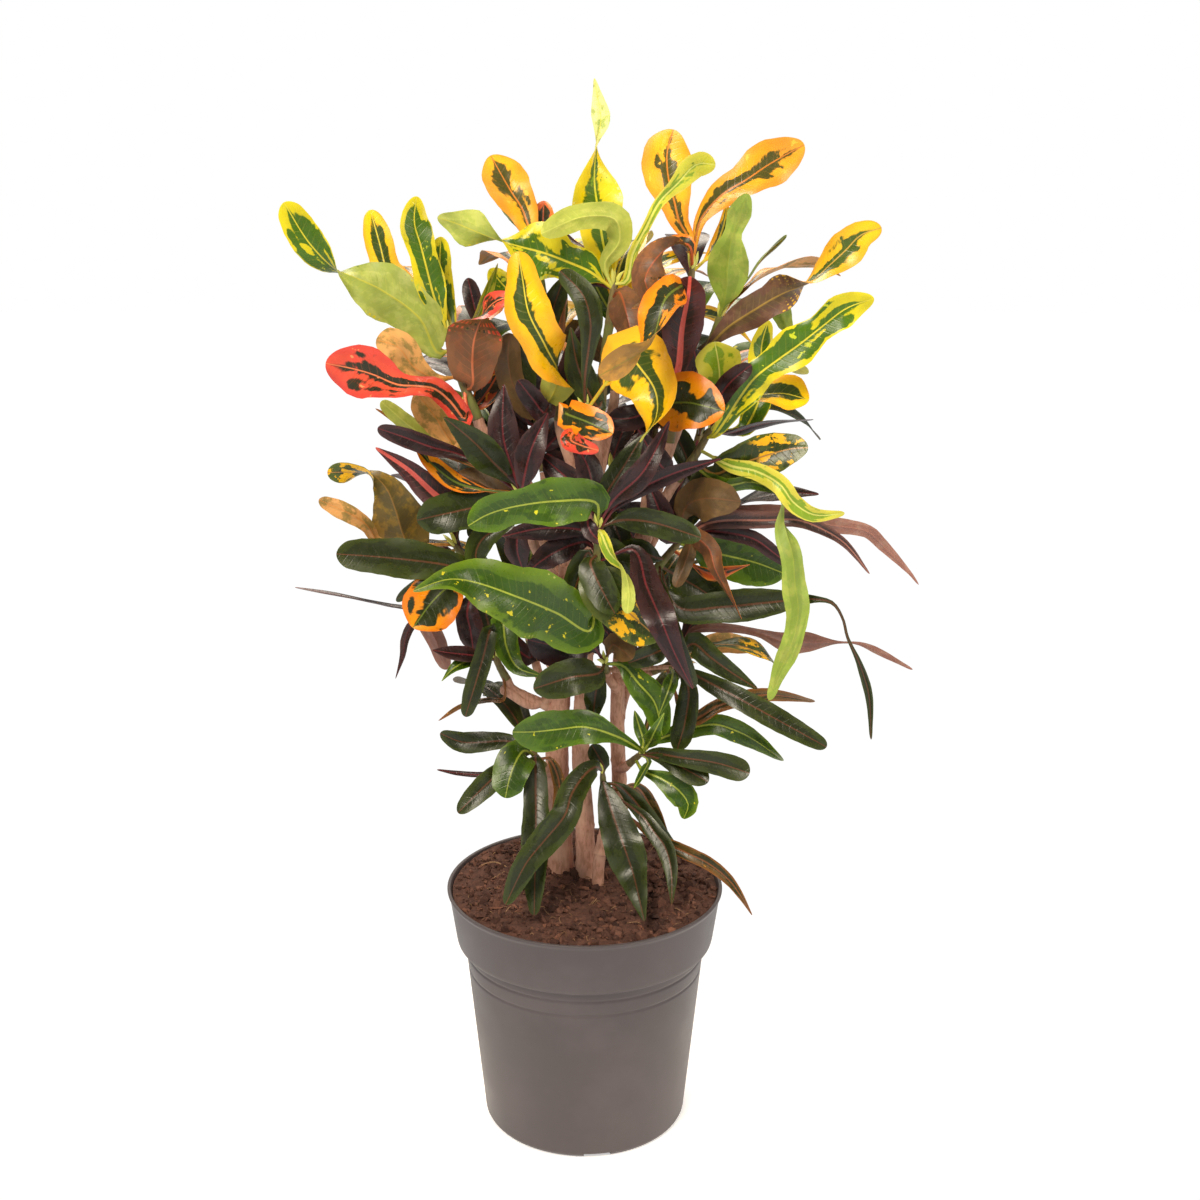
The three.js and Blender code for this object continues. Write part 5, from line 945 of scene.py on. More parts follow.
    ["back_left", "strap", 19, 0.08, "olive", [38, 30, 24], [16, 590, -2, 606, -20, 612], [180, 180]],
    ["back_right", "lance", 19, 0.08, "maroon", [38, 30, 24], [28, 596, 42, 614, 52, 640]],
    ["back_drop", "strap", 18, 0.08, "dark", [34, 28, 22], [18, 574, 2, 568, -16, 556]],
  ]],
  ["shoot_back_low_left", "trunk_left", [-38, 52, 350, -44, 64, 368, -50, 76, 388], 3.4, 2.2, 6, 125, 80, [
    ["back_rise", "lance", 18, 0.08, "dark", [46, 38, 32], [-38, 388, -34, 412, -40, 438]],
    ["back_side", "strap", 17, 0.08, "maroon", [46, 40, 36], [-40, 370, -58, 382, -80, 388]],
  ]],
  ["shoot_back_low_right", "trunk_right", [42, 56, 352, 48, 66, 370, 54, 76, 390], 3.4, 2.2, 6, 60, 80, [
    ["back_rise", "lance", 18, 0.08, "dark", [50, 42, 36], [48, 392, 52, 414, 62, 436]],
    ["back_side", "strap", 17, 0.08, "maroon", [46, 40, 34], [38, 372, 20, 386, 4, 404]],
  ]],
  ["shoot_back_low_middle", "trunk_middle", [0, 50, 366, 0, 62, 386, 1, 72, 410], 3.4, 2.2, 5, 90, 75, [
    ["back_rise", "lance", 18, 0.08, "maroon", [46, 38, 30], [0, 408, 6, 432, 14, 458]],
    ["back_left", "strap", 18, 0.08, "dark", [40, 32, 26], [-6, 388, -22, 402, -36, 424]],
  ]],
]

TRUNKS = [TrunkRow(*row) for row in TRUNK_ROWS]
SHOOTS = [ShootRow(*row, [leaf_row(*leaf) for leaf in leaves]) for *row, leaves in SHOOT_ROWS]


def random_source(seed: int) -> Draw:
    """Repeatable random numbers: a 32-bit counter whose bits are stirred by shifts and products.

    Args:
        seed: where the counter starts.

    Returns:
        A function that gives the next number from 0 to 1.
    """
    state = seed
    low = 0xFFFFFFFF

    def draw() -> float:
        """Moves the counter on and stirs it."""
        nonlocal state
        state = (state + 0x6D2B79F5) & low
        mixed = ((state ^ (state >> 15)) * (1 | state)) & low
        mixed = ((mixed + (((mixed ^ (mixed >> 7)) * (61 | mixed)) & low)) ^ mixed) & low
        return (mixed ^ (mixed >> 14)) / 4294967296

    return draw


def along(values: Sequence[float], share: Array) -> Array:
    """A list's value at shares of the way along it, eased by 3t^2 - 2t^3 between its entries.

    Args:
        values: the entries.
        share: where to read, from 0 to 1.

    Returns:
        The value at each share.
    """
    entries = np.asarray(values, float)
    place = np.clip(share, 0, 1) * (len(entries) - 1)
    low = np.minimum(np.floor(place).astype(int), len(entries) - 2)
    part = place - low
    return entries[low] + (entries[low + 1] - entries[low]) * part * part * (3 - 2 * part)


def weights(part: Array) -> tuple[Array, Array, Array, Array]:
    """What a cubic takes of a span's start, the slope there, its end and the slope there, part way on."""
    square, cube = part**2, part**3
    return 2 * cube - 3 * square + 1, cube - 2 * square + part, 3 * square - 2 * cube, cube - square


def flowing(values: Sequence[float], share: Array) -> Array:
    """A list's value at shares of the way along it, on a cubic that passes through its entries.

    Each span is the cubic with the entries as its ends and half the difference of the neighbours
    as its slopes, so it has no steps where two spans meet.

    Args:
        values: the entries.
        share: where to read, from 0 to 1.

    Returns:
        The value at each share.
    """
    entries = np.asarray(values, float)
    last = len(entries) - 1
    place = np.clip(share, 0, 1) * last
    low = np.minimum(np.floor(place).astype(int), last - 1)
    part = place - low
    before = entries[np.maximum(low - 1, 0)]
    after = entries[np.minimum(low + 2, last)]
    start, end = entries[low], entries[low + 1]
    slope, next_slope = (end - before) / 2, (after - start) / 2
    at_start, leaving, at_end, arriving = weights(part)
    return start * at_start + slope * leaving + end * at_end + next_slope * arriving


def unit(vectors: Array) -> Array:
    """Vectors over their lengths."""
    return vectors / np.maximum(np.linalg.norm(vectors, axis=-1, keepdims=True), 1e-12)


def seen(x: float, z: float, depth: float) -> Array:
    """The point at a depth behind the middle plane that the eye sees at (x, z) on that plane."""
    scale = (depth - EYE[1]) / -EYE[1]
    return np.array([x * scale, depth, EYE[2] + (z - EYE[2]) * scale])


class Path:
    """A smooth curve through points, read by the distance along its chords."""

    def __init__(self, points: Array | list[float]) -> None:
        """Keeps the points, the distance at each and the slope there.

        Args:
            points: the points in order, one a row or one after the other.
        """
        self.points = np.asarray(points, float).reshape(-1, 3)
        steps = np.linalg.norm(np.diff(self.points, axis=0), axis=1)
        self.marks = np.concatenate([[0.0], np.cumsum(steps)])
        self.length = float(self.marks[-1])
        place = np.arange(len(self.points))
        before, after = np.maximum(place - 1, 0), np.minimum(place + 1, len(place) - 1)
        rise = self.points[after] - self.points[before]
        self.slopes = rise / (self.marks[after] - self.marks[before])[:, None]

    def at(self, distance: Array) -> Array:
        """Points at distances along: the cubic with each span's ends and slopes.

        Args:
            distance: distances from the start.

        Returns:
            One point a row.
        """
        distance = np.atleast_1d(np.asarray(distance, float))
        i = np.searchsorted(self.marks[1:-1], distance, side="left")
        span = self.marks[i + 1] - self.marks[i]
        at_start, leaving, at_end, arriving = weights((distance - self.marks[i]) / span)
        return (
            self.points[i] * at_start[:, None]
            + self.slopes[i] * (leaving * span)[:, None]
            + self.points[i + 1] * at_end[:, None]
            + self.slopes[i + 1] * (arriving * span)[:, None]
        )

    def heading(self, distance: Array) -> Array:
        """Directions along the curve, each from half a millimetre before to half a millimetre after."""
        distance = np.atleast_1d(np.asarray(distance, float))
        low, high = np.maximum(distance - 0.5, 0), np.minimum(distance + 0.5, self.length)
        return unit(self.at(high) - self.at(low))


def facing_eye(centre: Array, heading: Array) -> Array:
    """Directions from points on a blade to the eye in front of the plant."""
    return unit(EYE - centre)


class Blade:
    """One blade: its midrib path, where it opens, its outline, and how it is turned."""

    def __init__(
        self,
        points: Array,
        form: Form,
        width: float,
        wave: float,
        rolls: Sequence[float],
        phase: float,
        facing: Facing,
        palette: Palette | None = None,
    ) -> None:
        """Works out the blade's measures.

        Args:
            points: the midrib's points from the stem's axis to the tip.
            form: the outline.
            width: the widest width.
            wave: how far the margin swings, as a share of the half width.
            rolls: turn about the midrib along the blade, in degrees.
            phase: where its ripples start.
            facing: gives the direction of the upper face before the turn.
            palette: its colours, which a blade by rule is given once it has its place.
        """
        self.path = Path(points)
        self.opening = 0.5 * self.path.marks[1]
        self.shape = form.value
        self.half = WIDENING * width / 2
        self.wave = RIPPLING * wave
        self.rolls = rolls
        self.phase = phase
        self.facing = facing
        self.palette = palette
        self.spread = self.path.length - self.opening
        self.round = min(0.3, (0.9 * self.half * self.shape[-1]) / self.spread + 0.02)
        self.ripples = (self.spread / 100) * RIPPLES * 2 * math.pi
        self.sampled = self._samples()
        self.raw_box = self.sampled.min(0), self.sampled.max(0)
        self.box = self.raw_box[0] - 2 * CLEARANCE, self.raw_box[1] + 2 * CLEARANCE

    def half_width(self, distance: Array) -> Array:
        """Half the width at distances along: outline times a round tip times a slow frill."""
        share = (distance - self.opening) / self.spread
        past = np.maximum(0, (share - 1 + self.round) / self.round)
        body = self.half * along(self.shape, share) * np.sqrt(np.maximum(0, 1 - past * past))
        frill = 1 + 0.4 * self.wave * np.sin(self.ripples * share + self.phase)
        open_width = np.maximum(np.maximum(PETIOLE * (1 - past), body * frill), 0.4)
        return np.where(distance <= self.opening, PETIOLE, open_width)

    def turned(self, distance: Array, reader: Reader) -> tuple[Array, ...]:
        """The blade's own directions at distances along.

        Args:
            distance: distances from the stem's axis.
            reader: how the turns are read between their entries.

        Returns:
            Centres, directions across, directions out of the upper face, and shares of the way along.
        """
        centre, heading = self.path.at(distance), self.path.heading(distance)
        out = self.facing(centre, heading)
        up = unit(out - heading * np.sum(out * heading, axis=1, keepdims=True))
        side = np.cross(heading, up)
        share = np.maximum(0, distance - self.opening) / self.spread
        sway = SWAY * share * np.sin(self.phase + 4.4 * share)
        roll = np.radians(reader(self.rolls, share) + sway)[:, None]
        across = side * np.cos(roll) - up * np.sin(roll)
        return centre, across, up * np.cos(roll) + side * np.sin(roll), share

    def ripple(self, share: Array, across: Array) -> Array:
        """How far the margin stands up or down, as a share of the half width: a sine that grows outwards."""
        fade = np.sin(math.pi * np.minimum(1, share * 1.6)) ** 2
        swing = np.sin(self.ripples * share + self.phase + np.where(across > 0, 1.9, 0))
        return self.wave * swing * across * across * np.maximum(fade, 0.35)

    def _samples(self) -> Array:
        """Points over the whole blade, in rows from near its root to its tip, for the clearance test."""
        steps = max(3, math.ceil(self.path.length / SAMPLE_STEP))
        stations = self.path.length * np.arange(2, steps + 1) / steps
        parts = np.maximum(1, np.ceil(self.half_width(stations) / SAMPLE_WIDTH)).astype(int)
        distance = np.repeat(stations, parts + 1)
        across = np.concatenate([2 * np.arange(n + 1) / n - 1 for n in parts])
        self.reach = np.repeat(np.arange(2, steps + 1) / steps, parts + 1)
        centre, side, up, share = self.turned(distance, along)
        half = self.half_width(distance)
        return centre + side * (half * across)[:, None] + up * (half * self.ripple(share, across))[:, None]


@dataclass(frozen=True)
class Limb:
    """One trunk or branch: its path and its radius at both ends."""

    owner: str
    path: Path
    start: float
    end: float


class Layout:
    """Where every stem and blade lies: the rows' blades first, then the ones drawn by rule."""

    def __init__(self) -> None:
        """Lays the stems, then the blades one by one, each clear of what was laid before."""
        self.stems = {shoot.name: Path(shoot.stem) for shoot in SHOOTS}
        self.blades: dict[str, list[Blade]] = {shoot.name: [] for shoot in SHOOTS}
        self.limbs = self._limbs()
        self._add_spots()
        self._lay_shown()
        self._lay_drawn()

    def _limbs(self) -> list[Limb]:
        """The trunks' axes and their branches, each branch's end squared to the shoot that sits on it."""
        found = []
        radii = {shoot.name: shoot.foot for shoot in SHOOTS}
        for trunk in TRUNKS:
            found.append(Limb(trunk.name, Path(trunk.axis), trunk.foot, trunk.top))
            for shoot, way in trunk.branches:
                stem = self.stems[shoot]
                heading, seat = stem.heading(0)[0], stem.at(0)[0]
                points = [*np.reshape(way, (-1, 3)), seat - 9 * heading, seat - SEAT_GAP * heading]
                radius = radii[shoot]
                thick = max(radius, radius * 0.6 + 1.9)
                found.append(Limb(trunk.name, Path(np.array(points)), thick, radius))
        return found

    def _add_spots(self) -> None:
        """Round spots along every trunk, branch and stem, which a blade keeps clear of."""
        stems = [Limb(shoot.name, self.stems[shoot.name], shoot.foot, shoot.top) for shoot in SHOOTS]
        owners, places, radii = [], [], []
        for limb in [*self.limbs, *stems]:
            steps = math.ceil(limb.path.length / SPOT_STEP)
            share = np.arange(steps + 1) / steps
            owners += [limb.owner] * (steps + 1)
            places.append(limb.path.at(limb.path.length * share))
            radii.append(limb.start + (limb.end - limb.start) * share)
        self.spot_owner = np.array(owners)
        self.spot_at = np.concatenate(places)
        self.spot_radius = np.concatenate(radii)

    def _meets(self, points: Array, others: Array, limit: float | Array) -> bool:
        """Whether any point lies nearer to any of the others than the limit."""
        if not len(points) or not len(others):
            return False
        gap = points[:, None, :] - others[None, :, :]
        return bool(np.any(np.sqrt(np.sum(gap * gap, axis=2)) < limit))

    def is_clear(self, blade: Blade, shoot: str, trunk: str) -> bool:
        """Whether a blade keeps clear of the soil, the other stems and the blades laid before it.

        Args:
            blade: the blade to test.
            shoot: the shoot that it grows on.
            trunk: the trunk that carries that shoot.

        Returns:
            True where there is room for it.
        """
        points = blade.sampled
        radius = np.hypot(points[:, 0], points[:, 1])
        ground = np.where(radius > SOIL_REACH, RIM_HEIGHT + RIM_ROOM, SOIL_EDGE + SOIL_MOUND + SOIL_ROOM)
        ground = np.where(radius > RIM_RADIUS + POT_ROOM, 0, ground)
        if np.any(points[:, 2] < ground):
            return False
        inside = np.all((self.spot_at >= blade.box[0]) & (self.spot_at <= blade.box[1]), axis=1)
        inside &= self.spot_owner != shoot
        extra = np.where(self.spot_owner[inside] == trunk, 0.6 * STEM_CLEARANCE, STEM_CLEARANCE)
        if self._meets(points, self.spot_at[inside], self.spot_radius[inside] + extra):
            return False
        low, high = blade.raw_box
        for owner, laid in self.blades.items():
            same = owner == shoot
            limit = CLEARANCE if same else 2 * CLEARANCE
            mine = points[blade.reach > LET_OFF] if same else points
            for other in laid:
                if np.any(other.box[0] > high) or np.any(other.box[1] < low):
                    continue
                near = other.sampled[other.reach > LET_OFF] if same else other.sampled
                near = near[np.all((near > low - limit) & (near < high + limit), axis=1)]
                if self._meets(mine, near, limit):
                    return False
        return True

    def _root_on(self, stem: Path, point: Array, phase: float) -> Array:
        """The place on a shoot's stem that a blade seen from a point grows from, no two at one height."""
        places = stem.length * np.arange(41) / 40
        best = places[np.argmin(np.linalg.norm(stem.at(places) - point, axis=1))]
        nearest = min(max(best, 0.3 * stem.length + 4), stem.length - 1)
        return stem.at(nearest - 8 * ((GOLDEN * phase) % 1))[0]

    def _lay_shown(self) -> None:
        """The rows' blades, each bent towards the eye or away from it where it would meet another."""
        phase = 0.0
        for shoot in SHOOTS:
            for leaf in shoot.leaves:
                phase += PHASE_STEP
                for bend in BENDS:
                    blade = self._shown(self.stems[shoot.name], leaf, bend, phase)
                    if self.is_clear(blade, shoot.name, shoot.trunk):
                        self.blades[shoot.name].append(blade)
                        break

    def _shown(self, stem: Path, leaf: LeafRow, bend: float, phase: float) -> Blade:
        """The blade of a row.

        Args:
            stem: the shoot's stem.
            leaf: the row.
            bend: how far its tip is pushed back, its root by three tenths of that.
            phase: where its ripples start.

        Returns:
            The blade.
        """
        flat = np.reshape(leaf.midrib, (-1, 2))
        share = np.arange(len(flat)) / (len(flat) - 1)
        depth = along(leaf.depths, share) + bend * np.minimum(1, 0.3 + 1.4 * share)
        points = [seen(x, z, far) for (x, z), far in zip(flat, depth)]
        points.insert(0, self._root_on(stem, points[0], phase))
        way = np.array(points)
        return Blade(way, leaf.form, leaf.width, leaf.wave, leaf.rolls, phase, facing_eye, leaf.palette)

    def _drawn(self, stem: Path, share: float, bearing: float, reach: float, draw: Draw) -> Blade:
        """A blade by rule: it leaves the stem at a bearing, rises, arches over and droops.

        It rises by 12 to 34 degrees, and by 48 more at the stem's top, and turns down by 50 to 105 degrees
        to its tip. Its length is 92 to 144 mm, less up the stem, and its width 17 to 30 mm. It drifts by
        up to 25 degrees to a side and rolls by up to 30.

        Args:
            stem: the shoot's stem.
            share: how far up the stem it grows.
            bearing: which way it points, in degrees.
            reach: its length against the usual.
            draw: the source of random numbers.

        Returns:
            The blade.
        """
        rise = 12 + 48 * share + 22 * draw()
        droop = 50 + 55 * draw()
        length = (92 + 52 * draw()) * (1.08 - 0.3 * share) * reach
        drift = 50 * (draw() - 0.5)
        turn = 60 * (draw() - 0.5)
        form = RULE_FORMS[math.floor(len(RULE_FORMS) * draw())]
        width = 17 + 13 * draw()
        phase = 6.28 * draw()
        points = [stem.at(share * stem.length)[0]]
        steps = 5
        for i in range(steps):
            part = (i + 0.5) / steps
            pitch = math.radians(rise - droop * part**1.3)
            yaw = math.radians(bearing + drift * part)
            level = math.cos(pitch)
            step = np.array([level * math.cos(yaw), level * math.sin(yaw), math.sin(pitch)])
            points.append(points[i] + step * (length / steps))
        yaw = math.radians(bearing)
        flat_side = np.array([math.sin(yaw), -math.cos(yaw), 0.0])

        def facing(centre: Array, heading: Array) -> Array:
            """Up, square to the heading and to the level line across it."""
            return np.cross(flat_side, heading)

        return Blade(np.array(points), form, width, 0.12, [0, 0.4 * turn, turn], phase, facing)

    def _lay_drawn(self) -> None:
        """The blades drawn by rule: of the tries for each, the first clear one is kept."""
        draw = random_source(41)
        tint = random_source(7)
        for shoot in SHOOTS:
            stem = self.stems[shoot.name]
            for i in range(shoot.more):
                share = 0.3 + (0.68 * (i + 0.5)) / shoot.more
                for attempt in range(TRIES):
                    turn = (i * GOLDEN + attempt * 0.377) % 1
                    bearing = shoot.bearing + shoot.spread * (2 * turn - 1)
                    blade = self._drawn(stem, share, bearing, 1 - 0.011 * attempt, draw)
                    if self.is_clear(blade, shoot.name, shoot.trunk):
                        blade.palette = palette_at(stem.points[0][2], tint(), "inner" in shoot.name)
                        self.blades[shoot.name].append(blade)
                        break


def palette_at(height: float, pick: float, inner: bool) -> Palette:
    """The colours of a blade drawn by rule: dark inside, bright at the top and green at the foot.

    Args:
        height: the height of its shoot's seat.
        pick: a random number from 0 to 1.
        inner: whether its shoot stands inside the crown.

    Returns:
        The palette.
    """
    if inner:
        choices = [Palette.MAROON, Palette.MAROON, Palette.DARK, Palette.OLIVE, Palette.RIMMED]
    elif height > TOP_FROM:
        choices = [Palette.YELLOW, Palette.ORANGE, Palette.GREEN, Palette.RIMMED, Palette.LIME]
    elif height > MIDDLE_FROM:
        choices = [Palette.GREEN, Palette.YELLOW, Palette.MAROON, Palette.BLOTCHED, Palette.DARK]
        choices += [Palette.RIMMED]
    else:
        choices = [Palette.DARK, Palette.MAROON, Palette.DARK, Palette.GREEN, Palette.SPOTTED]
    return choices[min(int(pick * len(choices)), len(choices) - 1)]


def lattice(cells: Array, seed: int) -> Array:
    """A repeatable random number from 0 to 1 for each cell of a lattice: products of its indices, stirred."""
    x, y, z = (cells[..., i].astype(np.int64) for i in range(3))
    mixed = (x * 374761393 + y * 668265263 + z * 2147483647 + seed * 974711) & 0xFFFFFFFF
    mixed = ((mixed ^ (mixed >> 13)) * 1274126177) & 0xFFFFFFFF
    return ((mixed ^ (mixed >> 16)) & 0xFFFF) / 65535.0


def rough(points: Array, size: float, seed: int) -> Array:
    """Smooth noise from -1 to 1: the lattice's numbers eased between the corners of each cell.

    Args:
        points: where to read it.
        size: the lattice's cell, in the points' unit.
        seed: which noise.

    Returns:
        One value for each point.
    """
    place = np.asarray(points, float) / size
    low = np.floor(place)
    part = place - low
    part = part * part * (3 - 2 * part)
    total = np.zeros(place.shape[:-1])
    for corner in np.ndindex(2, 2, 2):
        near = np.array(corner)
        weight = np.prod(np.where(near, part, 1 - part), axis=-1)
        total += weight * lattice(low + near, seed)
    return 2 * total - 1


class Fabric:
    """The points, faces, colours and attributes of one piece while it is put together, in millimetres."""

    def __init__(self) -> None:
        """Starts with nothing."""
        self.points: list[Array] = []
        self.faces: list[list[int]] = []
        self.slots: list[Array] = []
        self.under: list[Array] = []
        self.span: list[Array] = []
        self.place: list[Array] = []
        self.count = 0

    def add(
        self,
        points: Array,
        faces: list[Array],
        slot: int = 0,
        under: Array | None = None,
        span: Array | None = None,
        place: Array | None = None,
    ) -> None:
        """Adds a closed surface.

        Args:
            points: its points, one a row.
            faces: arrays of corner numbers, each with one face a row.
            slot: the number of its material.
            under: for each face, 1 where it is a leaf's under face.
            span: for each point, millimetres across and along, and the piece's own random number.
            place: for each point, -1 to 1 across, 0 to 1 along, and the half width.
        """
        number = sum(len(block) for block in faces)
        for block in faces:
            self.faces += (block + self.count).tolist()
        self.points.append(points)
        self.slots.append(np.full(number, slot))
        self.under.append(np.zeros(number) if under is None else under)
        self.span.append(np.zeros((len(points), 3)) if span is None else span)
        self.place.append(np.zeros((len(points), 3)) if place is None else place)
        self.count += len(points)

    def finish(self, name: str, materials: list[bpy.types.Material], crease: float = 40) -> bpy.types.Object:
        """Writes the mesh in metres, shades it smooth and links its object at the origin.

        Args:
            name: the object's name.
            materials: its materials, in the order of the slots.
            crease: the angle, in degrees, over which an edge is shaded sharp.

        Returns:
            The new object.
        """
        mesh = bpy.data.meshes.new(name)
        mesh.from_pydata((np.concatenate(self.points) * MM).tolist(), [], self.faces)
        for material in materials:
            mesh.materials.append(material)
        mesh.polygons.foreach_set("material_index", np.concatenate(self.slots).astype(np.int32))
        flag = mesh.attributes.new("under", "FLOAT", "FACE")
        flag.data.foreach_set("value", np.concatenate(self.under).astype(np.float32))
        for label, blocks in (("span", self.span), ("place", self.place)):
            held = mesh.attributes.new(label, "FLOAT_VECTOR", "POINT")
            held.data.foreach_set("vector", np.concatenate(blocks).astype(np.float32).ravel())
        mesh.update()
        mesh.shade_smooth()
        mesh.set_sharp_from_angle(angle=math.radians(crease))
        made = bpy.data.objects.new(name, mesh)
        bpy.context.scene.collection.objects.link(made)
        log.info("%s: %d points, %d faces", name, self.count, len(self.faces))
        return made


def skin(rings: int, sides: int) -> list[Array]:
    """The faces between rings of points, each a row of a grid, and the fans that close both ends.

    Args:
        rings: how many rings.
        sides: how many points in each.

    Returns:
        The four-cornered faces, then the three-cornered ones at both ends.
    """
    ring, corner = np.meshgrid(np.arange(rings - 1), np.arange(sides), indexing="ij")
    after = (corner + 1) % sides
    low, high = ring * sides, (ring + 1) * sides
    walls = np.stack([low + corner, low + after, high + after, high + corner], -1).reshape(-1, 4)
    fan = np.arange(1, sides - 1)
    foot = np.stack([np.zeros_like(fan), fan + 1, fan], -1)
    top = np.stack([np.zeros_like(fan), fan, fan + 1], -1) + (rings - 1) * sides
    return [walls, np.concatenate([foot, top])]


def tube(path: Path, radius: Array, stations: Array, sides: int) -> Array:
    """A round tube's points: circles of a radius at stations along a path, squared to its heading.

    Args:
        path: the centre line.
        radius: the radius at each station and side, or at each station.
        stations: distances along the path.
        sides: points in each circle.

    Returns:
        The points ring by ring, one a row.
    """
    centre, heading = path.at(stations), path.heading(stations)
    across = unit(np.cross([0.0, 1.0, 0.0], heading))
    other = np.cross(heading, across)
    turn = 2 * math.pi * np.arange(sides) / sides
    wide = np.broadcast_to(np.reshape(radius, (len(stations), -1)), (len(stations), sides))
    cosine, sine = np.cos(turn)[None, :, None], np.sin(turn)[None, :, None]
    ring = across[:, None, :] * cosine + other[:, None, :] * sine
    return (centre[:, None, :] + ring * wide[:, :, None]).reshape(-1, 3)


@dataclass(frozen=True)
class Leaf:
    """How a blade is cut from leaf tissue: its faces, its thickness, its keel and its ribs."""

    columns: int = 10
    step: float = 4.2
    tip_steps: int = 7
    skin: float = 0.2
    petiole: float = 1.25
    keel: float = 0.36
    rib: float = 0.75

    def stations(self, blade: Blade) -> Array:
        """Distances along a blade: even to where the tip rounds off, then by equal angles round it."""
        bend = blade.path.length - blade.round * blade.spread
        body = np.linspace(0, bend, max(6, math.ceil(bend / self.step)) + 1)
        angle = np.linspace(0, math.pi / 2, self.tip_steps + 1)[1:]
        return np.concatenate([body, bend + (blade.path.length - bend) * np.sin(angle)])

    def outline(self, blade: Blade, distance: Array, share: Array) -> Array:
        """Half the width: a smooth outline that swells out of the petiole, frilled, with a round tip."""
        past = np.clip((share - 1 + blade.round) / blade.round, 0, 1)
        swell = np.clip((distance - blade.opening) / max(4.0, min(14.0, 0.12 * blade.spread)), 0, 1)
        swell = np.sqrt(swell * (2 - swell))
        body = np.maximum(blade.half * flowing(blade.shape, share), 0.25) * np.sqrt(1 - past * past)
        frill = 1 + 0.4 * blade.wave * np.sin(blade.ripples * share + blade.phase)
        nicks = 1 + 0.016 * np.sin(3.7 * blade.ripples * share + 2 * blade.phase)
        wide = self.petiole + (body * frill * nicks - self.petiole) * swell
        return np.maximum(np.where(distance <= blade.opening, self.petiole, wide), 0.12)

    def cut(self, blade: Blade, fabric: Fabric, slot: int, seed: float) -> None:
        """Adds a blade as a closed skin: an upper and a lower face over a keeled, rippled middle.

        The middle is the blade's centre, plus across times the half width, plus a lift that is the ripple
        and a keel: 0.9 u - 0.45 u^2 - 0.15, u going from 0 at the midrib to 1 at the margin. The faces
        stand off it by the tissue's thickness, and the lower one by a rib that narrows towards the tip.

        Args:
            blade: the blade.
            fabric: what it is added to.
            slot: the number of its material.
            seed: its own random number.
        """
        distance = self.stations(blade)
        centre, side, up, share = blade.turned(distance, flowing)
        half = self.outline(blade, distance, share)
        across = np.linspace(-1, 1, self.columns + 1)
        across = np.sign(across) * np.abs(across) ** 0.9
        wide, out = np.meshgrid(half, across, indexing="ij")
        far = np.repeat(share[:, None], len(across), axis=1)
        inside = np.clip((distance - blade.opening) / 10, 0, 1)[:, None]
        arch = 0.9 * np.abs(out) - 0.45 * out * out - 0.15
        keel = self.keel * arch * np.sin(math.pi * np.clip(far, 0, 1)) ** 0.5
        lift = wide * (blade.ripple(far, out) + keel)
        lift = lift * inside
        mid = centre[:, None, :] + side[:, None, :] * (wide * out)[:, :, None]
        mid = mid + up[:, None, :] * lift[:, :, None]
        edge = np.sqrt(np.maximum(0, 1 - out * out))
        stalk = np.maximum(self.petiole * 0.9 * edge, 0.06)
        reach = np.exp(-((wide * out / 1.1) ** 2))
        rib = self.rib * reach * (1 - 0.75 * far) * np.clip(blade.half / 9, 0.3, 1)
        above = stalk * (1 - inside) + inside * (self.skin * (0.35 + 0.65 * edge) - 0.12 * reach)
        below = stalk * (1 - inside) + inside * (self.skin * (0.35 + 0.65 * edge) + rib)
        upper = mid + up[:, None, :] * above[:, :, None]
        lower = mid - up[:, None, :] * below[:, :, None]
        ring = np.concatenate([upper, lower[:, ::-1]], axis=1)
        sides = ring.shape[1]
        walls, ends = skin(len(distance), sides)
        column = np.arange(len(walls)) % sides
        under = np.concatenate([(column > self.columns).astype(float), np.zeros(len(ends))])
        both = np.concatenate([out, out[:, ::-1]], axis=1)
        half_round = np.concatenate([wide, wide], axis=1)
        run = np.repeat(distance[:, None] - blade.opening, sides, axis=1)
        flat = np.repeat(share[:, None], sides, axis=1)
        span = np.stack([both * half_round, run, np.full_like(run, seed)], -1).reshape(-1, 3)
        place = np.stack([both, flat, half_round], -1).reshape(-1, 3)
        fabric.add(ring.reshape(-1, 3), [walls, ends], slot, under, span, place)


def rounded(corners: list[tuple[float, float]], radius: float, cuts: int = 4) -> Array:
    """A profile with its corners rounded: each is a quadratic curve between points at a radius from it.

    Args:
        corners: the profile's corners, as radius and height.
        radius: how far from a corner its curve starts, at most 0.45 of the shorter side.
        cuts: how many spans each curve has.

    Returns:
        The rounded profile's points.
    """
    points = [np.array(corners[0], float)]
    for before, corner, after in zip(corners, corners[1:], corners[2:]):
        a, b, c = (np.array(p, float) for p in (before, corner, after))
        back, on = a - b, c - b
        reach = min(radius, 0.45 * np.linalg.norm(back), 0.45 * np.linalg.norm(on))
        start, end = b + reach * unit(back), b + reach * unit(on)
        for t in np.linspace(0, 1, cuts + 1):
            points.append(start * (1 - t) ** 2 + b * 2 * t * (1 - t) + end * t * t)
    points.append(np.array(corners[-1], float))
    return np.array(points)


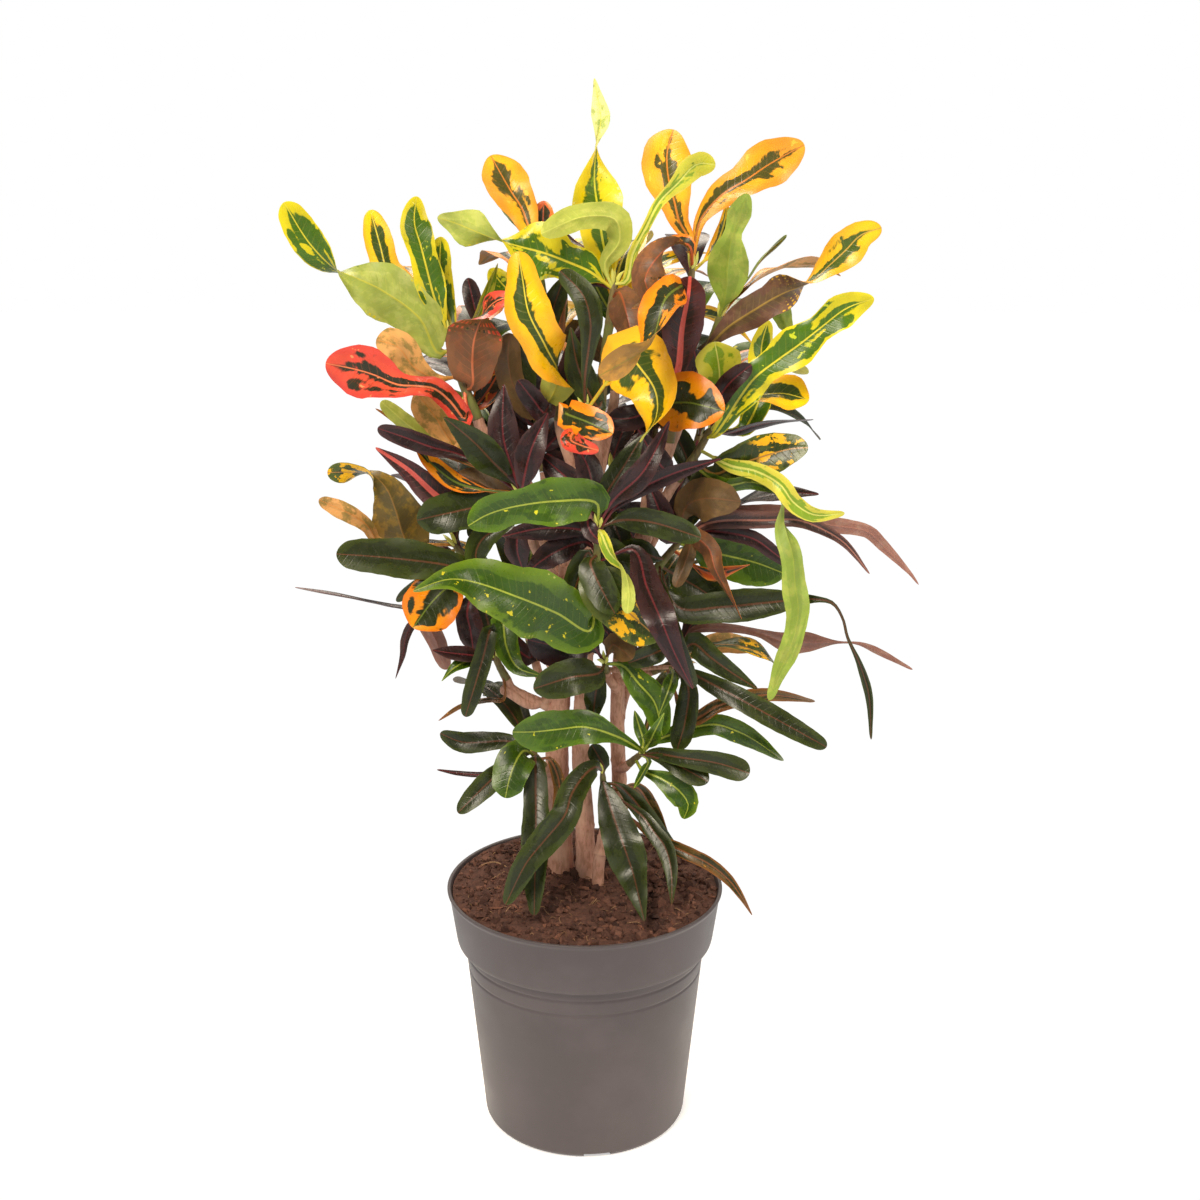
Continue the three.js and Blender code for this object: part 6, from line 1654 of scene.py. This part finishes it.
@dataclass
class Pot:
    """A moulded nursery pot with a collar, two grooves and drainage slots at its foot."""

    finish: PotFinish = PotFinish()
    segments: int = 176
    foot_radius: float = 78.2
    neck_radius: float = 92.0
    collar_radius: float = 98.4
    collar_foot: float = 144.7
    wall: float = 1.8
    floor: float = 3.0
    grooves: tuple[float, float] = (126.0, 138.0)
    groove_width: float = 3.2
    groove_depth: float = 0.8
    slot_width: float = 21.0
    slot_height: float = 3.8
    slot_depth: float = 7.0
    slot_bearing: float = 0.125
    slots: int = 4

    def side(self, height: float) -> float:
        """The outer radius between the foot and the collar."""
        share = (height - 4) / (self.collar_foot - 4)
        return self.foot_radius + (self.neck_radius - self.foot_radius) * share

    def profile(self) -> Array:
        """Radius and height from the middle of the underside, up outside, over the rim and down inside."""
        foot, neck, collar, step = self.foot_radius, self.neck_radius, self.collar_radius, self.collar_foot
        grooves = []
        half, deep = self.groove_width / 2, self.groove_depth
        for z in self.grooves:
            low, high = z - half, z + half
            grooves += [(self.side(low), low), (self.side(z) - deep, z), (self.side(high), high)]
        outside = [(0.5, 0), (foot - 5, 0), (foot - 1.4, 1.2), (foot, 4), *grooves, (neck, step)]
        collar_side = [(collar - 0.7, step + 3), (collar, step + 5.5), (RIM_RADIUS - 1.6, RIM_HEIGHT - 4)]
        lip = [(RIM_RADIUS, RIM_HEIGHT - 1.6), (RIM_RADIUS, RIM_HEIGHT), (RIM_RADIUS - 2.6, RIM_HEIGHT)]
        inside = [
            (RIM_RADIUS - 3.6, RIM_HEIGHT - 4),
            (collar - 2, step + 5.5),
            (neck - self.wall, step),
            (foot - self.wall, 6),
            (foot - 4, self.floor),
            (0.5, self.floor),
        ]
        return rounded([*outside, *collar_side, *lip, *inside], 0.9)

    def build(self) -> bpy.types.Object:
        """Turns the profile round the axis; inside a slot's width and height the wall steps inwards."""
        profile = self.profile()
        turn = 2 * math.pi / self.slots
        middles = self.slot_bearing - turn + turn * np.arange(self.slots)
        reach = self.slot_width / 2 / self.foot_radius
        edges = np.concatenate([middles + a * reach + b * 2e-4 for a in (-1, 1) for b in (-1, 1)])
        even = 2 * math.pi * np.arange(self.segments) / self.segments
        angle = np.sort(np.concatenate([even, edges % (2 * math.pi)]))
        low = profile[:, 1] < self.slot_height
        low &= np.arange(len(profile)) < len(profile) // 2
        place = int(np.argmax(~low))
        lips = np.array([self.slot_height - 0.02, self.slot_height + 0.02])
        foot = np.interp(lips, [1.2, 4], [self.foot_radius - 1.4, self.foot_radius])
        profile = np.concatenate([profile[:place], np.stack([foot, lips], -1), profile[place:]])
        radius = np.repeat(profile[:, 0][:, None], len(angle), axis=1)
        off = np.abs((angle[:, None] - middles[None, :] + math.pi) % (2 * math.pi) - math.pi)
        near = np.min(off, axis=1) < reach
        rows = np.arange(place + 1)
        recess = self.foot_radius - self.slot_depth + 0.02 * rows
        radius[np.ix_(rows, near)] = np.minimum(radius[np.ix_(rows, near)], recess[:, None])
        height = np.repeat(profile[:, 1][:, None], len(angle), axis=1)
        points = np.stack([radius * np.cos(angle), radius * np.sin(angle), height], -1).reshape(-1, 3)
        fabric = Fabric()
        fabric.add(points, skin(len(profile), len(angle)))
        made = fabric.finish("pot_moulded", [self.finish.make("polypropylene_satin")], 38)
        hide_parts("pot")
        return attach(made, "root")


def twenty_sided() -> tuple[Array, Array]:
    """A ball of twenty triangles, on the corners of three golden rectangles: its corners and its faces."""
    gold = (1 + math.sqrt(5)) / 2
    corners = [[x, y * gold, 0] for y in (1, -1) for x in (-1, 1)]
    corners += [[0, y, z * gold] for z in (1, -1) for y in (-1, 1)]
    corners += [[x * gold, 0, z] for x in (1, -1) for z in (-1, 1)]
    faces = [[0, 11, 5], [0, 5, 1], [0, 1, 7], [0, 7, 10], [0, 10, 11], [1, 5, 9], [5, 11, 4], [11, 10, 2]]
    faces += [[10, 7, 6], [7, 1, 8], [3, 9, 4], [3, 4, 2], [3, 2, 6], [3, 6, 8], [3, 8, 9], [4, 9, 5]]
    faces += [[2, 4, 11], [6, 2, 10], [8, 6, 7], [9, 8, 1]]
    return unit(np.array(corners)), np.array(faces)


@dataclass
class Soil:
    """The pot's peat: a lumpy bed, with crumbs, bark chips and fibres lying on it."""

    peat: PeatFinish = PeatFinish("#3a241d", "#7e5646")
    bark: PeatFinish = PeatFinish("#462b21", "#90604a", 0.88)
    straw: PeatFinish = PeatFinish("#5e3e2c", "#a4805e", 0.85)
    crumbs: int = 1500
    chips: int = 210
    fibres: int = 170
    edge: float = 101.0
    rings: int = 84
    segments: int = 250

    def height(self, x: Array, y: Array) -> Array:
        """The bed's height: a low mound that climbs to the back, long lumps and three sizes of noise."""
        radius = np.hypot(x, y)
        mound = np.interp(radius, [0, 40, 72, 100.4], [SOIL_MOUND, 5.1, 3.0, 0])
        inner = np.clip((RIM_RADIUS - 5 - radius) / 14, 0, 1)
        lumps = 0.8 * inner * np.sin(x / 9 + 1) * np.sin(y / 11 + 2)
        spots = np.stack([x, y, np.zeros_like(x)], -1)
        noise = 1.3 * rough(spots, 11, 3) + 1.0 * rough(spots, 5, 4) + 0.55 * rough(spots, 2.3, 5)
        back = 1.2 * np.clip(y / 100, 0, 1)
        return SOIL_EDGE + mound + SOIL_SLOPE * y / 100 + lumps + noise * (0.45 + 0.55 * inner) + back

    def bed(self) -> bpy.types.Object:
        """The bed as a closed plug: its underside and side follow the pot's inner wall."""
        wall = [(0.5, 3.3), (73.6, 3.3), (75.9, 6.3), (89.7, 145.1), (95.8, 150.4), (self.edge - 0.6, 183)]
        radii = np.concatenate([np.linspace(self.edge, 8, self.rings), [4.0, 0.5]])
        angle = 2 * math.pi * np.arange(self.segments) / self.segments
        r, a = np.meshgrid(radii, angle, indexing="ij")
        x, y = r * np.cos(a), r * np.sin(a)
        top = np.stack([x, y, self.height(x, y)], -1)
        low_r, low_z = (np.repeat(held[:, None], self.segments, axis=1) for held in np.array(wall).T)
        base = np.stack([low_r * np.cos(angle), low_r * np.sin(angle), low_z], -1)
        points = np.concatenate([base, top]).reshape(-1, 3)
        fabric = Fabric()
        fabric.add(points, skin(len(wall) + len(radii), self.segments))
        made = fabric.finish("soil_bed", [self.peat.make("peat_damp")], 60)
        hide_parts("soil")
        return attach(made, "root")

    def scatter(self, count: int, rng: np.random.Generator, edge: float) -> tuple[Array, Array]:
        """Even random places on the bed: the radius is the edge times the root of a random number."""
        radius, angle = edge * np.sqrt(rng.random(count)), 2 * math.pi * rng.random(count)
        return radius * np.cos(angle), radius * np.sin(angle)

    def lumps(
        self, name: str, sizes: Array, lift: float, finish: bpy.types.Material, rng: np.random.Generator
    ) -> bpy.types.Object:
        """Many small faceted lumps: a twenty-sided ball, stretched, jittered, turned and set on the bed.

        Args:
            name: the object's name.
            sizes: half lengths of each lump along its three axes, one lump a row.
            lift: how much of its height stands out.
            finish: the material.
            rng: the source of random numbers.

        Returns:
            The object.
        """
        count = len(sizes)
        ball, sides = twenty_sided()
        shapes = ball[None] * sizes[:, None, :] * (1 + 0.32 * rng.standard_normal((count, 12, 1)).clip(-2, 2))
        yaw, tip = 2 * math.pi * rng.random(count), 0.5 * rng.standard_normal(count)
        cy, sy, ct, st = np.cos(yaw), np.sin(yaw), np.cos(tip), np.sin(tip)
        x, y, z = shapes[..., 0], shapes[..., 1], shapes[..., 2]
        y, z = y * ct[:, None] - z * st[:, None], y * st[:, None] + z * ct[:, None]
        x, y = x * cy[:, None] - y * sy[:, None], x * sy[:, None] + y * cy[:, None]
        px, py = self.scatter(count, rng, self.edge - 2.5)
        pz = self.height(px, py) + lift * sizes[:, 2]
        points = np.stack([x + px[:, None], y + py[:, None], z + pz[:, None]], -1).reshape(-1, 3)
        faces = (sides[None] + 12 * np.arange(count)[:, None, None]).reshape(-1, 3)
        span = np.zeros_like(points)
        span[:, 2] = np.repeat(0.5 * rng.random(count) - 0.22, 12)
        fabric = Fabric()
        fabric.add(points, [faces], span=span)
        made = fabric.finish(name, [finish], 30)
        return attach(made, "root")

    def strands(self, rng: np.random.Generator) -> bpy.types.Object:
        """Thin curved fibres on the bed, two of them thicker and paler: one at the left, one by the stems."""
        fabric = Fabric()
        ways = [
            ([-81, 30, -72, 31, -64, 25, -57.9, 19.4], 0.55, 0.75),
            ([-25.7, 35, -21, 33, -17, 27, -14.3, 19.4], 0.5, 0.5),
        ]
        px, py = self.scatter(self.fibres, rng, self.edge - 7)
        for x, y in zip(px, py):
            yaw, bend, reach = 6.28 * rng.random(), 1.6 * (rng.random() - 0.5), 3 + 9 * rng.random() ** 2
            turns = yaw + bend * np.array([-1, -0.4, 0.4, 1])
            flat = np.cumsum(np.stack([np.cos(turns), np.sin(turns)], -1) * reach / 3, axis=0) + [x, y]
            if np.max(np.hypot(flat[:, 0], flat[:, 1])) < self.edge - 1:
                ways.append((flat.ravel().tolist(), 0.14 + 0.2 * rng.random(), 0.6 * rng.random() - 0.1))
        for flat, radius, tint in ways:
            x, y = np.reshape(flat, (-1, 2)).T
            hop = np.array([0.3, 1.6, 1.4, 0.3]) + radius
            path = Path(np.stack([x, y, self.height(x, y) + hop], -1))
            rings, sides = 9, 5
            stations = np.linspace(0, path.length, rings)
            wide = radius * np.sqrt(np.sin(math.pi * np.linspace(0.06, 0.94, rings)))
            points = tube(path, wide, stations, sides)
            span = np.zeros_like(points)
            span[:, 2] = tint
            fabric.add(points, skin(rings, sides), span=span)
        made = fabric.finish("soil_fibres", [self.straw.make("peat_fibre")], 60)
        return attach(made, "root")

    def build(self) -> None:
        """Makes the bed and what lies on it."""
        rng = np.random.default_rng(11)
        self.bed()
        size = 0.7 + 1.0 * rng.exponential(1.0, self.crumbs).clip(0, 3.2)
        sizes = size[:, None] * (0.65 + 0.6 * rng.random((self.crumbs, 3)))
        self.lumps("soil_crumbs", sizes, 0.25, self.peat.make("peat_crumb"), rng)
        long = 2.2 + 3.2 * rng.random(self.chips) ** 2
        wide = long * (0.3 + 0.3 * rng.random(self.chips))
        thick = 0.5 + 0.7 * rng.random(self.chips)
        self.lumps("soil_chips", np.stack([long, wide, thick], -1), 0.8, self.bark.make("bark_chip"), rng)
        self.strands(rng)


@dataclass
class Trunks:
    """The woody stems: round, knotted and split, each branch swelling out of the one that bears it."""

    finish: BarkFinish = BarkFinish("#c89680", "#9e7056", "#d2a88e")
    sides: int = 22
    step: float = 2.6
    ring_gap: float = 21.0
    stub: Limb = Limb("trunk_left", Path([-20, 14, 336, -40, 8, 331, -56, 4, 342, -62.5, 3, 346]), 3.4, 4.2)
    twig: Limb = Limb("trunk_middle", Path([1, 9, 360, 20, 2, 360, 45, 0, 362, 68, -2, 364]), 2.4, 1.4)

    def limb(self, limb: Limb, fabric: Fabric, seed: int, branch: bool) -> None:
        """Adds one stem: its radius is the limb's, plus bark, ring scars and a collar where it starts.

        Args:
            limb: the trunk or branch.
            fabric: what it is added to.
            seed: its noise.
            branch: whether it grows out of another stem.
        """
        length = limb.path.length
        body = np.linspace(0, length - 2.4, max(4, math.ceil(length / self.step)))
        stations = np.concatenate([body, [length - 1.2, length - 0.45, length]])
        share = stations / length
        radius = limb.start + (limb.end - limb.start) * share
        if branch:
            radius = radius * (1 + 0.5 * np.exp(-stations / 7))
            close = np.ones_like(stations)
        else:
            close = np.sqrt(np.clip((length - stations) / 2.4, 0.02, 1))
        rings = np.zeros_like(stations)
        for k in range(int(length / self.ring_gap)):
            place = 14 + self.ring_gap * k + 6 * math.sin(5.1 * k + seed)
            rings += np.exp(-(((stations - place) / 1.7) ** 2))
        turn = 2 * math.pi * np.arange(self.sides) / self.sides
        far, angle = np.meshgrid(stations, turn, indexing="ij")
        spots = np.stack([np.cos(angle) * 3, np.sin(angle) * 3, far / 16], -1)
        bark = 0.055 * rough(spots, 1.2, seed) + 0.035 * rough(spots * [1, 1, 3], 0.6, seed + 1)
        side = 0.6 + 0.4 * np.sin(angle + 2.4 * far / self.ring_gap + seed)
        wide = radius[:, None] * close[:, None] * (1 + bark + 0.09 * rings[:, None] * side)
        points = tube(limb.path, wide, stations, self.sides)
        fabric.add(points, skin(len(stations), self.sides))

    def build(self, layout: Layout) -> None:
        """Makes one piece of each trunk with its branches, and the pruned stub and the bare twig.

        Args:
            layout: where they lie.
        """
        bark = self.finish.make("croton_bark")
        for number, row in enumerate(TRUNKS):
            name = row.name
            fabric = Fabric()
            own = [limb for limb in layout.limbs if limb.owner == name]
            for k, limb in enumerate(own):
                self.limb(limb, fabric, 10 * number + k, k > 0)
            for limb in (self.stub, self.twig):
                if limb.owner == name:
                    self.limb(limb, fabric, 90 + number, False)
            made = fabric.finish(f"{name}_bark", [bark], 50)
            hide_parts(name)
            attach(made, "root")


@dataclass
class Shoots:
    """The leafy shoots: a green stem, its leaves and the bud at its tip."""

    leaf: Leaf = Leaf()
    stem: BarkFinish = BarkFinish("#77683c", "#5a4a2c", "#76803a", 0.6)
    sides: int = 12

    def stalk(self, path: Path, start: float, end: float, fabric: Fabric, seed: int) -> None:
        """Adds the stem, ringed with leaf scars, and narrowed to its bud over the last 7 mm.

        Args:
            path: its centre line.
            start: its radius at the seat.
            end: its radius at the tip.
            fabric: what it is added to.
            seed: its noise.
        """
        stations = np.linspace(0, path.length, max(10, math.ceil(path.length / 2)))
        share = stations / path.length
        rings = 0.5 + 0.5 * np.sin(2 * math.pi * stations / 5.5 + seed)
        close = np.sqrt(np.clip((path.length - stations) / 7, 0.02, 1))
        radius = (start + (end - start) * share) * (1 + 0.07 * rings**3) * close
        fabric.add(tube(path, radius, stations, self.sides), skin(len(stations), self.sides))

    def bud(self, path: Path, radius: float, fabric: Fabric, slot: int, seed: float) -> None:
        """Adds three folded young leaves round the tip, each a spindle that leans out a little."""
        tip, heading = path.at(path.length)[0], path.heading(path.length)[0]
        across = unit(np.cross([0.0, 1.0, 0.0], heading))
        other = np.cross(heading, across)
        for k in range(3):
            turn = 2.1 * k + 9 * seed
            lean = across * math.cos(turn) + other * math.sin(turn)
            root = tip - 4 * heading + 0.5 * radius * lean
            end = root + (12 - k) * heading + (2.5 + k) * lean
            way = Path(np.array([root, root + 6 * heading + 1.5 * lean, end]))
            rings, sides = 9, 7
            stations = np.linspace(0, way.length, rings)
            wide = 1.5 * np.sin(math.pi * np.clip(0.18 + 0.8 * stations / way.length, 0, 0.985))
            fabric.add(tube(way, wide, stations, sides), skin(rings, sides), slot)

    def build(self, layout: Layout) -> None:
        """Makes one piece of each shoot.

        Args:
            layout: where stems and blades lie.
        """
        stem = self.stem.make("young_stem")
        finishes = {kind: kind.value.make(f"croton_leaf_{kind.name.lower()}") for kind in Palette}
        pick = random_source(23)
        for number, row in enumerate(SHOOTS):
            name = row.name
            blades = layout.blades[name]
            used = sorted({blade.palette for blade in blades} | {Palette.LIME}, key=lambda kind: kind.name)
            fabric = Fabric()
            self.stalk(layout.stems[name], row.foot, row.top, fabric, number)
            self.bud(layout.stems[name], row.top, fabric, 1 + used.index(Palette.LIME), pick())
            for blade in blades:
                self.leaf.cut(blade, fabric, 1 + used.index(blade.palette), pick())
            made = fabric.finish(f"{name}_leaves", [stem, *(finishes[kind] for kind in used)])
            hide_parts(name)
            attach(made, "root")


@dataclass
class Softbox:
    """One square lamp with a cloth over it: where it stands, its width, its power, its target, its colour."""

    name: str
    place: tuple[float, float, float]
    width: float
    power: float
    target: tuple[float, float, float] = (0.0, 0.0, 0.42)
    tint: str = "#fff2e0"

    def build(self) -> None:
        """Makes the lamp and turns it to its target."""
        data = bpy.data.lights.new(self.name, "AREA")
        data.shape = "SQUARE"
        data.size = self.width
        data.energy = self.power
        data.color = linear(self.tint)[:3]
        lamp = bpy.data.objects.new(self.name, data)
        bpy.context.scene.collection.objects.link(lamp)
        lamp.location = self.place
        away = lamp.location - Vector(self.target)
        lamp.rotation_euler = away.to_track_quat("Z", "Y").to_euler()


@dataclass
class Studio:
    """A white sweep, white surroundings, softboxes and the camera."""

    paper: str = "#f4efe8"
    floor_reach: float = 6.0
    surround: float = 0.3
    lamps: tuple[Softbox, ...] = (
        Softbox("lamp_key", (-0.55, -1.25, 1.75), 0.8, 38.0),
        Softbox("lamp_side", (1.35, -0.7, 1.15), 0.7, 14.0),
        Softbox("lamp_back", (-0.2, 1.0, 1.7), 1.0, 22.0),
    )

    def floor(self) -> None:
        """A wide level sheet at the pot's foot: white paper that glows like a lit sweep away from it."""
        mesh = bpy.data.meshes.new("floor")
        far = self.floor_reach
        corners = [(-far, -far, 0.0), (far, -far, 0.0), (far, far, 0.0), (-far, far, 0.0)]
        mesh.from_pydata(corners, [], [(0, 1, 2, 3)])
        board = Board("floor_paper")
        place = board.object_place()
        away = board.add("ShaderNodeVectorMath", {"operation": "LENGTH"}, i0=place).outputs["Value"]
        share = board.step(away, 0.1, 0.45)
        fleck = board.noise(place, 900, 2.0)
        tint = board.mix(share, self.paper, "#000000")
        strength = board.step(away, 0.1, 0.45, 0.5, 1.0)
        glow = {"Emission_Color": linear("#ffffff"), "Emission_Strength": strength}
        paper = board.finish(fleck, 0.02, Base_Color=tint, Roughness=0.9, **glow)
        mesh.materials.append(paper)
        made = bpy.data.objects.new("floor", mesh)
        bpy.context.scene.collection.objects.link(made)

    def sky(self) -> None:
        """White all round: full white where it is the backdrop, dimmer where it lights the plant."""
        world = bpy.data.worlds.new("surround")
        world.use_nodes = True
        bpy.context.scene.world = world
        tree = world.node_tree
        seen_straight = tree.nodes.new("ShaderNodeLightPath").outputs["Is Camera Ray"]
        sums = {0: seen_straight, 1: 1 - self.surround, 2: self.surround}
        strength = add_node(tree, "ShaderNodeMath", {"operation": "MULTIPLY_ADD"}, sums)
        light = tree.nodes["Background"]
        light.inputs["Color"].default_value = (1.0, 1.0, 1.0, 1.0)
        tree.links.new(strength.outputs[0], light.inputs["Strength"])

    def camera(self) -> None:
        """The camera at the eye's place, looking down by the photograph's pitch."""
        data = bpy.data.cameras.new("camera")
        data.lens = LENS
        data.sensor_width = SENSOR
        data.shift_x = LENS_SHIFT
        camera = bpy.data.objects.new("camera", data)
        bpy.context.scene.collection.objects.link(camera)
        camera.location = tuple(EYE * MM)
        camera.rotation_euler = (math.radians(90 - LENS_PITCH), 0.0, 0.0)
        bpy.context.scene.camera = camera

    def build(self) -> None:
        """Makes floor, light and camera."""
        self.floor()
        self.sky()
        for lamp in self.lamps:
            lamp.build()
        self.camera()
        bpy.context.scene.view_settings.view_transform = "Standard"


def main() -> None:
    """Builds the studio, the pot, the soil, the trunks and the shoots."""
    logging.basicConfig(level=logging.INFO, format="%(name)s: %(message)s")
    Studio().build()
    layout = Layout()
    log.info("layout: %d blades", sum(len(laid) for laid in layout.blades.values()))
    Pot().build()
    Soil().build()
    Trunks().build(layout)
    Shoots().build(layout)


if __name__ == "__main__":
    main()
